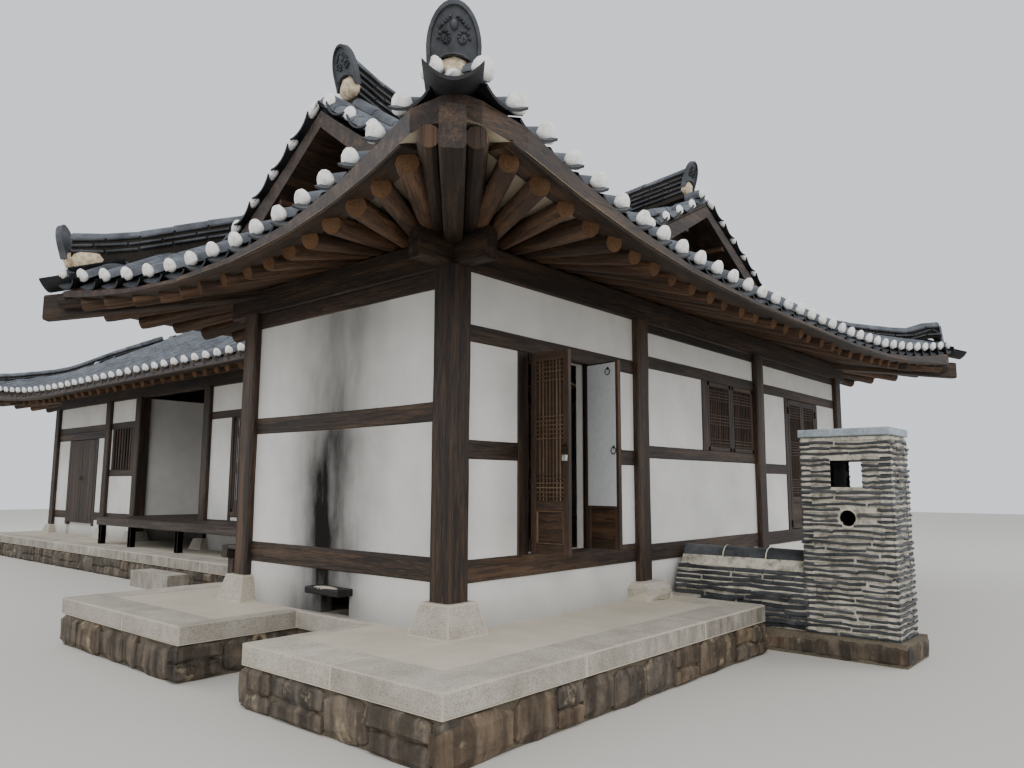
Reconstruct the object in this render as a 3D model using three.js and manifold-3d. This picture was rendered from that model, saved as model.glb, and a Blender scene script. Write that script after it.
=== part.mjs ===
// Hanok house: a one-bay wing and a long wing in an L, with a tiled hip-and-gable roof,
// a stone platform, a firebox in the end wall and a tile-built chimney.
// Millimetres, +Z up. X runs along the street wall, Y along the end wall, the ground is Z = 0
// and the origin is below the outer corner of the corner post.
import * as THREE from 'three';
import { mergeVertices } from 'three/addons/utils/BufferGeometryUtils.js';
import Module from 'manifold-3d';

const wasm = await Module();
wasm.setup();

// Clearances, and how far shapes that are fused run into each other
const GAP = 0.3;
const HINGE_PLAY = 6;
const BITE = 1;

// Plan of the two wings, to the centres of the posts
const POST = 200;
const HALF_POST = POST / 2;
const END_X = 100;
const STREET_Y = 100;
const SMALL_BACK_Y = 2667;
const COURT_X = 2550;
const REAR_X = 8025;
const FAR_Y = 14500;
const BAY_3_X = 5231;
const COURT_POSTS = [SMALL_BACK_Y, 5400, 8100, 10600, 11900, FAR_Y];
const REAR_POSTS = [STREET_Y, 2667, 5400, 8100, 10600, 11900, FAR_Y];
const FAR_MIDDLE_X = 5287;

// Levels
const PLATFORM = 400;
const KERB = 135;
const CORNER_FOOT = 620;
const MIDDLE_FOOT = 550;
const LONG_FOOT = 570;
const FLOOR_TOP = 870;
const FLOOR_THICK = 80;
const BEAM_BOTTOM = 2980;
const RECESS = 50;
const FRAME_DEPTH = 60;
const WALL_THICK = 60;
const WALL_IN = RECESS + FRAME_DEPTH + GAP;

// Roof
const EAVE_Z = 3090;
const EAVE_THICK = 80;
const EAVE_TO_STREET_PLATE = 1180;
const EAVE_TO_END_PLATE = 1050;
const PLATE_RISE = 615;
const SMALL_RISE = 1472;
const LONG_RISE = 2010;
const HIGH_CORNER = { lift: 420, length: 4100 };
const LOW_CORNER = { lift: 200, length: 1900 };
const UNDER_LIFT = 0.62;
const REACH_LENGTH = 4100;
const UNDER_PLATE = 3390;
const UPPER_THICK = 200;
const SMALL_RAKE_X = -200;
const LONG_RAKE_Y = 660;
const GABLE_INSET = 460;
const GABLE_THICK = 60;
const STREET_TIP_REACH = 300;
const END_TIP_REACH = 430;
const LONG_TIP_REACH = 243;
const RAFTER_RADIUS = 60;
const RAFTER_SIDES = 6;
const LONG_RAFTER_SIDES = 4;
const RAFTER_SPACING = 300;
const RAFTER_TIP_IN = 150;
const RAFTER_TAIL = 450;
const RAFTER_DROP = 12;
const FAN_LENGTH = 1200;
const HIP_WIDTH = 120;
const HIP_DEPTH = 180;
const HIP_DROP = 40;
const HIP_SIDE_CLEAR = 4;
const PLATE_TOP = 3228;

// Colours, roughness and metalness of the finishes
const FINISH = {
  timber: ['#4b3226', 0.8, 0],
  timberDark: ['#33261f', 0.85, 0],
  plaster: ['#ccc7be', 0.95, 0],
  granite: ['#b3aca0', 0.9, 0],
  rubble: ['#7d7062', 0.95, 0],
  tile: ['#4c5157', 0.8, 0],
  tileStack: ['#5d5a55', 0.9, 0],
  floor: ['#6d5a45', 0.7, 0],
};

const house = new THREE.Group();

function put(name, geometry, finish) {
  const [color, roughness, metalness] = FINISH[finish];
  const mesh = new THREE.Mesh(geometry, new THREE.MeshStandardMaterial({ color, roughness, metalness }));
  mesh.name = name;
  house.add(mesh);
}

// Closed shapes and their booleans

function solidOf(geometry) {
  const bare = geometry.clone();
  bare.deleteAttribute('normal');
  bare.deleteAttribute('uv');
  const merged = mergeVertices(bare, 0.001);
  return new wasm.Manifold(new wasm.Mesh({
    numProp: 3,
    vertProperties: new Float32Array(merged.attributes.position.array),
    triVerts: new Uint32Array(merged.index.array),
  }));
}

function geometryOf(solid) {
  const mesh = solid.getMesh();
  const geometry = new THREE.BufferGeometry();
  geometry.setAttribute('position', new THREE.BufferAttribute(new Float32Array(mesh.vertProperties), 3));
  geometry.setIndex(new THREE.BufferAttribute(new Uint32Array(mesh.triVerts), 1));
  return geometry;
}

function box([x0, x1], [y0, y1], [z0, z1]) {
  const geometry = new THREE.BoxGeometry(x1 - x0, y1 - y0, z1 - z0);
  geometry.translate((x0 + x1) / 2, (y0 + y1) / 2, (z0 + z1) / 2);
  return geometry;
}

function join(...shapes) {
  return geometryOf(shapes.map(solidOf).reduce((sum, next) => sum.add(next)));
}

function carve(body, ...holes) {
  return geometryOf(holes.map(solidOf).reduce((rest, hole) => rest.subtract(hole), solidOf(body)));
}

function keepInside(body, limit) {
  return geometryOf(solidOf(body).intersect(solidOf(limit)));
}

function prism(outline, z0, z1) {
  const shape = new THREE.Shape(outline.map(([x, y]) => new THREE.Vector2(x, y)));
  const geometry = new THREE.ExtrudeGeometry(shape, { depth: z1 - z0, bevelEnabled: false });
  geometry.translate(0, 0, z0);
  return geometry;
}

// An outline in X and Z (or Y and Z) extruded through a wall's thickness
function uprightPrism(outline, along, from, to) {
  const geometry = prism(outline, from, to);
  const basis = new THREE.Matrix4();
  if (along === 'y') {
    basis.makeBasis(new THREE.Vector3(1, 0, 0), new THREE.Vector3(0, 0, 1), new THREE.Vector3(0, 1, 0));
  } else {
    basis.makeBasis(new THREE.Vector3(0, 1, 0), new THREE.Vector3(0, 0, 1), new THREE.Vector3(1, 0, 0));
  }
  geometry.applyMatrix4(basis);
  if (along === 'y') {
    flipFaces(geometry);
  }
  return geometry;
}

function flipFaces(geometry) {
  const position = geometry.attributes.position;
  for (let corner = 0; corner < position.count; corner += 3) {
    const a = new THREE.Vector3().fromBufferAttribute(position, corner);
    const b = new THREE.Vector3().fromBufferAttribute(position, corner + 1);
    position.setXYZ(corner, b.x, b.y, b.z);
    position.setXYZ(corner + 1, a.x, a.y, a.z);
  }
}

// A frustum of a carved plinth stone
function plinthStone([x, y], z0, z1, { bottom, top }) {
  const stone = new THREE.CylinderGeometry(top / Math.SQRT2, bottom / Math.SQRT2, z1 - z0, 4, 1);
  stone.rotateY(Math.PI / 4);
  stone.rotateX(Math.PI / 2);
  stone.translate(x, y, (z0 + z1) / 2);
  return stone;
}

function postBox([x, y], z0, z1) {
  return box([x - HALF_POST, x + HALF_POST], [y - HALF_POST, y + HALF_POST], [z0, z1]);
}

// Platform of rough stones under a granite kerb, with the firebox pit at the end wall

const PLATFORM_FRONT_X = -990;
const PLATFORM_FRONT_Y = -970;
const PLATFORM_RIGHT = 2870;
const PIT = [880, 1750];
const PIT_BACK = 2;
const END_PLATFORM_Y = 3930;
const COURT_KERB_X = 1480;
const COURT_KERB_END = 15100;
const REAR_MARGIN = 400;
const STREET_MARGIN = 260;
const FIREBOX = { y: [1150, 1515], z: [70, 569], depth: 900 };

function platformOutline(inset) {
  const left = PLATFORM_FRONT_X + inset;
  const rearX = REAR_X + HALF_POST + REAR_MARGIN - inset;
  return [
    [left, PLATFORM_FRONT_Y + inset],
    [PLATFORM_RIGHT - inset, PLATFORM_FRONT_Y + inset],
    [PLATFORM_RIGHT - inset, -STREET_MARGIN + inset],
    [rearX, -STREET_MARGIN + inset],
    [rearX, COURT_KERB_END - inset],
    [COURT_KERB_X + inset, COURT_KERB_END - inset],
    [COURT_KERB_X + inset, END_PLATFORM_Y - inset],
    [left, END_PLATFORM_Y - inset],
    [left, PIT[1] + inset],
    [PIT_BACK + inset, PIT[1] + inset],
    [PIT_BACK + inset, PIT[0] - inset],
    [left, PIT[0] - inset],
  ];
}

const KERB_OVERHANG = 25;
const fireboxHole = box([-KERB_OVERHANG, FIREBOX.depth], FIREBOX.y, [FIREBOX.z[0], PLATFORM + BITE]);
const baseSlab = prism(platformOutline(KERB_OVERHANG), 0, PLATFORM - KERB - GAP);
put('stone_base', carve(baseSlab, fireboxHole), 'rubble');

const LONG_PLINTH = { bottom: 360, top: 260 };
const CORNER_PLINTH = { bottom: 400, top: 280 };
const MIDDLE_PLINTH = { bottom: 470, top: 380 };
const cornerSpot = [END_X, STREET_Y];
const leftSpot = [END_X, SMALL_BACK_Y];
const middleSpot = [COURT_X, STREET_Y];

function plinthsOnKerb() {
  const spots = [[BAY_3_X, STREET_Y], [REAR_X, STREET_Y], [FAR_MIDDLE_X, FAR_Y]];
  COURT_POSTS.forEach((y) => spots.push([COURT_X, y]));
  REAR_POSTS.slice(1).forEach((y) => spots.push([REAR_X, y]));
  const low = PLATFORM - BITE;
  return [
    ...spots.map((spot) => plinthStone(spot, low, LONG_FOOT, LONG_PLINTH)),
    ...[cornerSpot, leftSpot].map((spot) => plinthStone(spot, low, CORNER_FOOT, CORNER_PLINTH)),
    plinthStone(middleSpot, low, MIDDLE_FOOT, MIDDLE_PLINTH),
  ];
}

const kerbSlab = carve(prism(platformOutline(0), PLATFORM - KERB, PLATFORM), fireboxHole);
put('granite_kerb', join(kerbSlab, ...plinthsOnKerb()), 'granite');

const STEP = { x: [1180, COURT_KERB_X + KERB_OVERHANG - GAP], y: [6450, 7550], top: 215 };
put('courtyard_step', box(STEP.x, STEP.y, [0, STEP.top]), 'granite');

// Posts at the near corner of the house
put('corner_post', postBox(cornerSpot, CORNER_FOOT + GAP, BEAM_BOTTOM - GAP), 'timber');
put('left_post', postBox(leftSpot, CORNER_FOOT + GAP, BEAM_BOTTOM - GAP), 'timber');
put('middle_post', postBox(middleSpot, MIDDLE_FOOT + GAP, BEAM_BOTTOM - GAP), 'timber');

// End wall with its two proud beams and the firebox

const END_TIE_BOTTOM = 2844;
const END_LOWER = [744, 915];
const END_MIDDLE = [1872, 2014];
const endBay = [STREET_Y + HALF_POST + GAP, SMALL_BACK_Y - HALF_POST - GAP];
const wallX = [WALL_IN, WALL_IN + WALL_THICK];
const frameX = [RECESS, RECESS + FRAME_DEPTH];
const plinthClear = CORNER_PLINTH.bottom / 2 + GAP;

function footedWall(span, low, footSpan) {
  return [box(span, wallX, [CORNER_FOOT, low]), box(footSpan, wallX, [PLATFORM + GAP, CORNER_FOOT + BITE])];
}

const endWall = join(
  box(wallX, endBay, [CORNER_FOOT, END_TIE_BOTTOM - GAP]),
  box(wallX, [STREET_Y + plinthClear, SMALL_BACK_Y - plinthClear], [PLATFORM + GAP, CORNER_FOOT + BITE]),
);
const fireboxMouth = box([0, wallX[1] + BITE], FIREBOX.y, [PLATFORM - BITE, FIREBOX.z[1]]);
put('end_wall', carve(endWall, fireboxMouth), 'plaster');
put('end_lower_beam', box(frameX, endBay, END_LOWER), 'timber');
put('end_middle_beam', box(frameX, endBay, END_MIDDLE), 'timber');

const FIREBOX_LINTEL = { x: [-80, WALL_IN - GAP], y: [1050, 1568], z: [FIREBOX.z[1] + GAP, 622] };
put('firebox_lintel', box(FIREBOX_LINTEL.x, FIREBOX_LINTEL.y, FIREBOX_LINTEL.z), 'tileStack');

// Iron pins on the jambs that the door leaves hang from, two to a leaf
const HINGE_PIN = { radius: HINGE_PLAY * Math.SQRT2 - GAP, height: 90, sides: 10, foot: 180, head: 1280 };

function hingePins(x, y, z) {
  return [z + HINGE_PIN.foot, z + HINGE_PIN.head].map((low) => {
    const { radius, height, sides } = HINGE_PIN;
    const pin = new THREE.CylinderGeometry(radius, radius, height, sides);
    pin.rotateX(Math.PI / 2);
    pin.translate(x, y, low + HINGE_PIN.height / 2);
    return pin;
  });
}

const PIN_Y = RECESS - HINGE_PLAY;

// Street wall, bay 1: sill, rails, lintel and the door's jambs

const bay1 = [END_X + HALF_POST + GAP, COURT_X - HALF_POST - GAP];
const BAY1_DOOR = { x: [909, 1700], z: [895, 2461] };
const BAY1_JAMBS = [[779, 909], [1700, 1830]];
const BAY1_SILL = [734, 895];
const BAY1_RAIL = [1606, 1743];
const BAY1_LINTEL = [2461, 2589];

put('bay1_frame', join(
  box(bay1, frameX, BAY1_SILL),
  box(bay1, frameX, BAY1_LINTEL),
  ...BAY1_JAMBS.map((jamb) => box(jamb, frameX, [BAY1_SILL[1] - BITE, BAY1_LINTEL[0] + BITE])),
  box([bay1[0], BAY1_JAMBS[0][0] + BITE], frameX, BAY1_RAIL),
  box([BAY1_JAMBS[1][1] - BITE, bay1[1]], frameX, BAY1_RAIL),
  ...BAY1_DOOR.x.flatMap((x) => hingePins(x, PIN_Y, BAY1_DOOR.z[0])),
), 'timber');

const bay1Foot = [END_X + plinthClear, COURT_X - MIDDLE_PLINTH.bottom / 2 - GAP];
put('bay1_wall', carve(
  join(...footedWall(bay1, BEAM_BOTTOM - GAP, bay1Foot)),
  box(BAY1_DOOR.x, [0, STREET_Y + HALF_POST], BAY1_DOOR.z),
), 'plaster');

// Street wall, bays 2 and 3: the long wing's end frame holds its two posts, sills, rails and openings

const bay2 = [COURT_X + HALF_POST + GAP, BAY_3_X - HALF_POST];
const bay3 = [BAY_3_X + HALF_POST, REAR_X - HALF_POST];
const LONG_BEAM_BOTTOM = 2920;
const LONG_SILL = [720, 875];
const BAY2_RAIL = [1682, 1800];
const LONG_LINTEL = [2550, 2670];
const WINDOW = { x: [3950, 5100], z: [1800, 2550] };
const WINDOW_JAMB = [3820, 3950];
const SIDE_DOOR = { x: [6180, 7140], z: [875, 2550] };
const SIDE_JAMBS = [[6080, 6180], [7140, 7240]];
const BAY3_RAIL = [1570, 1690];

put('long_end_frame', join(
  postBox([BAY_3_X, STREET_Y], LONG_FOOT + GAP, LONG_BEAM_BOTTOM - GAP),
  postBox([REAR_X, STREET_Y], LONG_FOOT + GAP, LONG_BEAM_BOTTOM - GAP),
  box([bay2[0], bay2[1] + BITE], frameX, LONG_SILL),
  box([bay2[0], bay2[1] + BITE], frameX, BAY2_RAIL),
  box([bay2[0], bay2[1] + BITE], frameX, LONG_LINTEL),
  box(WINDOW_JAMB, frameX, [BAY2_RAIL[1] - BITE, LONG_LINTEL[0] + BITE]),
  box([bay3[0] - BITE, bay3[1] + BITE], frameX, LONG_SILL),
  box([bay3[0] - BITE, bay3[1] + BITE], frameX, LONG_LINTEL),
  box([bay3[0] - BITE, SIDE_JAMBS[0][0] + BITE], frameX, BAY3_RAIL),
  box([SIDE_JAMBS[1][1] - BITE, bay3[1] + BITE], frameX, BAY3_RAIL),
  ...SIDE_JAMBS.map((jamb) => box(jamb, frameX, [LONG_SILL[1] - BITE, LONG_LINTEL[0] + BITE])),
  ...SIDE_DOOR.x.flatMap((x) => hingePins(x, PIN_Y, SIDE_DOOR.z[0])),
), 'timber');

const longFoot = LONG_PLINTH.bottom / 2 + GAP;
put('bay2_wall', carve(
  join(
    box([bay2[0], bay2[1] - GAP], wallX, [CORNER_FOOT, LONG_BEAM_BOTTOM - GAP]),
    box(
      [COURT_X + MIDDLE_PLINTH.bottom / 2 + GAP, BAY_3_X - longFoot],
      wallX,
      [PLATFORM + GAP, CORNER_FOOT + BITE],
    ),
  ),
  box(WINDOW.x, [0, STREET_Y + HALF_POST], WINDOW.z),
), 'plaster');
put('bay3_wall', carve(
  join(
    box([bay3[0] + GAP, bay3[1] - GAP], wallX, [CORNER_FOOT, LONG_BEAM_BOTTOM - GAP]),
    box([BAY_3_X + longFoot, REAR_X - longFoot], wallX, [PLATFORM + GAP, CORNER_FOOT + BITE]),
  ),
  box(SIDE_DOOR.x, [0, STREET_Y + HALF_POST], SIDE_DOOR.z),
), 'plaster');

// Lattice leaves: stiles and rails round a thin papered panel

const LEAF = { thick: 35, stile: 55, rail: 70, panel: 12, board: 330 };

function latticeLeaf(width, height, hasBoard) {
  const rails = [[0, LEAF.rail], [height - LEAF.rail, height]];
  if (hasBoard) {
    rails.push([LEAF.board, LEAF.board + LEAF.rail]);
  }
  const deep = [0, LEAF.thick];
  const middle = [(LEAF.thick - LEAF.panel) / 2, (LEAF.thick + LEAF.panel) / 2];
  return join(
    box([0, LEAF.stile], deep, [0, height]),
    box([width - LEAF.stile, width], deep, [0, height]),
    ...rails.map((rail) => box([1, width - BITE], deep, rail)),
    box([LEAF.stile - BITE, width - LEAF.stile + BITE], middle, [1, height - BITE]),
  );
}

// A leaf hung at a pin beside its jamb; its outer face looks to -Y when shut, and it opens outwards
function hangLeaf(name, geometry, pin, hand, openDegrees, finish, wall = 'street') {
  const leaf = geometry.clone();
  leaf.translate(HINGE_PLAY, HINGE_PLAY, 0);
  if (hand === 'right') {
    leaf.scale(-1, 1, 1);
    flipIndex(leaf);
  }
  const turn = THREE.MathUtils.degToRad(hand === 'right' ? openDegrees : -openDegrees);
  leaf.rotateZ(turn + (wall === 'court' ? -Math.PI / 2 : 0));
  leaf.translate(...pin);
  put(name, leaf, finish);
}

function flipIndex(geometry) {
  const index = geometry.index.array;
  for (let corner = 0; corner < index.length; corner += 3) {
    [index[corner], index[corner + BITE]] = [index[corner + BITE], index[corner]];
  }
}

const LEAF_CLEAR_Z = 8;
const MEETING_GAP = 10;

function leafSize(opening) {
  return {
    width: (opening.x[1] - opening.x[0] - MEETING_GAP) / 2 - HINGE_PLAY,
    height: opening.z[1] - opening.z[0] - 2 * LEAF_CLEAR_Z,
  };
}

const DOOR_OPEN = { left: 93, right: 80 };
const bay1Leaf = leafSize(BAY1_DOOR);
const bay1LeafShape = latticeLeaf(bay1Leaf.width, bay1Leaf.height, true);
const bay1LeafZ = BAY1_DOOR.z[0] + LEAF_CLEAR_Z;
hangLeaf('door_left', bay1LeafShape, [BAY1_DOOR.x[0], PIN_Y, bay1LeafZ], 'left', DOOR_OPEN.left, 'timber');
hangLeaf('door_right', bay1LeafShape, [BAY1_DOOR.x[1], PIN_Y, bay1LeafZ], 'right', DOOR_OPEN.right, 'timber');

const sideLeaf = leafSize(SIDE_DOOR);
const sideLeafShape = latticeLeaf(sideLeaf.width, sideLeaf.height, true);
const sideLeafZ = SIDE_DOOR.z[0] + LEAF_CLEAR_Z;
hangLeaf('side_door_left', sideLeafShape, [SIDE_DOOR.x[0], PIN_Y, sideLeafZ], 'left', 0, 'timber');
hangLeaf('side_door_right', sideLeafShape, [SIDE_DOOR.x[1], PIN_Y, sideLeafZ], 'right', 0, 'timber');

const windowWidth = WINDOW.x[1] - WINDOW.x[0];
const windowHeight = WINDOW.z[1] - WINDOW.z[0];
const windowLeaf = latticeLeaf(windowWidth - 2 * GAP, windowHeight - 2 * GAP, false);
const windowMullion = box(
  [windowWidth / 2 - LEAF.stile, windowWidth / 2 + LEAF.stile],
  [0, LEAF.thick],
  [BITE, windowHeight - 2 * BITE],
);
const bay2Window = join(windowLeaf, windowMullion);
bay2Window.translate(WINDOW.x[0] + GAP, RECESS, WINDOW.z[0] + GAP);
put('bay2_window', bay2Window, 'timberDark');

// Courtyard side: the small wing's back wall and the long wing's front in one timber frame

const COURT_SILL = [720, 870];
const COURT_LINTEL = [2450, 2570];
const COURT_RAIL = [1560, 1680];
const KITCHEN_DOOR = { y: [12500, 13700], z: [640, 2300] };
const KITCHEN_LINTEL = [2300, 2450];
const KITCHEN_JAMBS = [[12380, 12500], [13700, 13820]];
const BARRED_WINDOW = { y: [10900, 11650], z: [1680, 2450] };
const ROOM_WINDOW = { y: [6200, 7300], z: [1000, 2450] };
const SMALL_WINDOW = { x: [900, 1750], z: [1000, 2400] };
const courtFrameX = [COURT_X - HALF_POST + RECESS, COURT_X - HALF_POST + RECESS + FRAME_DEPTH];
const kitchenPinX = courtFrameX[0] - HINGE_PLAY;
const courtWallX = [COURT_X - HALF_POST + WALL_IN, COURT_X - HALF_POST + WALL_IN + WALL_THICK];
const smallFrameY = [SMALL_BACK_Y + HALF_POST - RECESS - FRAME_DEPTH, SMALL_BACK_Y + HALF_POST - RECESS];
const smallWallY = [smallFrameY[0] - GAP - WALL_THICK, smallFrameY[0] - GAP];
const smallBay = [END_X + HALF_POST + GAP, COURT_X - HALF_POST + BITE];

function courtSpan(first, last) {
  return [COURT_POSTS[first] + HALF_POST - BITE, COURT_POSTS[last] - HALF_POST + BITE];
}

const SURROUND = 80;

function windowSurround(window, rail, lintel) {
  const sides = window.y || window.x;
  return [
    [[sides[0] - SURROUND, sides[0]], [rail, lintel]],
    [[sides[1], sides[1] + SURROUND], [rail, lintel]],
  ];
}

const courtMembers = [
  ...COURT_POSTS.map((y) => postBox([COURT_X, y], LONG_FOOT + GAP, BEAM_BOTTOM - GAP)),
  box(courtFrameX, courtSpan(0, 2), COURT_SILL),
  box(courtFrameX, courtSpan(3, 4), COURT_SILL),
  box(courtFrameX, courtSpan(0, 5), COURT_LINTEL),
  box(courtFrameX, courtSpan(3, 4), [COURT_RAIL[0], COURT_RAIL[1]]),
  box(courtFrameX, courtSpan(4, 5), KITCHEN_LINTEL),
  ...KITCHEN_JAMBS.map((jamb) => box(courtFrameX, jamb, [PLATFORM + GAP, KITCHEN_LINTEL[0] + BITE])),
  box(
    courtFrameX,
    [KITCHEN_JAMBS[0][0] + BITE, KITCHEN_JAMBS[1][1] - BITE],
    [PLATFORM + GAP, KITCHEN_DOOR.z[0]],
  ),
  ...windowSurround(ROOM_WINDOW, COURT_SILL[1] - BITE, COURT_LINTEL[0] + BITE)
    .map(([y, z]) => box(courtFrameX, y, z)),
  box(
    courtFrameX,
    [ROOM_WINDOW.y[0] - BITE, ROOM_WINDOW.y[1] + BITE],
    [COURT_SILL[1] - BITE, ROOM_WINDOW.z[0]],
  ),
  ...KITCHEN_DOOR.y.flatMap((y) => hingePins(kitchenPinX, y, KITCHEN_DOOR.z[0])),
  box(smallBay, smallFrameY, COURT_SILL),
  box(smallBay, smallFrameY, COURT_LINTEL),
  ...windowSurround(SMALL_WINDOW, COURT_SILL[1] - BITE, COURT_LINTEL[0] + BITE)
    .map(([x, z]) => box(x, smallFrameY, z)),
  box(
    [SMALL_WINDOW.x[0] - BITE, SMALL_WINDOW.x[1] + BITE],
    smallFrameY,
    [COURT_SILL[1] - BITE, SMALL_WINDOW.z[0]],
  ),
];
put('courtyard_frame', join(...courtMembers), 'timber');

const courtTop = BEAM_BOTTOM - GAP;
const courtPostClear = HALF_POST + GAP;

// Room left in a wall slab for a post and its plinth
function postRoom([x, y]) {
  return [
    box(
      [x - courtPostClear, x + courtPostClear],
      [y - courtPostClear, y + courtPostClear],
      [PLATFORM, BEAM_BOTTOM],
    ),
    box([x - longFoot, x + longFoot], [y - longFoot, y + longFoot], [PLATFORM, LONG_FOOT + GAP]),
  ];
}

// A slab between the first and last of a run of posts, passing behind those between
function courtPanel(first, last, end, ...openings) {
  const inner = COURT_X + HALF_POST + GAP + WALL_THICK;
  return carve(
    box(
      [courtWallX[0], inner],
      [COURT_POSTS[first] + courtPostClear, end],
      [PLATFORM + GAP, courtTop],
    ),
    ...COURT_POSTS.slice(first, last + 1).flatMap((y) => postRoom([COURT_X, y])),
    ...openings.map((opening) => box([COURT_X - POST, COURT_X + 2 * POST], opening.y, opening.z)),
  );
}

const FAR_WALL_INNER = FAR_Y - HALF_POST - GAP - WALL_THICK;
put('room_wall', courtPanel(0, 2, COURT_POSTS[2] - courtPostClear, ROOM_WINDOW), 'plaster');
put('kitchen_wall', courtPanel(3, 5, FAR_WALL_INNER - GAP, BARRED_WINDOW, KITCHEN_DOOR), 'plaster');
put('small_back_wall', carve(
  join(
    box([END_X + HALF_POST + GAP, COURT_X - HALF_POST - GAP], smallWallY, [CORNER_FOOT, courtTop]),
    box([END_X + plinthClear, COURT_X - longFoot], smallWallY, [PLATFORM + GAP, CORNER_FOOT + BITE]),
  ),
  box(SMALL_WINDOW.x, [SMALL_BACK_Y - POST, SMALL_BACK_Y + POST], SMALL_WINDOW.z),
), 'plaster');

// Kitchen's two plank leaves

const kitchenLeaf = {
  width: (KITCHEN_DOOR.y[1] - KITCHEN_DOOR.y[0] - MEETING_GAP) / 2 - HINGE_PLAY,
  height: KITCHEN_DOOR.z[1] - KITCHEN_DOOR.z[0] - 2 * LEAF_CLEAR_Z,
};
const PLANK_LEAF = { thick: 30, batten: 80, battenThick: 20, battenIn: 20, battenAt: [250, 1300] };
const kitchenLeafShape = join(
  box([0, kitchenLeaf.width], [0, PLANK_LEAF.thick], [0, kitchenLeaf.height]),
  ...PLANK_LEAF.battenAt.map((z) => box(
    [PLANK_LEAF.battenIn, kitchenLeaf.width - PLANK_LEAF.battenIn],
    [PLANK_LEAF.thick - BITE, PLANK_LEAF.thick + PLANK_LEAF.battenThick],
    [z, z + PLANK_LEAF.batten],
  )),
);
const kitchenLeafZ = KITCHEN_DOOR.z[0] + LEAF_CLEAR_Z;
const kitchenPins = KITCHEN_DOOR.y.map((y) => [kitchenPinX, y, kitchenLeafZ]);
hangLeaf('kitchen_door_left', kitchenLeafShape, kitchenPins[1], 'left', 0, 'timberDark', 'court');
hangLeaf('kitchen_door_right', kitchenLeafShape, kitchenPins[0], 'right', 0, 'timberDark', 'court');

// Porch between the rooms: a raised board floor and a recessed wall with a doorway

const PORCH_DEPTH = 1500;
const PORCH_FLOOR = [780, 850];
const PORCH_DOOR = { y: [8900, 9800], z: [900, 2400] };
const porchBay = [COURT_POSTS[2] - WALL_THICK, COURT_POSTS[3] + WALL_THICK];
const porchWallX = [COURT_X + HALF_POST + PORCH_DEPTH, COURT_X + HALF_POST + PORCH_DEPTH + WALL_THICK];

const courtWallZ = [PLATFORM + GAP, courtTop];
const porchSideX = [COURT_X + HALF_POST + GAP, porchWallX[0] + BITE];

put('porch_wall', carve(
  join(
    box(porchWallX, porchBay, courtWallZ),
    box(porchSideX, [porchBay[0], porchBay[0] + WALL_THICK], courtWallZ),
    box(porchSideX, [porchBay[1] - WALL_THICK, porchBay[1]], courtWallZ),
  ),
  box([porchWallX[0] - BITE, porchWallX[1] + BITE], PORCH_DOOR.y, PORCH_DOOR.z),
  ...postRoom([COURT_X, COURT_POSTS[2]]),
  ...postRoom([COURT_X, COURT_POSTS[3]]),
), 'plaster');

const VERANDA = { reach: 620, start: 5540, leg: 90, legIn: 20, legsAt: [5600, 7600, 9200, 10350] };
const porchInside = [porchBay[0] + WALL_THICK + GAP, porchBay[1] - WALL_THICK - GAP];
const verandaX = [COURT_X - HALF_POST - VERANDA.reach, COURT_X - HALF_POST - GAP];
const verandaLegX = [verandaX[0] + VERANDA.legIn, verandaX[0] + VERANDA.legIn + VERANDA.leg];
const porchFront = [COURT_POSTS[2] + HALF_POST + GAP, COURT_POSTS[3] - HALF_POST - GAP];
put('porch_floor', join(
  box([COURT_X + HALF_POST + GAP, porchWallX[0] - GAP], porchInside, PORCH_FLOOR),
  box([verandaX[0], COURT_X + HALF_POST + BITE], porchFront, PORCH_FLOOR),
  box(verandaX, [VERANDA.start, COURT_POSTS[3] - HALF_POST - GAP], PORCH_FLOOR),
  ...VERANDA.legsAt.map((y) => box(
    verandaLegX,
    [y, y + VERANDA.leg],
    [PLATFORM + GAP, PORCH_FLOOR[0] + BITE],
  )),
), 'timberDark');

// Narrow veranda on the small wing's courtyard side
const SMALL_VERANDA = {
  x: [120, 1850],
  y: [SMALL_BACK_Y + HALF_POST + GAP, SMALL_BACK_Y + HALF_POST + 430],
  z: [760, 850],
  legsAt: [180, 1650],
  legIn: 30,
};
put('veranda', join(
  box(SMALL_VERANDA.x, SMALL_VERANDA.y, SMALL_VERANDA.z),
  ...SMALL_VERANDA.legsAt.map((x) => box(
    [x, x + VERANDA.leg],
    [SMALL_VERANDA.y[1] - VERANDA.leg - SMALL_VERANDA.legIn, SMALL_VERANDA.y[1] - SMALL_VERANDA.legIn],
    [PLATFORM + GAP, SMALL_VERANDA.z[0] + BITE],
  )),
), 'timberDark');

// Rear and far walls of the long wing, with a window in each of three bays

const rearFrameX = [REAR_X + HALF_POST - RECESS - FRAME_DEPTH, REAR_X + HALF_POST - RECESS];
const rearWallX = [rearFrameX[0] - GAP - WALL_THICK, rearFrameX[0] - GAP];
const farFrameY = [FAR_Y + HALF_POST - RECESS - FRAME_DEPTH, FAR_Y + HALF_POST - RECESS];
const farWallY = [farFrameY[0] - GAP - WALL_THICK, farFrameY[0] - GAP];
const REAR_WINDOWS = [[3500, 4600], [6200, 7300], [12600, 13700]];
const REAR_WINDOW_Z = [1680, 2450];
const rearRun = [REAR_POSTS[0] + HALF_POST + GAP, FAR_Y];
const farRun = [COURT_X + HALF_POST + GAP, REAR_X - HALF_POST - GAP];

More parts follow.
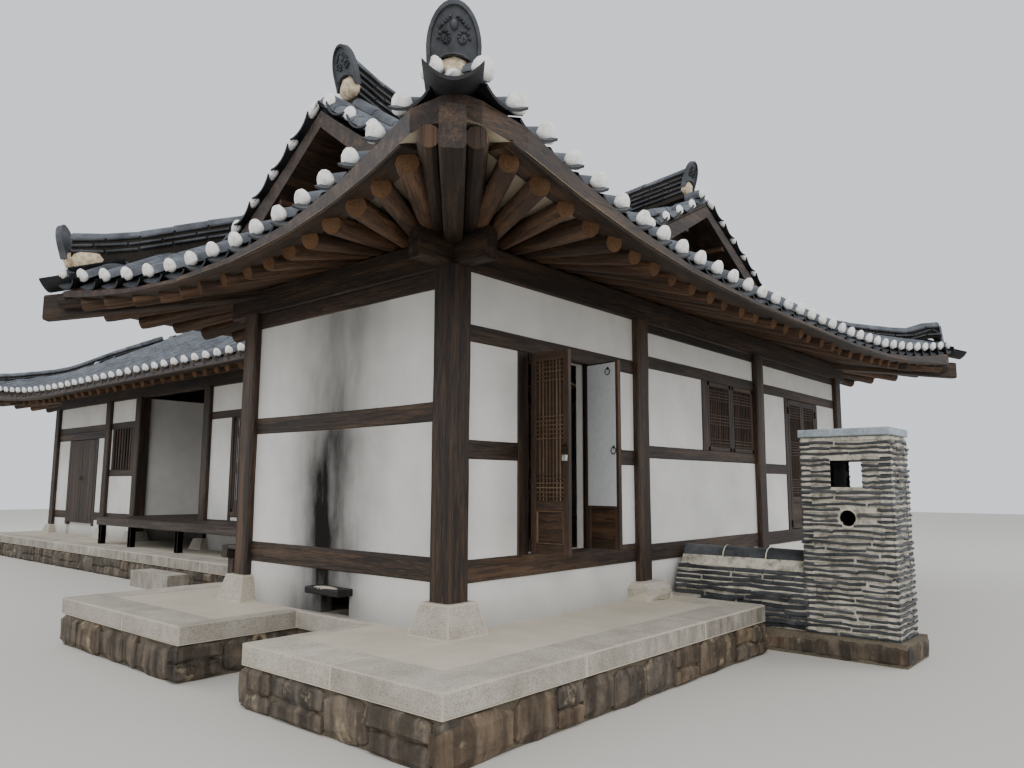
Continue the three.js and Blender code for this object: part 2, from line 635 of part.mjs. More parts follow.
put('rear_frame', join(
  ...REAR_POSTS.slice(1).map((y) => postBox([REAR_X, y], LONG_FOOT + GAP, BEAM_BOTTOM - GAP)),
  ...[COURT_SILL, COURT_RAIL, COURT_LINTEL].map((level) => box(rearFrameX, rearRun, level)),
  ...REAR_WINDOWS.flatMap((window) => [
    box(rearFrameX, [window[0] - SURROUND, window[0]], [REAR_WINDOW_Z[0] - BITE, REAR_WINDOW_Z[1] + BITE]),
    box(rearFrameX, [window[1], window[1] + SURROUND], [REAR_WINDOW_Z[0] - BITE, REAR_WINDOW_Z[1] + BITE]),
  ]),
), 'timber');
put('far_frame', join(
  postBox([FAR_MIDDLE_X, FAR_Y], LONG_FOOT + GAP, BEAM_BOTTOM - GAP),
  ...[COURT_SILL, COURT_RAIL, COURT_LINTEL].map((level) => box(farRun, farFrameY, level)),
), 'timber');

const REAR_WALL_INNER = REAR_X - HALF_POST - GAP - WALL_THICK;
put('rear_wall', carve(
  box([REAR_WALL_INNER, rearWallX[1]], [rearRun[0], farWallY[1]], courtWallZ),
  ...REAR_POSTS.flatMap((y) => postRoom([REAR_X, y])),
  ...REAR_WINDOWS.map((window) => box([REAR_WALL_INNER - POST, REAR_X + POST], window, REAR_WINDOW_Z)),
), 'plaster');
put('far_wall', carve(
  box([COURT_X + HALF_POST + GAP, REAR_WALL_INNER - GAP], [FAR_WALL_INNER, farWallY[1]], courtWallZ),
  ...[COURT_X, FAR_MIDDLE_X, REAR_X].flatMap((x) => postRoom([x, FAR_Y])),
), 'plaster');

// Heated floor of the rooms, one slab round the porch

const floorZ = [FLOOR_TOP - FLOOR_THICK, FLOOR_TOP];
const roomWest = COURT_X + HALF_POST + WALL_THICK + 2 * GAP;
const roomEast = REAR_WALL_INNER - GAP;
const roomSouth = STREET_Y + HALF_POST + GAP;
put('inner_floor', carve(join(
  box([END_X + HALF_POST + GAP, roomWest + BITE], [roomSouth, smallWallY[0] - GAP], floorZ),
  box([roomWest, roomEast], [roomSouth, porchBay[0] - GAP], floorZ),
  box([porchWallX[1] + GAP, roomEast], [porchBay[0] - BITE, COURT_POSTS[4] + HALF_POST], floorZ),
  box([roomWest, roomEast], [porchBay[1] + GAP, COURT_POSTS[4] + HALF_POST], floorZ),
), ...postRoom([COURT_X, SMALL_BACK_Y])), 'floor');

// Roof surfaces

// Height above the eave at a run in from it, a curve that steepens towards the ridge
function profile(plateRun, plateRise, ridgeRun, ridgeRise) {
  const b = (ridgeRise / ridgeRun - plateRise / plateRun) / (ridgeRun - plateRun);
  const a = plateRise / plateRun - b * plateRun;
  return {
    rise: (run) => a * run + b * run * run,
    run: (rise) => (Math.abs(b) < 1e-9 ? rise / a : (Math.sqrt(a * a + 4 * b * rise) - a) / (2 * b)),
  };
}

const SMALL_RIDGE_Y = (STREET_Y + SMALL_BACK_Y) / 2;
const LONG_RIDGE_X = (COURT_X + REAR_X) / 2;
const STREET_EAVE_Y = STREET_Y - EAVE_TO_STREET_PLATE;
const SMALL_BACK_EAVE_Y = 2 * SMALL_RIDGE_Y - STREET_EAVE_Y;
const END_EAVE_X = END_X - EAVE_TO_END_PLATE;
const COURT_EAVE_X = COURT_X - EAVE_TO_STREET_PLATE;
const REAR_EAVE_X = REAR_X + EAVE_TO_STREET_PLATE;
const FAR_EAVE_Y = FAR_Y + EAVE_TO_STREET_PLATE;
const SMALL_RUN = SMALL_RIDGE_Y - STREET_EAVE_Y;
const LONG_RUN = LONG_RIDGE_X - COURT_EAVE_X;
const smallProfile = profile(EAVE_TO_STREET_PLATE, PLATE_RISE, SMALL_RUN, SMALL_RISE);
const endProfile = { rise: (run) => smallProfile.rise((run * EAVE_TO_STREET_PLATE) / EAVE_TO_END_PLATE) };
const longProfile = profile(EAVE_TO_STREET_PLATE, PLATE_RISE, LONG_RUN, LONG_RISE);
const SMALL_RIDGE_Z = EAVE_Z + SMALL_RISE;
const LONG_RIDGE_Z = EAVE_Z + LONG_RISE;

// One eave side: s runs along it, d runs in from its middle line. point() turns s, d into x, y.
// A tip is a turned-up corner at s = tip, beyond the plate's corner at s = plate, d = -reach.
const TIP_SW = END_EAVE_X - END_TIP_REACH;
const TIP_STREET = STREET_EAVE_Y - STREET_TIP_REACH;
const TIP_SMALL_BACK = SMALL_BACK_EAVE_Y + STREET_TIP_REACH;
const TIP_REAR = REAR_EAVE_X + LONG_TIP_REACH;
const TIP_COURT = COURT_EAVE_X - LONG_TIP_REACH;
const TIP_FAR = FAR_EAVE_Y + STREET_TIP_REACH;

const SIDES = {
  street: {
    point: (s, d) => [s, STREET_EAVE_Y + d],
    run: EAVE_TO_STREET_PLATE,
    profile: smallProfile,
    start: { tip: TIP_SW, plate: END_X, reach: STREET_TIP_REACH, curve: HIGH_CORNER },
    end: { tip: TIP_REAR, plate: REAR_X, reach: STREET_TIP_REACH, curve: HIGH_CORNER },
  },
  end: {
    point: (s, d) => [END_EAVE_X + d, s],
    run: EAVE_TO_END_PLATE,
    profile: endProfile,
    start: { tip: TIP_STREET, plate: STREET_Y, reach: END_TIP_REACH, curve: HIGH_CORNER },
    end: { tip: TIP_SMALL_BACK, plate: SMALL_BACK_Y, reach: END_TIP_REACH, curve: LOW_CORNER },
  },
  smallBack: {
    point: (s, d) => [s, SMALL_BACK_EAVE_Y - d],
    run: EAVE_TO_STREET_PLATE,
    profile: smallProfile,
    start: { tip: TIP_SW, plate: END_X, reach: STREET_TIP_REACH, curve: LOW_CORNER },
    end: { valley: COURT_EAVE_X, plate: COURT_X },
  },
  court: {
    point: (s, d) => [COURT_EAVE_X + d, s],
    run: EAVE_TO_STREET_PLATE,
    profile: longProfile,
    start: { valley: SMALL_BACK_EAVE_Y, plate: SMALL_BACK_Y },
    end: { tip: TIP_FAR, plate: FAR_Y, reach: LONG_TIP_REACH, curve: HIGH_CORNER },
  },
  rear: {
    point: (s, d) => [REAR_EAVE_X - d, s],
    run: EAVE_TO_STREET_PLATE,
    profile: longProfile,
    start: { tip: TIP_STREET, plate: STREET_Y, reach: LONG_TIP_REACH, curve: HIGH_CORNER },
    end: { tip: TIP_FAR, plate: FAR_Y, reach: LONG_TIP_REACH, curve: HIGH_CORNER },
  },
  far: {
    point: (s, d) => [s, FAR_EAVE_Y - d],
    run: EAVE_TO_STREET_PLATE,
    profile: smallProfile,
    start: { tip: TIP_COURT, plate: COURT_X, reach: STREET_TIP_REACH, curve: HIGH_CORNER },
    end: { tip: TIP_REAR, plate: REAR_X, reach: STREET_TIP_REACH, curve: HIGH_CORNER },
  },
};

// The roof's corners: the tip, the plate's corner below it and the upward curve
const ROOF_CORNERS = {
  near: { tip: [TIP_SW, TIP_STREET], plate: [END_X, STREET_Y], curve: HIGH_CORNER },
  left: { tip: [TIP_SW, TIP_SMALL_BACK], plate: [END_X, SMALL_BACK_Y], curve: LOW_CORNER },
  right: { tip: [TIP_REAR, TIP_STREET], plate: [REAR_X, STREET_Y], curve: HIGH_CORNER },
  farRight: { tip: [TIP_REAR, TIP_FAR], plate: [REAR_X, FAR_Y], curve: HIGH_CORNER },
  farLeft: { tip: [TIP_COURT, TIP_FAR], plate: [COURT_X, FAR_Y], curve: HIGH_CORNER },
};

// How far the eave is into its outward corner curve at s, 0 to 1, for each end
function cornerShare(side, s) {
  const first = side.start.tip ?? side.start.valley;
  const last = side.end.tip ?? side.end.valley;
  const bothTips = side.start.tip !== undefined && side.end.tip !== undefined;
  const length = Math.min(REACH_LENGTH, (last - first) / (bothTips ? 2 : 1));
  const share = (distance) => Math.max(0, 1 - distance / length) ** 2;
  return {
    start: side.start.tip === undefined ? 0 : share(s - first),
    end: side.end.tip === undefined ? 0 : share(last - s),
  };
}

// How high the eave's upward curve is at s
function liftAt(side, s) {
  const tips = [side.start, side.end].filter((end) => end.tip !== undefined);
  return tips.reduce((sum, { tip, curve }) => {
    const share = Math.max(0, 1 - Math.abs(s - tip) / curve.length);
    return sum + curve.lift * share ** 2;
  }, 0);
}

function eavePoint(side, s) {
  const share = cornerShare(side, s);
  const reach = share.start * (side.start.reach || 0) + share.end * (side.end.reach || 0);
  return { s, d: -reach, lift: liftAt(side, s) };
}

// Where the line from an eave point meets the plate: square to it, and fanned near a tip
function platePoint(side, s) {
  const fan = (tipEnd, sign) => {
    const inner = tipEnd.plate + sign * FAN_LENGTH;
    const share = (s - inner) / (tipEnd.tip - inner);
    return share > 0 ? inner + (tipEnd.plate - inner) * share : null;
  };
  const fanned = (side.start.tip !== undefined && fan(side.start, 1))
    || (side.end.tip !== undefined && fan(side.end, -1));
  if (fanned) {
    return fanned;
  }
  if (side.start.valley === s) {
    return side.start.plate;
  }
  return side.end.valley === s ? side.end.plate : s;
}

// Below the plates all slopes rise alike, so that they meet in the hips
function riseToPlate(r) {
  return smallProfile.rise(EAVE_TO_STREET_PLATE * r);
}

// A corner of the shell at share r of the way from the eave to the plate
function lowerVertex(side, s, r) {
  const eave = eavePoint(side, s);
  const plateS = platePoint(side, s);
  const [x, y] = side.point(eave.s + (plateS - eave.s) * r, eave.d + (side.run - eave.d) * r);
  return {
    x,
    y,
    top: EAVE_Z + eave.lift * (1 - r) + riseToPlate(r),
    under: (EAVE_Z + eave.lift * UNDER_LIFT - EAVE_THICK) * (1 - r) + UNDER_PLATE * r,
  };
}

// A corner above the plate, at run d from the eave
function upperVertex(side, s, d, ridgeRun) {
  const [x, y] = side.point(s, d);
  const ridgeRise = side.profile.rise(ridgeRun);
  const share = (d - side.run) / (ridgeRun - side.run);
  return {
    x,
    y,
    top: EAVE_Z + side.profile.rise(d),
    under: UNDER_PLATE + (EAVE_Z + ridgeRise - UPPER_THICK - UNDER_PLATE) * share,
  };
}

// Columns along an eave, closer together in the corner curves
const CORNER_COLUMNS = [0, 0.06, 0.16, 0.3, 0.48, 0.7, 1];

function columnsOf(side) {
  const first = side.start.tip ?? side.start.valley;
  const last = side.end.tip ?? side.end.valley;
  const half = (last - first) / 2;
  const reach = Math.min(REACH_LENGTH, half);
  const near = CORNER_COLUMNS.map((share) => first + reach * share);
  const far = CORNER_COLUMNS.map((share) => last - reach * share).reverse();
  return [...near, ...far.filter((s) => s > near[near.length - 1] + 1)];
}

// A shell made of rows of corners: top and under faces, and walls round its edge. A twisted cell is
// split so that its underside arches up, clear of the rafters below
function shell(grids) {
  const corners = [];
  const indexOf = new Map();
  const faces = [];
  const cornerIndex = (corner) => {
    const key = `${corner.x.toFixed(2)},${corner.y.toFixed(2)}`;
    if (!indexOf.has(key)) {
      indexOf.set(key, corners.length);
      corners.push(corner);
    }
    return indexOf.get(key);
  };
  const addFace = (a, b, c) => {
    if (a === b || b === c || c === a) {
      return;
    }
    const area = (corners[b].x - corners[a].x) * (corners[c].y - corners[a].y)
      - (corners[c].x - corners[a].x) * (corners[b].y - corners[a].y);
    if (Math.abs(area) > 1e-3) {
      faces.push(area > 0 ? [a, b, c] : [a, c, b]);
    }
  };
  grids.forEach((rows) => {
    for (let row = 0; row + 1 < rows.length; row += 1) {
      for (let column = 0; column + 1 < rows[row].length; column += 1) {
        const [near, next] = [rows[row], rows[row + 1]];
        const quad = [near[column], near[column + 1], next[column + 1], next[column]];
        const [a, b, c, d] = quad.map(cornerIndex);
        if (quad[0].under + quad[2].under >= quad[1].under + quad[3].under) {
          addFace(a, b, c);
          addFace(a, c, d);
        } else {
          addFace(b, c, d);
          addFace(b, d, a);
        }
      }
    }
  });
  const count = corners.length;
  const triangles = [];
  const edges = new Map();
  faces.forEach(([a, b, c]) => {
    triangles.push(a, b, c, a + count, c + count, b + count);
    [[a, b], [b, c], [c, a]].forEach(([from, to]) => edges.set(`${from},${to}`, [from, to]));
  });
  edges.forEach(([from, to]) => {
    if (!edges.has(`${to},${from}`)) {
      triangles.push(from, from + count, to + count, from, to + count, to);
    }
  });
  const positions = corners.flatMap((corner) => [corner.x, corner.y, corner.top]);
  positions.push(...corners.flatMap((corner) => [corner.x, corner.y, corner.under]));
  const geometry = new THREE.BufferGeometry();
  geometry.setAttribute('position', new THREE.BufferAttribute(new Float32Array(positions), 3));
  geometry.setIndex(triangles);
  return geometry;
}

const LOWER_ROWS = [0, 0.4, 0.8, 1];
const SEAM = 0.4;
const SLIVER = 1;

function lerp(a, b, share) {
  return a + (b - a) * share;
}

// Valleys where the small wing's slopes meet the long wing's, worked out from equal heights
function valleyX(d) {
  return COURT_EAVE_X + longProfile.run(smallProfile.rise(d));
}

// The small wing stops a seam short of the valley, and a little more where the valleys meet
function valleyEdge(d) {
  return valleyX(d) - (d < SMALL_RUN ? SEAM : SEAM + 2 * SLIVER);
}

// Rows of one slope above the plate, spread between its two edges
function upperRows(side, plateRow, ridgeRun, runs, edges) {
  const first = plateRow[0];
  const last = plateRow[plateRow.length - 1];
  return runs.map((d) => {
    const [low, high] = edges(d);
    return plateRow.map((s) => upperVertex(side, lerp(low, high, (s - first) / (last - first)), d, ridgeRun));
  });
}

// The lower rows, with the first or last corner held at a cut or a seam
function lowerRows(side, columns, rows, fix) {
  return rows.map((r) => columns.map((s, column) => {
    const vertex = lowerVertex(side, s, r);
    return fix ? fix(vertex, r, column) : vertex;
  }));
}

const SMALL_RAKE_SHARE = (SMALL_RAKE_X - TIP_SW) / (END_X - TIP_SW);
const rakeRows = [0, 0.4, SMALL_RAKE_SHARE, 1];

function runsBetween(from, to, steps) {
  return Array.from({ length: steps }, (_, step) => lerp(from, to, (step + 1) / steps));
}

// Rows above the plate, at equal heights on all slopes so that they meet in the hips and valleys
const rakeRun = LONG_RAKE_Y - STREET_EAVE_Y;
const RUNS_TO_RAKE = runsBetween(EAVE_TO_STREET_PLATE, rakeRun, 2);
const RUNS_TO_RIDGE = runsBetween(rakeRun, SMALL_RUN, 3);
const SMALL_RUNS = [...RUNS_TO_RAKE, ...RUNS_TO_RIDGE];
const longRunOf = (run) => longProfile.run(smallProfile.rise(run));

// Small wing: street slope, up to the cut beside the long wing's rake, and courtyard slope
const CUT_X = valleyX(LONG_RAKE_Y - STREET_EAVE_Y);
const VALLEY_TOP_X = valleyX(SMALL_RUN);

function holdRakeAndSeam(seam) {
  return (vertex, r, column) => {
    const held = { ...vertex };
    if (column === 0) {
      held.x = r > SMALL_RAKE_SHARE ? SMALL_RAKE_X : vertex.x + seam;
    }
    return held;
  };
}

const CUT_CLEAR = 200;
const streetColumns = columnsOf(SIDES.street).filter((s) => s < CUT_X - CUT_CLEAR);
const smallStreetColumns = [...streetColumns, CUT_X];
const smallStreetLower = lowerRows(SIDES.street, smallStreetColumns, rakeRows, holdRakeAndSeam(SEAM));
const smallStreetPlate = smallStreetLower[rakeRows.length - 1].map((vertex) => vertex.x);
const smallStreetUpper = upperRows(
  SIDES.street,
  smallStreetPlate,
  SMALL_RUN,
  SMALL_RUNS,
  (d) => [SMALL_RAKE_X, d <= rakeRun ? CUT_X : valleyEdge(d)],
);
smallStreetUpper[SMALL_RUNS.length - 1].forEach((vertex) => {
  vertex.y -= SEAM;
});
put('roof_small_street', shell([[...smallStreetLower, ...smallStreetUpper]]), 'tile');

const smallBackColumns = columnsOf(SIDES.smallBack);
const smallBackLower = lowerRows(SIDES.smallBack, smallBackColumns, rakeRows, holdRakeAndSeam(SEAM));
const smallBackPlate = smallBackLower[rakeRows.length - 1].map((vertex) => vertex.x);
const smallBackUpper = upperRows(
  SIDES.smallBack,
  smallBackPlate,
  SMALL_RUN,
  SMALL_RUNS,
  (d) => [SMALL_RAKE_X, valleyEdge(d)],
);
put('roof_small_back', shell([[...smallBackLower, ...smallBackUpper]]), 'tile');

// Small wing: the end skirt under the gable
// The strip of it that runs back to the gable wall starts and stops this far along the eave
const SMALL_STRIP_Y = 820;
const SKIRT_WINDOW_SMALL = [SMALL_STRIP_Y, 2 * SMALL_RIDGE_Y - SMALL_STRIP_Y];
const SMALL_GABLE_X = SMALL_RAKE_X + GABLE_INSET;

function squeeze(row, along, [low, high], shift) {
  const first = row[0][along];
  const last = row[row.length - 1][along];
  return row.map((vertex) => {
    const moved = { ...vertex, [along]: lerp(low, high, (vertex[along] - first) / (last - first)) };
    Object.entries(shift).forEach(([axis, value]) => {
      moved[axis] = value;
    });
    return moved;
  });
}

const endColumns = columnsOf(SIDES.end);
const endRakeShare = (SMALL_RAKE_X - 2 * SLIVER - TIP_SW) / (END_X - TIP_SW);
const endLower = lowerRows(SIDES.end, endColumns, [0, 0.4, endRakeShare]);
endLower.forEach((row) => {
  row[0].y += SEAM;
  row[row.length - 1].y -= SEAM;
});
const skirtEdge = endLower[endLower.length - 1];
skirtEdge.forEach((vertex) => {
  vertex.x = SMALL_RAKE_X - 2 * SLIVER;
});
const gableRise = endProfile.rise(SMALL_GABLE_X - END_EAVE_X);
const endStrip = [
  squeeze(skirtEdge, 'y', SKIRT_WINDOW_SMALL, { x: SMALL_RAKE_X - SLIVER }),
  squeeze(skirtEdge, 'y', SKIRT_WINDOW_SMALL, {
    x: SMALL_GABLE_X,
    top: EAVE_Z + gableRise,
    under: EAVE_Z + gableRise - UPPER_THICK,
  }),
];
put('skirt_small', shell([[...endLower, ...endStrip]]), 'tile');

// Long wing: courtyard slope and rear slope
const HIP_TOP_RUN = longProfile.run(smallProfile.rise(rakeRun));
const FAR_RAKE_Y = FAR_EAVE_Y - rakeRun;

const courtColumns = columnsOf(SIDES.court);
const holdValleyAndHip = (vertex, r, column) => {
  const held = { ...vertex };
  if (column === 0) {
    held.x += SEAM;
  }
  if (column === courtColumns.length - 1) {
    held.y -= SEAM;
  }
  return held;
};
const courtLower = lowerRows(SIDES.court, courtColumns, LOWER_ROWS, holdValleyAndHip);
const courtPlate = courtLower[LOWER_ROWS.length - 1].map((vertex) => vertex.y);
const valleyTopRun = longRunOf(SMALL_RUN);

// The y of the back valley, and of the hip at the far end, at a run in from the long wing's eave
function backValleyY(d) {
  return SMALL_BACK_EAVE_Y - smallProfile.run(longProfile.rise(d));
}

function hipY(d) {
  return d < HIP_TOP_RUN ? FAR_EAVE_Y - smallProfile.run(longProfile.rise(d)) : FAR_RAKE_Y;
}

const courtUpper = upperRows(
  SIDES.court,
  courtPlate,
  LONG_RUN,
  SMALL_RUNS.map(longRunOf),
  (d) => [backValleyY(d) + SEAM, hipY(d) - SEAM],
);
const topColumns = courtUpper[courtUpper.length - 1].map((vertex) => vertex.y);
const rakeColumns = [LONG_RAKE_Y, lerp(LONG_RAKE_Y, topColumns[0], 0.5), ...topColumns];
const courtTopRows = [valleyTopRun, ...runsBetween(valleyTopRun, LONG_RUN, 2)]
  .map((d) => rakeColumns.map((y) => upperVertex(SIDES.court, y, d, LONG_RUN)));
courtTopRows[courtTopRows.length - 1].forEach((vertex) => {
  vertex.x -= SEAM;
});

// The wedge beside the front valley, below the level where the small ridge runs in
const wedgeRows = [rakeRun + 2 * SLIVER, ...RUNS_TO_RIDGE].map((run) => {
  const high = run < SMALL_RUN ? STREET_EAVE_Y + run - SEAM : topColumns[0];
  return [LONG_RAKE_Y, lerp(LONG_RAKE_Y, high, 0.5), high]
    .map((y) => upperVertex(SIDES.court, y, longRunOf(run), LONG_RUN));
});
const courtSlope = [[...courtLower, ...courtUpper], courtTopRows, wedgeRows];

const rearColumns = columnsOf(SIDES.rear);
const rearLower = lowerRows(SIDES.rear, rearColumns, LOWER_ROWS, (vertex, r, column) => {
  const held = { ...vertex };
  if (column === 0) {
    held.y += SEAM;
  }
  if (column === rearColumns.length - 1) {
    held.y -= SEAM;
  }
  return held;
});
const rearPlate = rearLower[LOWER_ROWS.length - 1].map((vertex) => vertex.y);
const nearHipY = (d) => (
  d < HIP_TOP_RUN ? STREET_EAVE_Y + smallProfile.run(longProfile.rise(d)) : LONG_RAKE_Y
);
const rearUpper = upperRows(
  SIDES.rear,
  rearPlate,
  LONG_RUN,
  [...RUNS_TO_RAKE.map(longRunOf), ...runsBetween(HIP_TOP_RUN, LONG_RUN, 3)],
  (d) => [nearHipY(d) + SEAM, hipY(d) - SEAM],
);
const rearSlope = [[...rearLower, ...rearUpper]];

// Long wing: skirts under the two gables
const LONG_STRIP_X = 4480;
const SKIRT_WINDOW_LONG = [LONG_STRIP_X, 2 * LONG_RIDGE_X - LONG_STRIP_X];
const NEAR_GABLE_Y = LONG_RAKE_Y + GABLE_INSET;
const FAR_GABLE_Y = FAR_RAKE_Y - GABLE_INSET;

function longSkirt(side, columns, startEdge, sign, rakeY, gableY) {
  const lower = lowerRows(side, columns, LOWER_ROWS, (vertex, r, column) => {
    const held = { ...vertex };
    if (column === 0) {
      held.x += SEAM;
    }
    if (column === columns.length - 1) {
      held.x -= SEAM;
    }
    return held;
  });
  const plate = lower[LOWER_ROWS.length - 1].map((vertex) => vertex.x);
  const upper = upperRows(
    side,
    plate,
    SMALL_RUN,
    RUNS_TO_RAKE,
    (d) => [startEdge(longRunOf(d)) + SEAM, REAR_EAVE_X - longRunOf(d) - SEAM],
  );
  const edge = upper[upper.length - 1];
  edge.forEach((vertex) => {
    vertex.y -= sign * 2 * SLIVER;
  });
  const rise = smallProfile.rise(Math.abs(gableY - rakeY) + rakeRun);
  const strip = [
    squeeze(edge, 'x', SKIRT_WINDOW_LONG, { y: rakeY - sign * SLIVER }),
    squeeze(edge, 'x', SKIRT_WINDOW_LONG, {
      y: gableY,
      top: EAVE_Z + rise,
      under: EAVE_Z + rise - UPPER_THICK,
    }),
  ];
  return shell([[...lower, ...upper, ...strip]]);
}

const nearSkirtColumns = [CUT_X, ...columnsOf(SIDES.street).filter((s) => s > CUT_X + CUT_CLEAR)];
put('skirt_long_near', longSkirt(
  SIDES.street,
  nearSkirtColumns,
  () => CUT_X,
  1,
  LONG_RAKE_Y,
  NEAR_GABLE_Y,
), 'tile');
put('skirt_long_far', longSkirt(
  SIDES.far,
  columnsOf(SIDES.far),
  (run) => COURT_EAVE_X + run,
  -1,
  FAR_RAKE_Y,
  FAR_GABLE_Y,
), 'tile');

// Gable walls stand on the skirts' upper edges, under the slopes
const GABLE_CLEAR = 3;

function gableWall(base, ridgeMiddle, plateMiddle, ridgeUnder, along, plane) {
  const slope = (ridgeUnder - UNDER_PLATE) / (ridgeMiddle - plateMiddle);
  const foot = plateMiddle + (base - UNDER_PLATE) / slope;
  const outline = [
    [foot + GABLE_CLEAR, base],
    [2 * ridgeMiddle - foot - GABLE_CLEAR, base],
    [ridgeMiddle, ridgeUnder - GABLE_CLEAR],
  ];
  return uprightPrism(outline, along, plane, plane + GABLE_THICK);
}

const smallGableBase = EAVE_Z + gableRise - UPPER_THICK;
const SMALL_RIDGE_UNDER = SMALL_RIDGE_Z - UPPER_THICK;
const LONG_RIDGE_UNDER = LONG_RIDGE_Z - UPPER_THICK;
put('gable_small', gableWall(
  smallGableBase,
  SMALL_RIDGE_Y,
  STREET_Y,
  SMALL_RIDGE_UNDER,
  'x',
  SMALL_GABLE_X + GAP,
), 'plaster');
const longGableBase = EAVE_Z + smallProfile.rise(GABLE_INSET + rakeRun) - UPPER_THICK;
put('gable_long_near', gableWall(
  longGableBase,
  LONG_RIDGE_X,
  COURT_X,
  LONG_RIDGE_UNDER,
  'y',
  NEAR_GABLE_Y + GAP,
), 'plaster');
put('gable_long_far', gableWall(
  longGableBase,
  LONG_RIDGE_X,
  COURT_X,
  LONG_RIDGE_UNDER,
  'y',
  FAR_GABLE_Y - GAP - GABLE_THICK,
), 'plaster');

// Rafters: round logs under the shells, held by an eave board that follows the tips

function underLine(side, s) {
  const eave = lowerVertex(side, s, 0);
  const plate = lowerVertex(side, s, 1);
  return [
    new THREE.Vector3(eave.x, eave.y, eave.under),
    new THREE.Vector3(plate.x, plate.y, plate.under),
  ];
}

function logBetween(from, to, radius, sides) {
  const axis = new THREE.Vector3().subVectors(to, from);
  const log = new THREE.CylinderGeometry(radius, radius, axis.length(), sides, 1);
  log.rotateX(Math.PI / 2);
  log.rotateZ(Math.PI / sides);
  const turn = new THREE.Matrix4().lookAt(to, from, new THREE.Vector3(0, 0, 1));
  log.applyMatrix4(turn);
  log.translate((from.x + to.x) / 2, (from.y + to.y) / 2, (from.z + to.z) / 2);
  return log;
}

function rafter(side, s, sides) {
  const [eave, plate] = underLine(side, s);
  const direction = new THREE.Vector3().subVectors(plate, eave);
  const length = direction.length();
  direction.normalize();
  const drop = new THREE.Vector3(0, 0, -RAFTER_DROP - RAFTER_RADIUS / Math.cos(Math.asin(direction.z)));
  const from = eave.clone().addScaledVector(direction, RAFTER_TIP_IN).add(drop);
  const to = eave.clone().addScaledVector(direction, length + RAFTER_TAIL).add(drop);
  return logBetween(from, to, RAFTER_RADIUS, sides);
}

// The eave board: a strip over the rafters' tips, whose top follows the shell's underside
const EAVE_BOARD = { width: 70, height: 50, in: 110, drop: 0.5 };

function eaveBoard(side) {
  const shares = [EAVE_BOARD.in / side.run, (EAVE_BOARD.in + EAVE_BOARD.width) / side.run];
  const rows = shares.map((r) => columnsOf(side).map((s) => {
    const vertex = lowerVertex(side, s, r);
    const top = vertex.under - EAVE_BOARD.drop;
    return { x: vertex.x, y: vertex.y, top, under: top - EAVE_BOARD.height };
  }));
  return shell([rows]);
}

// The part of the plan that belongs to a side; it stops short of the hip rafters that aren't its own
function sideSector(side, clearStart, clearEnd) {
  const first = side.start.tip ?? side.start.valley;
  const last = side.end.tip ?? side.end.valley;
  const hipClear = HIP_WIDTH / Math.SQRT2 + HIP_SIDE_CLEAR;
  const startClear = clearStart ? hipClear : 0;
  const endClear = clearEnd ? hipClear : 0;
  const firstReach = side.start.reach ?? 0;
  const lastReach = side.end.reach ?? 0;
  const deep = side.run + RAFTER_TAIL;
  const startSlope = (side.start.plate - first) / (side.run + firstReach);
  const endSlope = (side.end.plate - last) / (side.run + lastReach);
  const edge = (origin, slope, reach, d, clear) => origin + slope * (d + reach) + clear;
  const corners = [
    side.point(edge(first, startSlope, firstReach, -firstReach, startClear), -firstReach - 1),
    side.point(edge(first, startSlope, firstReach, deep, startClear), deep),
    side.point(edge(last, endSlope, lastReach, deep, -endClear), deep),
    side.point(edge(last, endSlope, lastReach, -lastReach, -endClear), -lastReach - 1),
  ];
  const area = corners.reduce((sum, [x, y], index) => {
    const [nextX, nextY] = corners[(index + 1) % corners.length];
    return sum + x * nextY - nextX * y;
  }, 0);
  return prism(area > 0 ? corners : corners.reverse(), 0, LONG_RIDGE_Z);
}

function rafterComb(side, sides = RAFTER_SIDES, clearStart = true, clearEnd = true) {
  const first = side.start.tip ?? side.start.valley;
  const last = side.end.tip ?? side.end.valley;
  const count = Math.round((last - first) / RAFTER_SPACING);
  const pieces = [eaveBoard(side)];
  for (let index = 1; index < count; index += 1) {
    pieces.push(rafter(side, lerp(first, last, index / count), sides));
  }
  return keepInside(join(...pieces), sideSector(side, clearStart, clearEnd));
}

put('rafters_street', rafterComb(SIDES.street), 'timber');
put('rafters_end', rafterComb(SIDES.end), 'timber');
put('rafters_small_back', rafterComb(SIDES.smallBack), 'timber');

// Plates: a ring of beams on the posts, with the hip rafters on its corners

const PLATE = { out: 60, z: [BEAM_BOTTOM, PLATE_TOP] };
const BEAM_END = { reach: 400, z: [BEAM_BOTTOM, 3140] };

function hipRafter(corner) {
  const plate = new THREE.Vector3(...corner.plate, UNDER_PLATE);
  const tip = new THREE.Vector3(...corner.tip, EAVE_Z + corner.curve.lift * UNDER_LIFT - EAVE_THICK);
  const axis = new THREE.Vector3().subVectors(tip, plate);
  const beam = new THREE.BoxGeometry(HIP_WIDTH, HIP_DEPTH, axis.length() - RAFTER_TIP_IN + RAFTER_TAIL);
  const turn = new THREE.Matrix4().lookAt(tip, plate, new THREE.Vector3(0, 0, 1));
  beam.applyMatrix4(turn);
  const unit = axis.clone().normalize();
  const middle = plate.clone().addScaledVector(unit, (axis.length() - RAFTER_TIP_IN - RAFTER_TAIL) / 2);
  beam.translate(middle.x, middle.y, middle.z - HIP_DEPTH / 2 - HIP_DROP);
  return beam;
}

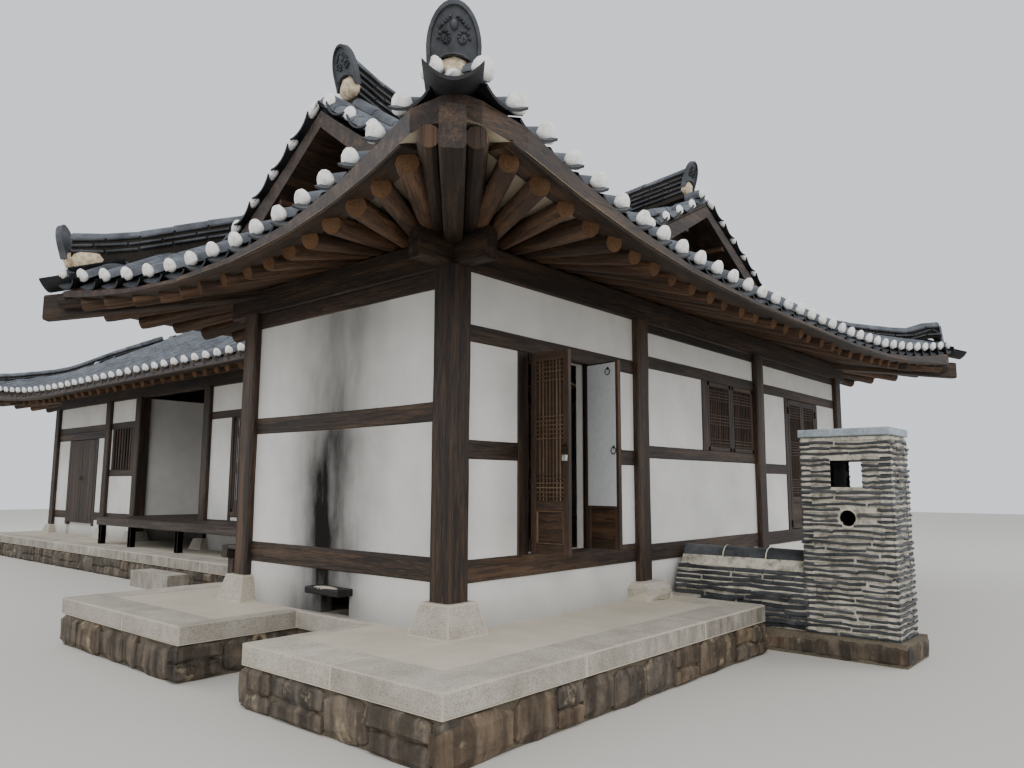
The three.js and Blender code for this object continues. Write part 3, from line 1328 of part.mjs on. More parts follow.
const plateBand = (centre, more = 0) => [centre - PLATE.out - more, centre + PLATE.out + more];
put('wall_plates', join(
  box(plateBand(END_X), [STREET_Y - PLATE.out, SMALL_BACK_Y + PLATE.out], PLATE.z),
  box([END_X, REAR_X + PLATE.out], plateBand(STREET_Y), PLATE.z),
  box(plateBand(REAR_X), [STREET_Y, FAR_Y], PLATE.z),
  box([COURT_X, REAR_X], plateBand(FAR_Y), PLATE.z),
  box(plateBand(COURT_X), [SMALL_BACK_Y, FAR_Y], PLATE.z),
  box([END_X, COURT_X], plateBand(SMALL_BACK_Y), PLATE.z),
  box(plateBand(END_X), [SMALL_BACK_Y, SMALL_BACK_Y + BEAM_END.reach], BEAM_END.z),
  box([REAR_X, REAR_X + BEAM_END.reach], plateBand(STREET_Y), BEAM_END.z),
  box(frameX, endBay, [END_TIE_BOTTOM, BEAM_BOTTOM + BITE]),
  box([COURT_X + HALF_POST + GAP, REAR_X + HALF_POST], frameX, [LONG_BEAM_BOTTOM, BEAM_BOTTOM + BITE]),
  hipRafter(ROOF_CORNERS.near),
  hipRafter(ROOF_CORNERS.left),
  hipRafter(ROOF_CORNERS.right),
), 'timber');

// The long wing's rafters are notched over its plates
put('rafters_long', carve(
  join(
    rafterComb(SIDES.court, LONG_RAFTER_SIDES, true, false),
    rafterComb(SIDES.far, LONG_RAFTER_SIDES, false, false),
    rafterComb(SIDES.rear, LONG_RAFTER_SIDES, true, false),
    hipRafter(ROOF_CORNERS.farRight),
    hipRafter(ROOF_CORNERS.farLeft),
  ),
  box(plateBand(REAR_X, GAP), [STREET_Y, FAR_Y], [BEAM_BOTTOM, PLATE_TOP + GAP]),
  box([COURT_X, REAR_X + PLATE.out + GAP], plateBand(FAR_Y, GAP), [BEAM_BOTTOM, PLATE_TOP + GAP]),
  box(plateBand(COURT_X, GAP), [SMALL_BACK_Y, FAR_Y + PLATE.out + GAP], [BEAM_BOTTOM, PLATE_TOP + GAP]),
), 'timber');

// Ridges of stacked tiles with a raised end tile

const RIDGE = { width: 210, height: 360 };
const CORNER_RIDGE = { width: 190, height: 210 };
const END_TILE = { height: 240 };
const RIDGE_LIFT = 0.97;

// A wall of tiles along a line of points, standing on the roof
function ridgeWall(points, width, heights) {
  const rows = [-1, 1].map((hand) => points.map((point, index) => {
    const before = points[Math.max(index - 1, 0)];
    const after = points[Math.min(index + 1, points.length - 1)];
    const length = Math.hypot(after.x - before.x, after.y - before.y);
    const across = [-(after.y - before.y) / length, (after.x - before.x) / length];
    return {
      x: point.x + (hand * width * across[0]) / 2,
      y: point.y + (hand * width * across[1]) / 2,
      under: point.z + RIDGE_LIFT,
      top: point.z + heights[index],
    };
  }));
  return shell([rows]);
}

// The two ends of a main ridge rise, and lie this far inside the rakes
const RIDGE_IN = 290;

function mainRidge(from, to, z, lift) {
  const shares = [0, 0.1, 0.3, 0.7, 0.9, 1];
  return {
    points: shares.map((share) => ({ x: lerp(from[0], to[0], share), y: lerp(from[1], to[1], share), z })),
    width: RIDGE.width,
    heights: shares.map((share, index) => RIDGE.height + lift[index]),
  };
}

// A corner ridge starts beside the main ridge, comes down the rake and runs out along the hip.
// Its points lie on the shells' rows, on a bed of mortar where it turns from the hip to the rake
const HIP_START = 0.17;
const RIDGE_BED = 30;
const HIP_BED = 2;
const RIDGE_SIDE_SLOPE = (SMALL_RISE - smallProfile.rise(SMALL_RUNS[3])) / (SMALL_RUN - SMALL_RUNS[3]);

function hipHeight(share, lift) {
  return EAVE_Z + lift * (1 - share) + riseToPlate(share);
}

function cornerRidge({ tip, plate, curve }, rows, upperPoints) {
  const [, firstRow] = rows;
  const hip = [HIP_START, ...rows.slice(1)].map((share) => ({
    x: lerp(tip[0], plate[0], share),
    y: lerp(tip[1], plate[1], share),
    z: share === HIP_START
      ? lerp(hipHeight(0, curve.lift), hipHeight(firstRow, curve.lift), share / firstRow)
      : hipHeight(share, curve.lift),
  }));
  const points = [...hip, ...upperPoints];
  const turn = points.length - upperPoints.filter((point) => point.onRake).length;
  points[turn - 1].z += RIDGE_BED;
  points[turn].z += RIDGE_BED;
  const heights = points.map((_, index) => CORNER_RIDGE.height + (index === 0 ? END_TILE.height : 0));
  return { points, width: CORNER_RIDGE.width, heights };
}

function wallOf(ridge) {
  return ridgeWall(ridge.points, ridge.width, ridge.heights);
}

const RAKE_CLEAR = 2;
const RAKE_IN = 300;
const COURT_RAKE_IN = CORNER_RIDGE.width / 2 + RIDGE_BED;

// Points up the small wing's rake; the last is held short of the main ridge
function smallRake(eaveY, inward) {
  return [EAVE_TO_STREET_PLATE, ...SMALL_RUNS].map((run) => {
    const held = Math.min(run, SMALL_RUN - RIDGE.width / 2 - RAKE_CLEAR);
    return {
      x: SMALL_RAKE_X + RAKE_IN,
      y: eaveY + inward * held,
      z: EAVE_Z + smallProfile.rise(run) - (run - held) * RIDGE_SIDE_SLOPE,
      onRake: true,
    };
  });
}

// Points up the long wing's rake
function longRake(eaveX, inward, rakeY, topClear) {
  return [0.15, 0.5, 1].map((share) => {
    const run = lerp(HIP_TOP_RUN, LONG_RUN - RIDGE.width / 2 - topClear, share);
    return { x: eaveX + inward * run, y: rakeY, z: EAVE_Z + longProfile.rise(run), onRake: true };
  });
}

// Points up a hip above the plate, to the foot of the rake
function hipAbovePlate(eaveX, inward, eaveY, inwardY) {
  return RUNS_TO_RAKE.map((run) => ({
    x: eaveX + inward * longRunOf(run),
    y: eaveY + inwardY * run,
    z: EAVE_Z + smallProfile.rise(run) + HIP_BED,
  }));
}

const smallRidge = mainRidge(
  [SMALL_RAKE_X + RIDGE_IN, SMALL_RIDGE_Y],
  [VALLEY_TOP_X - RIDGE.height, SMALL_RIDGE_Y],
  SMALL_RIDGE_Z,
  [180, 60, 0, 0, 0, 0],
);
const longRidge = mainRidge(
  [LONG_RIDGE_X, LONG_RAKE_Y + RIDGE_IN],
  [LONG_RIDGE_X, FAR_RAKE_Y - RIDGE_IN],
  LONG_RIDGE_Z,
  [180, 60, 0, 0, 60, 180],
);
const nearRidge = cornerRidge(ROOF_CORNERS.near, rakeRows.slice(0, 3), smallRake(STREET_EAVE_Y, 1));
const leftRidge = cornerRidge(ROOF_CORNERS.left, rakeRows.slice(0, 3), smallRake(SMALL_BACK_EAVE_Y, -1));
const rightRidge = cornerRidge(ROOF_CORNERS.right, LOWER_ROWS, [
  ...hipAbovePlate(REAR_EAVE_X, -1, STREET_EAVE_Y, 1),
  ...longRake(REAR_EAVE_X, -1, LONG_RAKE_Y + RAKE_IN, RAKE_CLEAR),
]);
const farRightRidge = cornerRidge(ROOF_CORNERS.farRight, LOWER_ROWS, [
  ...hipAbovePlate(REAR_EAVE_X, -1, FAR_EAVE_Y, -1),
  ...longRake(REAR_EAVE_X, -1, FAR_RAKE_Y - RAKE_IN, -RAKE_CLEAR),
]);
const farLeftRidge = cornerRidge(ROOF_CORNERS.farLeft, LOWER_ROWS, [
  ...hipAbovePlate(COURT_EAVE_X, 1, FAR_EAVE_Y, -1),
  ...longRake(COURT_EAVE_X, 1, FAR_RAKE_Y - RAKE_IN, -RAKE_CLEAR),
]);
const courtRidge = {
  points: longRake(COURT_EAVE_X, 1, LONG_RAKE_Y + COURT_RAKE_IN, RAKE_CLEAR),
  width: CORNER_RIDGE.width,
  heights: [CORNER_RIDGE.height + END_TILE.height, CORNER_RIDGE.height, CORNER_RIDGE.height],
};

put('ridge_small', wallOf(smallRidge), 'tile');
put('ridge_long', join(wallOf(longRidge), wallOf(farRightRidge), wallOf(farLeftRidge)), 'tile');
put('corner_ridge_near', wallOf(nearRidge), 'tile');
put('corner_ridge_left', wallOf(leftRidge), 'tile');
put('corner_ridge_right', wallOf(rightRidge), 'tile');
put('rake_ridge_court', wallOf(courtRidge), 'tile');

// Rows of round tiles down the long wing's two slopes, one low rib each

const RIB = { foot: 75, crest: 25, sunk: 40, high: 83 };
const RIB_CLEAR = 5;
const RIB_SAG = 12;
const RIB_STEP = 40;
const RIB_SHORTEST = 240;
const ABOVE_ROOF = 9000;
const COURT_ROWS = { first: -200, last: 15980, count: 54 };
const REAR_ROWS = { first: -1380, last: 15980, count: 58 };

// Places down a row where the slope lies under it, with the slope's height there
function underRow(slope, y) {
  const places = [];
  for (let x = TIP_COURT; x <= TIP_REAR; x += RIB_STEP) {
    const down = new THREE.Raycaster(new THREE.Vector3(x, y, ABOVE_ROOF), new THREE.Vector3(0, 0, -1));
    const [hit] = down.intersectObject(slope);
    if (hit) {
      places.push({ x, z: hit.point.z });
    }
  }
  return places;
}

// A row bends once where it must; its two ends run on, to be trimmed to the slope's outline
function ribLine(places) {
  const first = places[0];
  const last = places[places.length - 1];
  const bend = [...places].sort((a, b) => offChord(b, first, last) - offChord(a, first, last))[0];
  const line = [first, ...(offChord(bend, first, last) > RIB_SAG ? [bend] : []), last];
  return [extended(line[1], first), ...line.slice(1, -1), extended(line[line.length - 2], last)];
}

function offChord(place, first, last) {
  const chord = lerp(first.z, last.z, (place.x - first.x) / (last.x - first.x));
  return Math.abs(place.z - chord);
}

function extended(from, to) {
  const share = 1 + (2 * RIB_STEP) / Math.abs(to.x - from.x);
  return { x: lerp(from.x, to.x, share), z: lerp(from.z, to.z, share) };
}

function ribs(slopeShape, { first, last, count }) {
  const slope = new THREE.Mesh(slopeShape);
  const positions = [];
  const triangles = [];
  for (let row = 0; row < count; row += 1) {
    const y = lerp(first, last, row / (count - 1));
    const places = underRow(slope, y);
    if (places.length * RIB_STEP >= RIB_SHORTEST) {
      addRib(ribLine(places), y, positions, triangles);
    }
  }
  const geometry = new THREE.BufferGeometry();
  geometry.setAttribute('position', new THREE.BufferAttribute(new Float32Array(positions), 3));
  geometry.setIndex(triangles);
  return geometry;
}

// One rib, four corners wide at each point of its line
function addRib(line, y, positions, triangles) {
  const start = positions.length / 3;
  line.forEach(({ x, z }) => {
    positions.push(x, y - RIB.foot, z - RIB.sunk, x, y - RIB.crest, z + RIB.high);
    positions.push(x, y + RIB.crest, z + RIB.high, x, y + RIB.foot, z - RIB.sunk);
  });
  const end = start + 4 * (line.length - 1);
  triangles.push(start, start + 1, start + 2, start, start + 2, start + 3);
  triangles.push(end, end + 2, end + 1, end, end + 3, end + 2);
  for (let section = start; section < end; section += 4) {
    for (let corner = 0; corner < 4; corner += 1) {
      const next = (corner + 1) % 4;
      triangles.push(section + corner, section + corner + 4, section + next + 4);
      triangles.push(section + corner, section + next + 4, section + next);
    }
  }
}

// The room that a ridge needs among the ribs, a little longer than the ridge at its two ends
function roomOf(ridge) {
  const points = ridge.points.map((point) => ({ ...point, z: point.z - 2 * RIB.sunk }));
  moveAway(points[0], points[1]);
  moveAway(points[points.length - 1], points[points.length - 2]);
  return ridgeWall(points, ridge.width + 2 * GAP, ridge.heights.map((height) => height + ABOVE_ROOF / 2));
}

function moveAway(point, other) {
  const share = GAP / Math.hypot(point.x - other.x, point.y - other.y);
  point.x += (point.x - other.x) * share;
  point.y += (point.y - other.y) * share;
}

function ribbedSlope(grids, rows, ridges) {
  const slope = shell(grids);
  const raised = grids.map((grid) => grid.map((row) => row.map((vertex) => (
    { ...vertex, top: vertex.top + RIB.high + RIB_CLEAR }
  ))));
  return join(slope, carve(keepInside(ribs(slope, rows), shell(raised)), ...ridges.map(roomOf)));
}

put('roof_long_court', ribbedSlope(courtSlope, COURT_ROWS, [longRidge, farLeftRidge, courtRidge]), 'tile');
put('roof_long_rear', ribbedSlope(rearSlope, REAR_ROWS, [longRidge, farRightRidge, rightRidge]), 'tile');

// Chimney: rough stone base, tower of stacked tiles with smoke holes, and the low flue from the wall

const TOWER = { x: [3100, 3600], y: [-1980, -1255], top: 1840 };
const CHIMNEY_BASE = { margin: 70, top: 180 };
const SMOKE_HOLE = { y: [-1760, -1500], z: [1413, 1640] };
const ROUND_HOLE = { y: -1629, z: 1153, radius: 68, deep: 200, sides: 12 };
const CAP = { margin: 15, thick: 70 };
const FLUE = { x: [3120, 3560], bulge: 40, y: [TOWER.y[1] + GAP, -2], shoulder: 480, top: 760, ridge: 220 };

put('chimney_base', box(
  [TOWER.x[0] - CHIMNEY_BASE.margin, TOWER.x[1] + CHIMNEY_BASE.margin],
  [TOWER.y[0] - CHIMNEY_BASE.margin, -STREET_MARGIN - GAP],
  [0, CHIMNEY_BASE.top - GAP],
), 'rubble');

const roundHole = new THREE.CylinderGeometry(
  ROUND_HOLE.radius,
  ROUND_HOLE.radius,
  2 * ROUND_HOLE.deep,
  ROUND_HOLE.sides,
);
roundHole.rotateZ(Math.PI / 2);
roundHole.translate(TOWER.x[0], ROUND_HOLE.y, ROUND_HOLE.z);
put('chimney_tower', carve(
  box(TOWER.x, TOWER.y, [CHIMNEY_BASE.top, TOWER.top]),
  box([TOWER.x[0] - BITE, TOWER.x[1] + BITE], SMOKE_HOLE.y, SMOKE_HOLE.z),
  roundHole,
), 'tileStack');
put('chimney_cap', box(
  [TOWER.x[0] - CAP.margin, TOWER.x[1] + CAP.margin],
  [TOWER.y[0] - CAP.margin, TOWER.y[1] + CAP.margin],
  [TOWER.top + GAP, TOWER.top + CAP.thick],
), 'tileStack');

const flueMiddle = (FLUE.x[0] + FLUE.x[1]) / 2;
const flueOutline = [
  [FLUE.x[0], CHIMNEY_BASE.top],
  [FLUE.x[1], CHIMNEY_BASE.top],
  [FLUE.x[1] + FLUE.bulge, FLUE.shoulder],
  [FLUE.x[1] - FLUE.bulge, FLUE.top - FLUE.ridge / 2],
  [flueMiddle + FLUE.ridge / 2, FLUE.top],
  [flueMiddle - FLUE.ridge / 2, FLUE.top],
  [FLUE.x[0] + FLUE.bulge, FLUE.top - FLUE.ridge / 2],
  [FLUE.x[0] - FLUE.bulge, FLUE.shoulder],
];
const flueBody = uprightPrism(flueOutline, 'y', FLUE.y[0], FLUE.y[1]);
put('flue', carve(flueBody, box(
  [FLUE.x[0] - POST, FLUE.x[1] + POST],
  [-STREET_MARGIN - GAP, BITE],
  [0, PLATFORM + GAP],
)), 'tileStack');

export default house;
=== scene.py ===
import math

import bpy
import numpy as np
from mathutils import Matrix, Vector
from mathutils.bvhtree import BVHTree


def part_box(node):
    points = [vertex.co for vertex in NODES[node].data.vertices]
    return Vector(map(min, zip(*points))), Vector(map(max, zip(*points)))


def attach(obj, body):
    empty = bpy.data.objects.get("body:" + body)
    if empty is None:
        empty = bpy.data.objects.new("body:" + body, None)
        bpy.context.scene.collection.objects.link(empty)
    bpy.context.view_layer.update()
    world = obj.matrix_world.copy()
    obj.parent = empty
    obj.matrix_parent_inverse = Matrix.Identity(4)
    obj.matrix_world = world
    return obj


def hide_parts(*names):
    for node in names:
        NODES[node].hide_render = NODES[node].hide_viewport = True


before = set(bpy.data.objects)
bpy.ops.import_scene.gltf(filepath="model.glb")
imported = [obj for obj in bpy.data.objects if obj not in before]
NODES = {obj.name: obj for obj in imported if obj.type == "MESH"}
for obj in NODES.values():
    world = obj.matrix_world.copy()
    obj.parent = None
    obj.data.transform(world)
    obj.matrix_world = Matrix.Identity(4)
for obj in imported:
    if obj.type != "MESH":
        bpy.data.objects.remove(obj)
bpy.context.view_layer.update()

bl_info = {
    "name": "Hanok House",
    "version": (1, 0, 0),
    "blender": (4, 5, 0),
    "location": "View3D > Sidebar > Hanok",
    "description": "Dresses the frame of a hanok house with tiles, timber, plaster and stone",
    "category": "Object",
}

UP = Vector((0, 0, 1))


def linear(code):
    """A linear colour with alpha, from an sRGB hex value."""
    parts = [int(code[i:i + 2], 16) / 255 for i in (1, 3, 5)]
    return tuple(c / 12.92 if c <= 0.04045 else ((c + 0.055) / 1.055) ** 2.4 for c in parts) + (1.0,)


# Sizes and colours that a user would change

class RoofSizes(bpy.types.PropertyGroup):
    row_pitch: bpy.props.FloatProperty(
        name="Row pitch", description="Distance between two rows of round tiles",
        default=0.307, unit="LENGTH")
    round_radius: bpy.props.FloatProperty(
        name="Round tile radius", description="Outer radius of a round tile",
        default=0.076, unit="LENGTH")
    round_length: bpy.props.FloatProperty(
        name="Round tile length", description="Length of a round tile that shows",
        default=0.30, unit="LENGTH")
    flat_step: bpy.props.FloatProperty(
        name="Flat tile step", description="Length of a flat tile that shows below the next one",
        default=0.13, unit="LENGTH")
    tile_thick: bpy.props.FloatProperty(
        name="Tile thickness", description="Thickness of a tile's shell",
        default=0.018, unit="LENGTH")
    sag: bpy.props.FloatProperty(
        name="Flat tile sag", description="Depth of a flat tile's hollow",
        default=0.052, unit="LENGTH")
    lip: bpy.props.FloatProperty(
        name="Eave lip", description="How far the lowest flat tile stands out beyond the eave",
        default=0.008, unit="LENGTH")


class FinishColours(bpy.types.PropertyGroup):
    timber: bpy.props.FloatVectorProperty(
        name="Timber", description="Middle tone of the oiled pine of posts and beams",
        subtype="COLOR", default=linear("#2f2218")[:3])
    plaster: bpy.props.FloatVectorProperty(
        name="Plaster", description="Lime plaster of the walls",
        subtype="COLOR", default=(0.76, 0.74, 0.70))
    tile: bpy.props.FloatVectorProperty(
        name="Tile", description="Light tone of the fired grey round tiles",
        subtype="COLOR", default=linear("#6a6f76")[:3])


# Meshes

def unit_box():
    """Corner signs and faces of a box with every edge cut off."""
    corners = []
    for corner in range(8):
        for axis in range(3):
            bits = [corner >> k & 1 for k in range(3)]
            corners.append([(bits[k] * 2 - 1, 0 if k == axis else 1) for k in range(3)])
    signs = np.array([[c[0] for c in v] for v in corners], float)
    cut = np.array([[c[1] for c in v] for v in corners], float)
    points = signs - 0.2 * signs * cut
    faces = []
    for axis in range(3):
        b, d = (axis + 1) % 3, (axis + 2) % 3
        for side in (0, 1):
            loop = [(side << axis) | (i << b) | (j << d) for i, j in ((0, 0), (1, 0), (1, 1), (0, 1))]
            faces.append([3 * c + axis for c in loop])
        for i in (0, 1):
            for j in (0, 1):
                low = (i << b) | (j << d)
                high = low | (1 << axis)
                faces.append([3 * low + b, 3 * high + b, 3 * high + d, 3 * low + d])
    faces += [[3 * c, 3 * c + 1, 3 * c + 2] for c in range(8)]
    turned = []
    for face in faces:
        p = points[face]
        normal = np.cross(p[1] - p[0], p[2] - p[0])
        turned.append(face if normal @ p.mean(0) > 0 else face[::-1])
    return signs, cut, turned


BOX_SIGNS, BOX_CUT, BOX_FACES = unit_box()


class Pile:
    """Vertices and faces of one piece, with grain coordinates: along the fibre, then across it."""

    def __init__(self):
        self.points = []
        self.grain = []
        self.faces = []
        self.slots = []
        self.count = 0

    def add(self, points, faces, grain=None, slot=0):
        points = np.asarray(points, float)
        self.points.append(points)
        self.grain.append(points if grain is None else np.asarray(grain, float))
        self.faces += [[i + self.count for i in face] for face in faces]
        self.slots += [slot] * len(faces)
        self.count += len(points)

    def box(self, low, high, chamfer=0.005, axis=None, turn=None, slot=0):
        low, high = np.array(low, float), np.array(high, float)
        size = high - low
        axis = int(size.argmax()) if axis is None else axis
        chamfer = min(chamfer, size.min() / 3)
        points = (low + high) / 2 + BOX_SIGNS * size / 2 - BOX_SIGNS * BOX_CUT * chamfer
        grain = np.roll(points, -axis, axis=1) + DICE.uniform(-20, 20, 3)
        if turn is not None:
            points = points @ np.array(turn.to_3x3()).T + np.array(turn.translation)
        self.add(points, BOX_FACES, grain, slot)

    def piece(self, name, finishes, body="root", slot=None, replaces=(), smooth=False):
        """Makes the object. Its finishes are short names, in the order of the faces' slots."""
        mesh = bpy.data.meshes.new(name)
        mesh.from_pydata(np.concatenate(self.points), [], self.faces)
        attribute = mesh.attributes.new("grain", "FLOAT_VECTOR", "POINT")
        attribute.data.foreach_set("vector", np.concatenate(self.grain).astype(np.float32).ravel())
        for short_name in finishes:
            mesh.materials.append(M[short_name])
        mesh.polygons.foreach_set("material_index", np.array(self.slots, np.int32))
        mesh.polygons.foreach_set("use_smooth", np.full(len(self.faces), smooth))
        mesh.update()
        made = bpy.data.objects.new(name, mesh)
        bpy.context.scene.collection.objects.link(made)
        if smooth:
            mesh.set_sharp_from_angle(angle=math.radians(40))
        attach(made, body)
        if replaces:
            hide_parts(*replaces)
        return made


DICE = np.random.default_rng(11)


def ring_faces(rings, around, closed=False):
    """Quads between rings of points, each with the same count."""
    faces = []
    last = around if closed else around - 1
    for ring in range(rings - 1):
        for k in range(last):
            a = ring * around + k
            b = ring * around + (k + 1) % around
            faces.append([a, b, b + around, a + around])
    return faces


def bridge(first, second, around):
    """Quads between two open rows of points, by the numbers of their first points."""
    return [[first + k, first + k + 1, second + k + 1, second + k] for k in range(around - 1)]


def rod_faces(rings, around):
    """The faces of a closed rod of rings: its sides and both ends."""
    faces = ring_faces(rings, around, closed=True)
    return faces + [list(range(around))[::-1], list(range((rings - 1) * around, rings * around))]


def facing(points, faces, way, probe=0):
    """The faces, all turned round if the one numbered probe looks away from way."""
    a, b, c = (np.array(points[i]) for i in faces[probe][:3])
    return faces if np.cross(b - a, c - a) @ np.array(way) >= 0 else [face[::-1] for face in faces]


def wrap(pile, points, centre, rings, around, slot=0):
    """Adds a closed lump of rings of points about a centre, with its faces outwards."""
    faces = rod_faces(rings, around)
    probe = around + 1
    pile.add(points, facing(points, faces, points[faces[probe][0]] - centre, probe), None, slot)


def upright(a, b):
    """The normal of two directions, on its upper side."""
    normal = a.cross(b)
    return normal if normal.z > 0 else -normal


def ways(line):
    """The direction at each point of a line, from the point before it to the one after it."""
    return [after - before for before, after in zip([line[0]] + line[:-1], line[1:] + [line[-1]])]


def across_of(line):
    """The level direction across a line at each of its points."""
    return [Vector((-way.y, way.x, 0)).normalized() for way in ways(line)]


class Surface:
    """The upper faces of a CAD node, read by rays straight down."""

    def __init__(self, name):
        mesh = NODES[name].data
        points = [v.co.copy() for v in mesh.vertices]
        self.tree = BVHTree.FromPolygons(points, [list(p.vertices) for p in mesh.polygons])

    def top(self, x, y):
        hit = self.tree.ray_cast(Vector((x, y, 20)), -UP)[0]
        return None if hit is None else hit.z


# Finishes

def per_metre(millimetres):
    """A pattern's scale, from the real size of one of its features."""
    return 1000 / millimetres


def feed(tree, node, inputs):
    """Sets a node's inputs. Each is a socket, a node for its first output, a hex colour or a value."""
    for key, value in inputs.items():
        if isinstance(value, bpy.types.Node):
            value = value.outputs[0]
        if isinstance(value, bpy.types.NodeSocket):
            tree.links.new(value, node.inputs[key])
        else:
            node.inputs[key].default_value = linear(value) if isinstance(value, str) else value


def add(tree, kind, *inputs, stops=(), **named):
    """Adds a node. Its inputs come in their order or by name, and its settings in small letters.

    A ramp's stops are pairs of place and colour, first and last before those between them.
    """
    made = tree.nodes.new("ShaderNode" + kind)
    for index, (place, colour) in enumerate(stops):
        stop = made.color_ramp.elements[index] if index < 2 else made.color_ramp.elements.new(place)
        stop.position = place
        stop.color = linear(colour) if isinstance(colour, str) else colour
    wired = dict(enumerate(inputs))
    for key, value in named.items():
        if key[0].isupper():
            wired[key] = value
        else:
            setattr(made, key, value)
    feed(tree, made, wired)
    return made


def finish(name, roughness, specular=0.4, metallic=0.0):
    """A material with its shader, ready for colour and bump."""
    material = bpy.data.materials.new(name)
    material.use_nodes = True
    tree = material.node_tree
    tree.nodes.clear()
    shader = add(tree, "BsdfPrincipled", Roughness=roughness, Metallic=metallic)
    shader.inputs["Specular IOR Level"].default_value = specular
    add(tree, "OutputMaterial", Surface=shader)
    return material, tree, shader


def connect(tree, shader, colour, height, strength, distance):
    """Gives the shader its colour, and a bump of that height in metres."""
    bump = add(tree, "Bump", Strength=strength, Distance=distance, Height=height)
    feed(tree, shader, {"Base Color": colour, "Normal": bump})


WHITE, BLACK = (1, 1, 1, 1), (0, 0, 0, 1)


# Oiled pine gone brown with age: long fibres, dark checks, and every timber a little different
def pine(name, dark, mid, light, check=0.55, fibre_mm=7):
    material, tree, shader = finish(name, 0.62)
    grain = add(tree, "Attribute", attribute_name="grain").outputs["Vector"]
    island = add(tree, "NewGeometry").outputs["Random Per Island"]
    long = add(tree, "Mapping", Vector=grain, Scale=(0.06, 1, 1))
    fibres = add(tree, "TexNoise", Vector=long, Scale=per_metre(fibre_mm), Detail=3, Roughness=0.65)
    broad = add(tree, "TexNoise", Vector=long, Scale=per_metre(90), Detail=4, Roughness=0.6)
    blend = add(tree, "MixRGB", 0.75, broad, fibres, blend_type="OVERLAY")
    tone = add(tree, "ValToRGB", blend, stops=[(0.28, dark), (0.72, light), (0.5, mid)])
    checks = add(tree, "TexNoise", Vector=long, Scale=per_metre(28), Detail=1, Distortion=0.4)
    crack = add(tree, "ValToRGB", checks, stops=[(check, WHITE), (check + 0.03, (0.25, 0.2, 0.18, 1))])
    cracked = add(tree, "MixRGB", 0.6, tone, crack, blend_type="MULTIPLY")
    shade = add(tree, "MapRange", island, 0, 1, 0.8, 1.22)
    varied = add(tree, "HueSaturation", Value=shade, Color=cracked)
    height = add(tree, "Math", fibres, crack, operation="ADD")
    connect(tree, shader, varied, height, 0.5, 0.004)
    return material


# Lime plaster, trowelled by hand: soft patches, fine grit, and rain dirt towards its foot
def lime_plaster(name, colour, foot, soot=None):
    material, tree, shader = finish(name, 0.92, 0.2)
    place = add(tree, "TexCoord").outputs["Object"]
    patches = add(tree, "TexNoise", Vector=place, Scale=per_metre(700), Detail=6, Roughness=0.6)
    grit = add(tree, "TexNoise", Vector=place, Scale=per_metre(12), Detail=4, Roughness=0.7)
    shaded = tuple(c * 0.8 for c in colour[:3]) + (1,)
    tone = add(tree, "ValToRGB", patches, stops=[(0.3, shaded), (0.65, colour)])
    split = add(tree, "SeparateXYZ", place)
    rise = add(tree, "MapRange", split.outputs["Z"], foot, foot + 0.22, 1, 0)
    speck = add(tree, "Math", rise, grit, operation="MULTIPLY")
    result = add(tree, "MixRGB", speck, tone, "#8b8983")
    if soot:
        result = smoke_stain(tree, place, split, result, soot)
    height = add(tree, "Math", patches, 3.0, grit, operation="MULTIPLY_ADD")
    connect(tree, shader, result, height, 0.35, 0.004)
    return material


def smoke_stain(tree, place, split, colour, soot):
    """Soot that rises from soot["y"]: black and streaked in the middle, soft towards its sides and top."""
    lean = add(tree, "Math", split.outputs["Z"], soot["lean"], split.outputs["Y"], operation="MULTIPLY_ADD")
    away = add(tree, "Math", lean, soot["y"], operation="SUBTRACT")
    drift = add(tree, "TexNoise", Vector=place, Scale=per_metre(450), Detail=3)
    moved = add(tree, "Math", drift, 0.30, away, operation="MULTIPLY_ADD")
    wide = add(tree, "Math", moved, soot["half_width"], operation="DIVIDE")
    square = add(tree, "Math", wide, 2.0, operation="POWER")
    falling = add(tree, "Math", square, -1.0, operation="MULTIPLY")
    bell = add(tree, "Math", falling, operation="EXPONENT")
    tall = add(tree, "Mapping", Vector=place, Scale=(1, 1, 0.25))
    streaks = add(tree, "TexNoise", Vector=tall, Scale=per_metre(170), Detail=6, Roughness=0.55)
    streaked = add(tree, "MapRange", streaks, 0.30, 0.66, 0.84, 1.2)
    rise = add(tree, "MapRange", split.outputs["Z"], 0.4, 2.9)
    fade = ((0.0, 0.85), (1.0, 0.6), (0.2, 1.0), (0.34, 0.95), (0.56, 0.84), (0.66, 0.68), (0.86, 0.56))
    strength = add(tree, "ValToRGB", rise, stops=[(at, (v, v, v, 1)) for at, v in fade])
    shaped = add(tree, "Math", bell, streaked, operation="MULTIPLY")
    amount = add(tree, "Math", shaped, strength, operation="MULTIPLY", use_clamp=True)
    return add(tree, "MixRGB", amount, colour, "#171412")


# White lime mortar pressed in by hand: lumpy, with dark pores and grey weathering
def lime_mortar(name, light, dark, lump_mm=22, bump=0.006, hollow=None):
    material, tree, shader = finish(name, 0.95, 0.2)
    place = add(tree, "TexCoord").outputs["Object"]
    lumps = add(tree, "TexNoise", Vector=place, Scale=per_metre(lump_mm), Detail=5, Roughness=0.7)
    colour = add(tree, "ValToRGB", lumps, stops=[(0.33, dark), (0.55, light)])
    if hollow:
        colour = blackened(tree, place, colour, hollow)
    connect(tree, shader, colour, lumps, 0.7, bump)
    return material


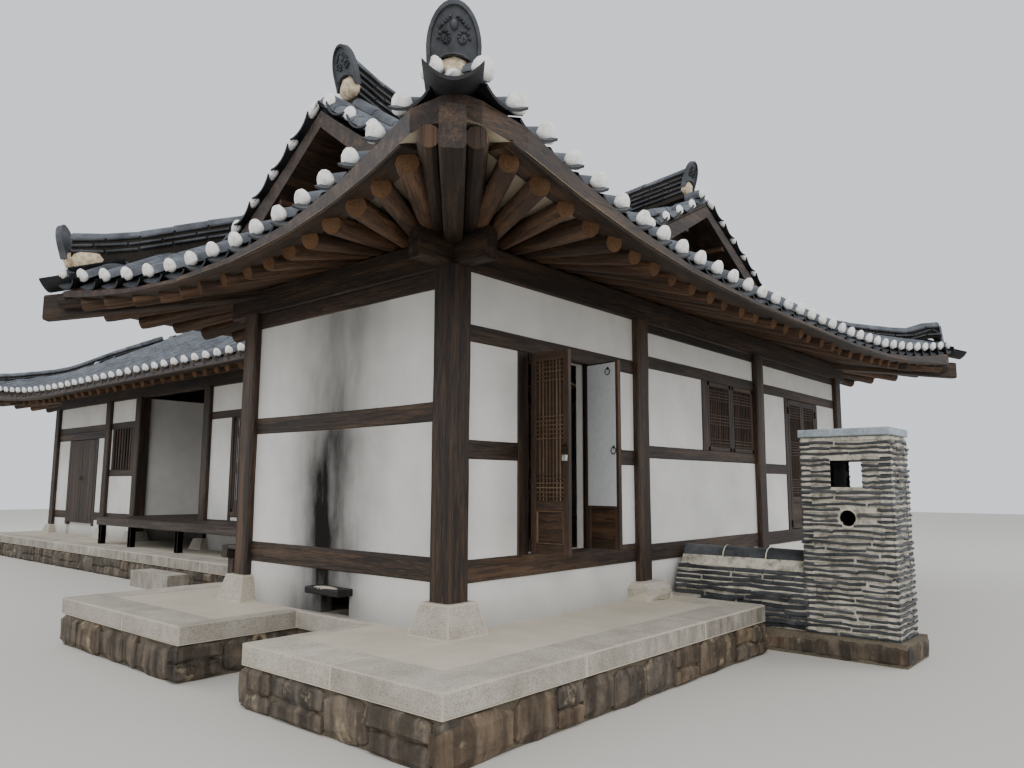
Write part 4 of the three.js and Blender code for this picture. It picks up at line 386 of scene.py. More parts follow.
def blackened(tree, place, colour, hollow):
    """Soot on every face inside the limits (x, x, y, y): the walls of the flue's openings."""
    split = add(tree, "SeparateXYZ", place)
    inside = None
    for axis, limit, kind in (("X", hollow[0], "GREATER_THAN"), ("X", hollow[1], "LESS_THAN"),
                              ("Y", hollow[2], "GREATER_THAN"), ("Y", hollow[3], "LESS_THAN")):
        test = add(tree, "Math", split.outputs[axis], limit, operation=kind)
        inside = add(tree, "Math", inside, test, operation="MULTIPLY") if inside else test
    return add(tree, "MixRGB", inside, colour, "#0b0a09")


# Grey fired clay, smoked in the kiln: matt, bluish where the sky lights it, each tile its own shade
def kiln_tile(name, dark, light, soil="#6d665a"):
    material, tree, shader = finish(name, 0.6, 0.45)
    place = add(tree, "TexCoord").outputs["Object"]
    island = add(tree, "NewGeometry").outputs["Random Per Island"]
    cloud = add(tree, "TexNoise", Vector=place, Scale=per_metre(160), Detail=6, Roughness=0.65)
    pores = add(tree, "TexNoise", Vector=place, Scale=per_metre(9), Detail=2)
    tone = add(tree, "ValToRGB", cloud, stops=[(0.3, dark), (0.7, light)])
    lichen = add(tree, "ValToRGB", cloud, stops=[(0.62, BLACK), (0.78, (0.6, 0.6, 0.6, 1))])
    dusty = add(tree, "MixRGB", lichen, tone, soil)
    shade = add(tree, "MapRange", island, 0, 1, 0.75, 1.3)
    varied = add(tree, "HueSaturation", Value=shade, Color=dusty)
    connect(tree, shader, varied, pores, 0.25, 0.002)
    return material


# Bush-hammered granite: pale ground with black and brown grains a few millimetres across
def hammered_granite(name):
    material, tree, shader = finish(name, 0.88, 0.3)
    place = add(tree, "TexCoord").outputs["Object"]
    geometry = add(tree, "NewGeometry")
    cells = add(tree, "TexVoronoi", Vector=place, Scale=per_metre(5)).outputs["Color"]
    grains = add(tree, "ValToRGB", cells, stops=[
        (0.0, "#8a8276"), (1.0, "#c6beb0"), (0.2, "#a0978a"), (0.36, "#bab3a7")])
    wear = add(tree, "TexNoise", Vector=place, Scale=per_metre(300), Detail=6, Roughness=0.65)
    stain = add(tree, "ValToRGB", wear, stops=[(0.3, "#8b7f6c"), (0.6, WHITE)])
    aged = add(tree, "MixRGB", 0.4, grains, stain, blend_type="MULTIPLY")
    shade = add(tree, "MapRange", geometry.outputs["Random Per Island"], 0, 1, 0.88, 1.1)
    varied = add(tree, "HueSaturation", Value=shade, Color=aged)
    pits = add(tree, "TexNoise", Vector=place, Scale=per_metre(14), Detail=4, Roughness=0.75)
    connect(tree, shader, rain_streaks(tree, place, geometry, varied), pits, 0.6, 0.005)
    return material


def rain_streaks(tree, place, geometry, colour):
    """Dark runs of dirt down upright faces, stronger away from the house's street corner."""
    upwards = add(tree, "SeparateXYZ", geometry.outputs["Normal"]).outputs["Z"]
    amount = add(tree, "Math", upwards, 0.4, operation="LESS_THAN")
    split = add(tree, "SeparateXYZ", place)
    away = add(tree, "MapRange", split.outputs["X"], -0.4, 2.2, 0.1, 0.8)
    below_top = add(tree, "Math", split.outputs["Z"], 0.405, operation="LESS_THAN")
    tall = add(tree, "Mapping", Vector=place, Scale=(1, 1, 0.3))
    runs = add(tree, "TexNoise", Vector=tall, Scale=per_metre(90), Detail=6, Roughness=0.7)
    dark = add(tree, "MapRange", runs, 0.34, 0.68)
    for part in (away, below_top, dark):
        amount = add(tree, "Math", amount, part, operation="MULTIPLY")
    return add(tree, "MixRGB", amount, colour, "#453e35")


# Rough field stones: each its own colour, from ochre and rust to grey and near black
def field_stone(name, tones=("#45423d", "#665c50", "#7a654f", "#5a5751", "#7f7363")):
    material, tree, shader = finish(name, 0.9, 0.3)
    place = add(tree, "TexCoord").outputs["Object"]
    island = add(tree, "NewGeometry").outputs["Random Per Island"]
    stops = [(0.0, tones[0]), (1.0, tones[-1])]
    stops += [((i + 1) / (len(tones) - 1), tone) for i, tone in enumerate(tones[1:-1])]
    own = add(tree, "ValToRGB", island, stops=stops)
    cloud = add(tree, "TexNoise", Vector=place, Scale=per_metre(120), Detail=8, Roughness=0.7)
    rust = add(tree, "ValToRGB", cloud, stops=[(0.35, "#2f2b27"), (0.75, "#a08a6c"), (0.55, "#77695a")])
    mixed = add(tree, "MixRGB", 0.4, own, rust)
    tall = add(tree, "Mapping", Vector=place, Scale=(1, 1, 0.15))
    rain = add(tree, "TexNoise", Vector=tall, Scale=per_metre(110), Detail=4, Roughness=0.6)
    streak = add(tree, "ValToRGB", rain, stops=[(0.42, (0.28, 0.27, 0.26, 1)), (0.6, WHITE)])
    stained = add(tree, "MixRGB", 0.8, mixed, streak, blend_type="MULTIPLY")
    lime = add(tree, "TexNoise", Vector=place, Scale=per_metre(210), Detail=5, Roughness=0.7)
    patch = add(tree, "ValToRGB", lime, stops=[(0.58, BLACK), (0.68, (0.7, 0.7, 0.7, 1))])
    limed = add(tree, "MixRGB", patch, stained, "#a8987d")
    facets = add(tree, "TexNoise", Vector=place, Scale=per_metre(45), Detail=6, Roughness=0.7)
    connect(tree, shader, limed, facets, 0.7, 0.015)
    return material


# Earth, clay or lime soil: a matt ground with grit of one size
def rammed_earth(name, dark, light, grit_mm=8, bump=0.004):
    material, tree, shader = finish(name, 0.97, 0.15)
    place = add(tree, "TexCoord").outputs["Object"]
    grit = add(tree, "TexNoise", Vector=place, Scale=per_metre(grit_mm), Detail=5, Roughness=0.75)
    cloud = add(tree, "TexNoise", Vector=place, Scale=per_metre(500), Detail=5, Roughness=0.6)
    half = add(tree, "Math", grit, 0.5, operation="MULTIPLY")
    mean = add(tree, "Math", cloud, 0.5, half, operation="MULTIPLY_ADD")
    tone = add(tree, "ValToRGB", mean, stops=[(0.35, dark), (0.62, light)])
    connect(tree, shader, tone, grit, 0.6, bump)
    return material


# Mulberry paper pasted on a lattice: thin, cool white, faint fibres
def mulberry_paper(name, dark="#c6c8ca", light="#d2d4d6"):
    material, tree, shader = finish(name, 0.85, 0.2)
    place = add(tree, "TexCoord").outputs["Object"]
    fibres = add(tree, "TexNoise", Vector=place, Scale=per_metre(60), Detail=6, Distortion=1.5)
    tone = add(tree, "ValToRGB", fibres, stops=[(0.3, dark), (0.7, light)])
    connect(tree, shader, tone, fibres, 0.2, 0.001)
    return material


# Forged iron, blackened: a dull sheen and hammer marks
def forged_iron(name, dark="#1a1817", light="#4b3a30"):
    material, tree, shader = finish(name, 0.5, 0.5, 0.8)
    place = add(tree, "TexCoord").outputs["Object"]
    marks = add(tree, "TexNoise", Vector=place, Scale=per_metre(15), Detail=3)
    tone = add(tree, "ValToRGB", marks, stops=[(0.35, dark), (0.7, light)])
    connect(tree, shader, tone, marks, 0.4, 0.002)
    return material


M = {}


def make_finishes():
    """Every finish of the house, by its short name."""
    colours = bpy.context.scene.hanok_colours
    timber_tone, plaster, tile_tone = ((*c, 1.0) for c in (colours.timber, colours.plaster, colours.tile))
    M.update({
        "pine": pine("aged_oiled_pine", "#150f0b", timber_tone, "#513d2b"),
        "rafter_pine": pine("round_rafter_pine", "#24170f", "#453020", "#6d503a", 0.6, 9),
        "board": pine("weathered_pine_board", "#1a120c", "#32241a", "#543d2a", 0.6),
        "veranda": pine("veranda_pine", "#1e1813", "#3d3127", "#5f5042", 0.6),
        "rake_pine": pine("blackened_rake_board", "#090706", "#15100c", "#271d15", 0.6),
        "lattice": pine("lattice_pine", "#1f160f", "#3a2b20", "#584434", 0.7, 5),
        "lattice_bar": pine("lattice_bar_pine", "#33261b", "#574231", "#77614b", 0.8, 4),
        "dark_bar": pine("dark_lattice_bar_pine", "#21170f", "#3d2c20", "#5b4534", 0.8, 4),
        "burnt": pine("charred_lintel", "#060505", "#15110f", "#2c241f", 0.6),
        "plaster": lime_plaster("lime_plaster", plaster, 0.42),
        "sooty": lime_plaster("lime_plaster_with_soot", plaster, 0.42, SOOT),
        "under_plaster": lime_plaster("clay_plaster_between_rafters", linear("#cdbfa8"), -9.0),
        "mortar": lime_mortar("lime_mortar_plug", "#f7f5f2", "#d3d0ca", 45, 0.002),
        "bed": lime_mortar("clay_lime_bed", "#d9c9ad", "#a08c6e", 40),
        "tile": kiln_tile("kiln_grey_round_tile", "#33363b", tile_tone),
        "flat_tile": kiln_tile("kiln_grey_flat_tile", "#1f2124", "#4a4d52"),
        # Near-black tile for the fronts and undersides of deep flat tiles: weathering, and painted shade
        # under the eave
        "weathered_tile_and_shade": kiln_tile("weathered_tile_with_painted_shade", "#0e0f10", "#25262a", "#2c2822"),
        "stack": kiln_tile("broken_tile_layer", "#202224", "#515356", "#5c5952"),
        "stack_mortar": lime_mortar("tile_stack_mortar", "#cbc4b5", "#7b7568", 110, 0.012, TOWER_INSIDE),
        "granite": hammered_granite("bush_hammered_granite"),
        "stone": field_stone("rough_field_stone"),
        "clay": rammed_earth("clay_joint", "#4f483d", "#7f7564", 16, 0.01),
        "soil": rammed_earth("lime_soil_top", "#b5ab99", "#cdc4b3", 7, 0.003),
        "paper": mulberry_paper("mulberry_paper"),
        # The paper seen from outside through the bars, painted dark brown: painted shade on white paper
        "paper_in_painted_shade": mulberry_paper("painted_shade_on_paper", "#3a2f27", "#4b3f34"),
        "iron": forged_iron("forged_iron"),
        "brass": forged_iron("steel_padlock", "#8d8b86", "#d8d6d0"),
        "floor": rammed_earth("oiled_paper_floor", "#6b5335", "#8f7149", 60, 0.001),
        "dark_clay": rammed_earth("dark_clay_bed", "#1b1917", "#3a3530", 20, 0.01),
        "cut_end": rammed_earth("sawn_rafter_end", "#3a2a1d", "#6a4f38", 12, 0.002),
        "slab": rammed_earth("pale_slab", "#7d868c", "#b4bdc2", 30, 0.004),
    })


SOOT = {"y": 1.70, "half_width": 0.48, "lean": 0.08}
TOWER_INSIDE = (3.104, 3.596, -1.976, -1.259)


# Roof: eaves, rafters and the shells that carry the tiles

EAVE_Z, EAVE_THICK, UNDER_LIFT, REACH_LENGTH = 3.09, 0.08, 0.62, 4.1
UNDER_PLATE, FAN_LENGTH = 3.39, 1.2
HIGH_CORNER, LOW_CORNER = (0.42, 4.1), (0.2, 1.9)

# Lines of the posts, and how far the eaves' tips reach
END_LINE, COURT_LINE, REAR_LINE = 0.1, 2.55, 8.025
STREET_LINE, BACK_LINE, FAR_LINE = 0.1, 2.667, 14.5
NEAR_TIP, LEFT_TIP, RIGHT_TIP, FAR_TIP, COURT_TIP = -1.38, 4.147, 9.448, 15.98, 1.127


class Side:
    """A straight eave: s runs along it and d runs in from it. Each end is a tip or a valley."""

    def __init__(self, along, line, inward, run, start, end):
        self.along, self.line, self.inward, self.run = along, line, inward, run
        self.start, self.end = start, end

    def point(self, s, d):
        across = self.line + self.inward * d
        return (s, across) if self.along == "x" else (across, s)

    def eave(self, s):
        """The shell's lower edge at s, with its corners' upward and outward curves."""
        tips = [tip for tip in (self.start, self.end) if tip["reach"]]
        span = abs(self.end["s"] - self.start["s"]) / len(tips)
        reach = lift = 0.0
        for tip in tips:
            away = abs(s - tip["s"])
            reach += tip["reach"] * max(0.0, 1 - away / min(REACH_LENGTH, span)) ** 2
            lift += tip["curve"][0] * max(0.0, 1 - away / tip["curve"][1]) ** 2
        return Vector((*self.point(s, -reach), EAVE_Z + lift * UNDER_LIFT - EAVE_THICK))

    def plate(self, s):
        for end, sign in ((self.start, 1), (self.end, -1)):
            inner = end["plate"] + sign * FAN_LENGTH
            share = (s - inner) / (end["s"] - inner)
            if end["reach"] and share > 0:
                s = inner + (end["plate"] - inner) * share
                break
        return Vector((*self.point(s, self.run), UNDER_PLATE))


def end(s, plate, reach=0.0, curve=HIGH_CORNER):
    return {"s": s, "plate": plate, "reach": reach, "curve": curve}


SIDES = {
    "street": Side("x", -1.08, 1, 1.18, end(NEAR_TIP, END_LINE, 0.3), end(RIGHT_TIP, REAR_LINE, 0.3)),
    "end": Side("y", -0.95, 1, 1.05, end(NEAR_TIP, STREET_LINE, 0.43),
                end(LEFT_TIP, BACK_LINE, 0.43, LOW_CORNER)),
    "small_back": Side("x", 3.847, -1, 1.18, end(NEAR_TIP, END_LINE, 0.3, LOW_CORNER), end(1.37, COURT_LINE)),
    "court": Side("y", 1.37, 1, 1.18, end(3.847, BACK_LINE), end(FAR_TIP, FAR_LINE, 0.243)),
    "rear": Side("y", 9.205, -1, 1.18, end(NEAR_TIP, STREET_LINE, 0.243), end(FAR_TIP, FAR_LINE, 0.243)),
    "far": Side("x", 15.68, -1, 1.18, end(COURT_TIP, COURT_LINE, 0.3), end(RIGHT_TIP, REAR_LINE, 0.3)),
}


def pipe(pile, start, finish_at, radii, around=12, bend=0.0):
    """A log between two points, closed at both ends, a little bent. Its ends are in slot 1."""
    axis = (finish_at - start).normalized()
    across = axis.cross(UP).normalized()
    upward = across.cross(axis)
    shares = (0.0, 0.02, 0.35, 0.7, 0.98, 1.0)
    angles = [2 * math.pi * k / around for k in range(around)]
    seed = DICE.uniform(-30, 30, 3)
    points, grain = [], []
    length = (finish_at - start).length
    for share in shares:
        radius = radii[0] + (radii[1] - radii[0]) * share
        radius *= 0.93 if share in (0.0, 1.0) else 1.0
        centre = start.lerp(finish_at, share) + upward * bend * math.sin(math.pi * share)
        for angle in angles:
            offset = across * math.cos(angle) * radius + upward * math.sin(angle) * radius
            points.append(centre + offset)
            grain.append((share * length + seed[0], math.cos(angle) * radius + seed[1],
                          math.sin(angle) * radius + seed[2]))
    pile.add(points, ring_faces(len(shares), around, closed=True), grain)
    for ring, order in ((0, -1), (len(shares) - 1, 1)):
        rim = points[ring * around:(ring + 1) * around]
        ends = [(seed[0] + 9, math.cos(angle) * radii[0], seed[2]) for angle in angles]
        pile.add(rim, [list(range(around))[::order]], ends, 1)


RAFTER = {"radius": 0.067, "spacing": 0.325, "tip_in": 0.15, "tail": 0.45, "drop": 0.012, "free": 0.5}


def rafters(pile, side):
    """Round logs under one eave, fanned towards its tips."""
    low, high = (end["s"] + sign * (RAFTER["free"] if end["reach"] else RAFTER["spacing"])
                 for end, sign in ((side.start, 1), (side.end, -1)))
    count = round((high - low) / RAFTER["spacing"])
    for index in range(count + 1):
        s = low + (high - low) * index / count
        eave, plate = side.eave(s), side.plate(s)
        way = (plate - eave).normalized()
        drop = UP * (RAFTER["drop"] + RAFTER["radius"] / math.sqrt(1 - way.z ** 2))
        radius = RAFTER["radius"] * DICE.uniform(0.93, 1.06)
        outer = eave + way * (RAFTER["tip_in"] + DICE.uniform(-0.02, 0.02)) - drop
        inner = eave + way * ((plate - eave).length + RAFTER["tail"]) - drop
        outer += Vector((DICE.uniform(-0.012, 0.012), DICE.uniform(-0.012, 0.012), 0))
        pipe(pile, outer, inner, (radius, radius * 1.05), bend=DICE.uniform(-0.008, 0.004))


def strip(pile, line, width, height, slot=0, chamfer=0.008):
    """A board along a line of top centre points, each with its direction across."""
    half = width / 2
    profile = [(-half, -chamfer), (-half + chamfer, 0), (half - chamfer, 0), (half, -chamfer),
               (half, -height + chamfer), (half - chamfer, -height), (-half + chamfer, -height),
               (-half, -height + chamfer)]
    points, grain = [], []
    run = 0.0
    seed = DICE.uniform(-30, 30, 3)
    for index, (point, across) in enumerate(line):
        if index:
            run += (point - line[index - 1][0]).length
        for a, b in profile:
            points.append(point + across * a + UP * b)
            grain.append((run + seed[0], a + seed[1], b + seed[2]))
    faces = rod_faces(len(line), len(profile))
    centre = np.mean([np.array(p) for p in points[:2 * len(profile)]], axis=0)
    pile.add(points, facing(points, faces, np.array(points[0]) - centre), grain, slot)


EAVE_BOARD = {"inset": 0.004, "width": 0.18, "height": 0.03, "short": 0.42, "drop": 0.01}


def eave_board(pile, side):
    """The board that ties the rafters' tips together, under the tiles."""
    low, high = (end["s"] + sign * EAVE_BOARD["short"] * bool(end["reach"])
                 for end, sign in ((side.start, 1), (side.end, -1)))
    share = (EAVE_BOARD["inset"] + EAVE_BOARD["width"] / 2) / side.run
    line = [side.eave(s).lerp(side.plate(s), share) - UP * EAVE_BOARD["drop"]
            for s in np.linspace(low, high, 60)]
    strip(pile, list(zip(line, across_of(line))), EAVE_BOARD["width"], EAVE_BOARD["height"], 2)


HIP = {"width": 0.135, "depth": 0.23, "drop": 0.012, "log_beside": 0.055, "log_below": 0.10, "log_back": 0.33}


def hip_beam(pile, corner, tip, curve=HIGH_CORNER):
    """The squared rafter of a corner, between two logs that are set back beside it."""
    plate = Vector((*corner, UNDER_PLATE))
    outer = Vector((*tip, EAVE_Z + curve[0] * UNDER_LIFT - EAVE_THICK))
    way = (outer - plate).normalized()
    across = Vector((-way.y, way.x, 0)).normalized()
    start = plate - way * RAFTER["tail"]
    stop = outer - way * RAFTER["tip_in"]
    line = [(start.lerp(stop, share) - UP * HIP["drop"], across) for share in (0, 0.5, 1)]
    strip(pile, line, HIP["width"], HIP["depth"], chamfer=0.015)
    for hand in (-1, 1):
        shift = across * hand * (HIP["width"] / 2 + HIP["log_beside"]) - UP * (HIP["drop"] + HIP["log_below"])
        pipe(pile, outer - way * HIP["log_back"] + shift, plate + way * 0.1 + shift, (0.066, 0.07), 14)


# Each corner's place, the height of its tiles and the way it points
TIPS = {
    "near": ((NEAR_TIP, NEAR_TIP), 3.51, (-1, -1)), "left": ((NEAR_TIP, LEFT_TIP), 3.29, (-1, 1)),
    "right": ((RIGHT_TIP, NEAR_TIP), 3.51, (1, -1)), "far": ((RIGHT_TIP, FAR_TIP), 3.51, (1, 1)),
    "court": ((COURT_TIP, FAR_TIP), 3.51, (-1, 1)),
}
BED_DROP, BED_TIP_DROP, TIP_IN = 0.055, 0.06, 0.19


def bed(source):
    """A copy of a CAD shell whose top lies lower, most of all at the tips, so that the tiles have room."""
    mesh = NODES[source].data
    tips = [place for place, _, _ in TIPS.values()]
    key = {}
    places = np.array([v.co for v in mesh.vertices])
    for vertex, place in enumerate(np.round(places, 4)):
        key.setdefault(tuple(place), []).append(vertex)
    raised = set()
    for face in mesh.polygons:
        if face.normal.z > 0.3:
            raised.update(tuple(np.round(places[i], 4)) for i in face.vertices)
    moved = places.copy()
    for place in raised:
        nearest = min(math.dist(place[:2], tip) for tip in tips)
        for vertex in key[place]:
            moved[vertex, 2] -= BED_DROP + BED_TIP_DROP * max(0.0, 1 - nearest / 0.6)
    middle = places.mean(axis=0)[:2]
    for place in key:
        for tip in tips:
            share = max(0.0, 1 - math.dist(place[:2], tip) / 0.45)
            if share:
                moved[key[place], :2] += np.sign(middle - np.array(tip)) * TIP_IN * share
    pile = Pile()
    for face in mesh.polygons:
        slot = 0 if face.normal.z < -0.3 and face.center.z < UNDER_PLATE else 1
        pile.add(moved[list(face.vertices)], [list(range(len(face.vertices)))], None, slot)
    return pile


class Rows:
    """Lines over a roof shell, square to its eave, found by rays beside the CAD node's own ribs."""

    def __init__(self, node, side, first, last):
        self.surface, self.side = Surface(node), side
        self.first, self.last = first, last

    def height(self, s, d, beside):
        """The slope's height between its ribs: the mean of two rays, or the one that meets the slope."""
        flanks = [self.surface.top(*self.side.point(s + k * beside, d)) for k in (-1, 1)]
        found = [z for z in flanks if z is not None]
        return sum(found) / len(found) if found else self.surface.top(*self.side.point(s, d))

    def line(self, s, beside=0.0, step=0.03):
        """Distances from the eave and heights where the shell is hit, from the eave upwards."""
        found = []
        for d in np.arange(-0.6, 9.0, step):
            if self.surface.top(*self.side.point(s, d)) is not None:
                found.append((d, self.height(s, d, beside)))
            elif len(found) > 2:
                break
            else:
                found = []
        if len(found) < 4:
            return None
        low = found[0][0] - step
        for _ in range(4):
            step /= 2
            if self.surface.top(*self.side.point(s, low + step)) is None:
                low += step
        found.insert(0, (low + step, found[0][1]))
        return np.array(found)


def frame_on(row, side, s, d):
    """Point on the line, the way up the slope, the direction along the eave, and the outward normal."""
    ds, zs = row[:, 0], row[:, 1]
    z = np.interp(d, ds, zs)
    if d < ds[0]:
        z -= (ds[0] - d) * (zs[3] - zs[1]) / (ds[3] - ds[1])
    near = np.clip(d, ds[0] + 0.05, ds[-1] - 0.05)
    slope = (np.interp(near + 0.05, ds, zs) - np.interp(near - 0.05, ds, zs)) / 0.1
    x, y = side.point(s, d)
    level = Vector((*side.point(s, 1.0), 0)) - Vector((*side.point(s, 0.0), 0))
    way = (level + UP * slope).normalized()
    along = Vector((1, 0, 0)) if side.along == "x" else Vector((0, 1, 0))
    return Vector((x, y, z)), way, along, upright(way, along)


def steps_along(row, length):
    """Distances from the eave at which tiles of that length begin."""
    ds, zs = row[:, 0], row[:, 1]
    lengths = np.concatenate([[0], np.cumsum(np.hypot(np.diff(ds), np.diff(zs)))])
    places = np.arange(0, lengths[-1], length)
    return np.append(np.interp(places, lengths, ds), ds[-1])


def round_tile(pile, low, high, radius, thick, lift=0.012, around=7):
    """A half pipe between two frames, open below, whose lower rim shows its thickness."""
    angles = np.linspace(0, math.pi, around)

    def arc(spot, r):
        place, _, along, normal = spot
        return [place + normal * lift + along * math.cos(a) * r + normal * math.sin(a) * r for a in angles]
    points = arc(low, radius) + arc(high, radius * 0.93) + arc(low, radius - thick)
    shell = facing(points, bridge(0, around, around), low[3], (around - 1) // 2)
    rim = facing(points, bridge(0, 2 * around, around), -low[1])
    pile.add(points, shell + rim)


def flat_tile(pile, low, high, width, sag, thick, raise_low, deep=False, around=7):
    """A concave tile between two frames. Its lower end lies on the tile below and shows its edge.

    It is in slot 1. A deep one has an underside too, and its edges and underside are in slot 3, whose
    near-black is weathering and painted shade.
    """
    shares = np.linspace(-0.5, 0.5, around)

    def row(spot, lift):
        place, _, along, normal = spot
        return [place + along * u * width + normal * (lift + 0.012 + sag * (4 * u * u - 1)) for u in shares]
    points = row(low, raise_low) + row(high, 0.0) + row(low, raise_low - thick)
    pile.add(points, facing(points, bridge(0, around, around), low[3], (around - 1) // 2), None, 1)
    faces = facing(points, bridge(0, 2 * around, around), -low[1])
    if deep:
        points += row(high, -thick)
        faces += facing(points, bridge(2 * around, 3 * around, around), -low[3], 3)
    pile.add(points, faces, None, 3 if deep else 1)


def lump(pile, centre, axes, radii, rough=0.12, slot=0, around=10, rings=6, low=1.0):
    """A rounded, uneven lump on three given axes. Its half below the second axis is low times as deep."""
    points = []
    for i in range(rings):
        polar = math.pi * (i + 0.35) / (rings - 0.3)
        for k in range(around):
            angle = 2 * math.pi * k / around
            grow = 1 + DICE.uniform(-rough, rough)
            across = math.sin(polar) * math.sin(angle)
            unit = (math.sin(polar) * math.cos(angle), across * (low if across < 0 else 1), math.cos(polar))
            points.append(centre + sum((axes[n] * unit[n] * radii[n] * grow for n in range(3)), Vector()))
    wrap(pile, points, centre, rings, around, slot)


def plug(pile, centre, along, normal, out, radius):
    """The lump of lime that closes a round tile's mouth: a half disc, a little domed."""
    lump(pile, centre, (along, normal, out), (radius, radius * 1.04, 0.036), 0.02, 2, 16, 8, 0.5)


# Beside a row: the CAD rib's foot. Along it: how far a plug sits in, and the tip left to the corner tiles
RIB_FOOT = 0.09
PLUG_IN = 0.085
TIP_FREE = 0.2
LIP_THICK = 0.016


def tile_rows(pile, rows, at_eave=True):
    """Rows of round tiles over flat tiles, from the eave to the ridge."""
    size = bpy.context.scene.hanok_roof
    side = rows.side
    count = round((rows.last - rows.first) / size.row_pitch)
    pitch = (rows.last - rows.first) / count
    tips = [end["s"] for end in (side.start, side.end) if end["reach"]]
    for index in range(count + 1):
        s = rows.first + pitch * index
        row = rows.line(s, RIB_FOOT)
        if row is not None and min(abs(s - tip) for tip in tips) > TIP_FREE:
            round_row(pile, row, side, s, size, at_eave)
        if index < count:
            middle = rows.line(s + pitch / 2)
            if middle is not None and min(abs(s + pitch / 2 - tip) for tip in tips) > TIP_FREE:
                flat_row(pile, middle, side, s + pitch / 2, pitch, size, at_eave)


def round_row(pile, row, side, s, size, at_eave):
    places = steps_along(row, size.round_length)
    if at_eave:
        places[0] += PLUG_IN
    for index in range(len(places) - 1):
        low, high = places[index], places[index + 1]
        if high - low < 0.05:
            continue
        shift = DICE.uniform(-0.003, 0.003)
        first = frame_on(row, side, s + shift, low - 0.012)
        second = frame_on(row, side, s + shift, high)
        round_tile(pile, first, second, size.round_radius * DICE.uniform(0.98, 1.03), size.tile_thick)
    if at_eave:
        place, way, along, normal = frame_on(row, side, s, places[0])
        plug(pile, place - way * 0.02 + normal * 0.036, along, normal, -way, size.round_radius * 1.04)


def flat_row(pile, row, side, s, pitch, size, at_eave):
    places = steps_along(row, size.flat_step)
    width = pitch - 0.03
    for index in range(len(places) - 1):
        low, high = places[index], places[index + 1]
        if high - low < 0.02:
            continue
        lowest = at_eave and index == 0
        first = frame_on(row, side, s, low - (size.lip if lowest else 0.0))
        second = frame_on(row, side, s, high + 0.004)
        sag = size.sag + DICE.uniform(-0.003, 0.003)
        if not lowest:
            raised = size.tile_thick + DICE.uniform(0, 0.004)
            flat_tile(pile, first, second, width, sag, size.tile_thick, raised)
            continue
        # The lowest tile is deep: its front edge and underside take slot 3, near-black with weathering and
        # painted shade
        flat_tile(pile, first, second, width + 0.05, sag, LIP_THICK, -0.012, True)


# Ridges: courses of flat tiles in lime, a row of round tiles on top and a raised end tile

def stations(node, width):
    """Top centre points of a ridge wall in the frame, read from its edges of that width."""
    mesh = NODES[node].data
    places = [v.co for v in mesh.vertices]
    surface = Surface(node)
    found = {}
    for face in mesh.polygons:
        ring = list(face.vertices)
        for first, second in zip(ring, ring[1:] + ring[:1]):
            a, b = places[first], places[second]
            if abs((a - b).xy.length - width) > 0.003 or abs(a.z - b.z) > 0.003:
                continue
            middle = (a + b) / 2
            top = surface.top(middle.x, middle.y)
            if top is None or abs(top - middle.z) < 0.02:
                found[tuple(round(v, 2) for v in middle)] = middle
    return list(found.values())


def chain(points, start):
    """The points in order of nearness, from the one nearest to start."""
    left = sorted(points, key=lambda p: (p - start).length)
    line = [left.pop(0)]
    while left:
        left.sort(key=lambda p: (p - line[-1]).length)
        line.append(left.pop(0))
    return line


def even(line, step):
    """Points at even steps along a line of points."""
    points = np.array(line)
    lengths = np.concatenate([[0], np.cumsum(np.linalg.norm(np.diff(points, axis=0), axis=1))])
    places = np.linspace(0, lengths[-1], max(3, round(lengths[-1] / step)))
    return [Vector([np.interp(s, lengths, points[:, k]) for k in range(3)]) for s in places]


def softened(line, times=3):
    for _ in range(times):
        line = [line[0]] + [(a + 2 * b + c) / 4 for a, b, c in zip(line, line[1:], line[2:])] + [line[-1]]
    return line


RIDGE_RADIUS = 0.07
RIDGE_STEP = 3
COURSE_THICK = 0.024


def ridge(pile, line, height, width, courses, both_ends=False, fill=0.06):
    """A ridge wall whose top follows the line of points, on a fill of lime that reaches into the roof.

    An end tile closes its start, and its other end too where both_ends is true.
    """
    size = bpy.context.scene.hanok_roof
    line = softened(even(line, 0.1))
    sides = across_of(line)
    last = len(line) - 1
    body = height - RIDGE_RADIUS
    pitch = (body + 0.03) / courses
    strip(pile, [(p - UP * RIDGE_RADIUS, s) for p, s in zip(line, sides)], width - 0.07, body + fill, 3)
    for course in range(courses):
        top = RIDGE_RADIUS + pitch * course
        wide = width - 0.03 + 0.035 * course / courses
        for first in range(-(course % 2), last, RIDGE_STEP):
            ends = [min(max(i, 0), last) for i in (first, first + RIDGE_STEP)]
            if ends[0] == ends[1]:
                continue
            shift = DICE.uniform(-0.006, 0.006)
            way = (line[ends[1]] - line[ends[0]]).normalized()
            rows = []
            for index, pull in zip(ends, (0.01, -0.01)):
                level = line[index] - UP * (top + DICE.uniform(-0.003, 0.003))
                rows.append((level + sides[index] * shift + way * pull, sides[index]))
            strip(pile, rows, wide, COURSE_THICK, 1, 0.006)
    for index in range(0, last, RIDGE_STEP):
        stop = min(index + RIDGE_STEP, last)
        way = (line[stop] - line[index]).normalized()
        normal = upright(sides[index], way)
        low = (line[index] - UP * RIDGE_RADIUS - way * 0.01, way, sides[index], normal)
        high = (line[stop] - UP * RIDGE_RADIUS, way, sides[stop], normal)
        round_tile(pile, low, high, RIDGE_RADIUS * DICE.uniform(0.97, 1.03), size.tile_thick, lift=0.0)
    for index, inner in ((0, 2), (last, last - 2))[:2 if both_ends else 1]:
        out = line[index] - line[inner]
        out.z = 0
        end_tile(pile, line[index], out.normalized(), sides[index])


END_TILE = {"wide": 0.142, "tall": 0.375, "thick": 0.034, "drop": 0.29, "out": 0.03}


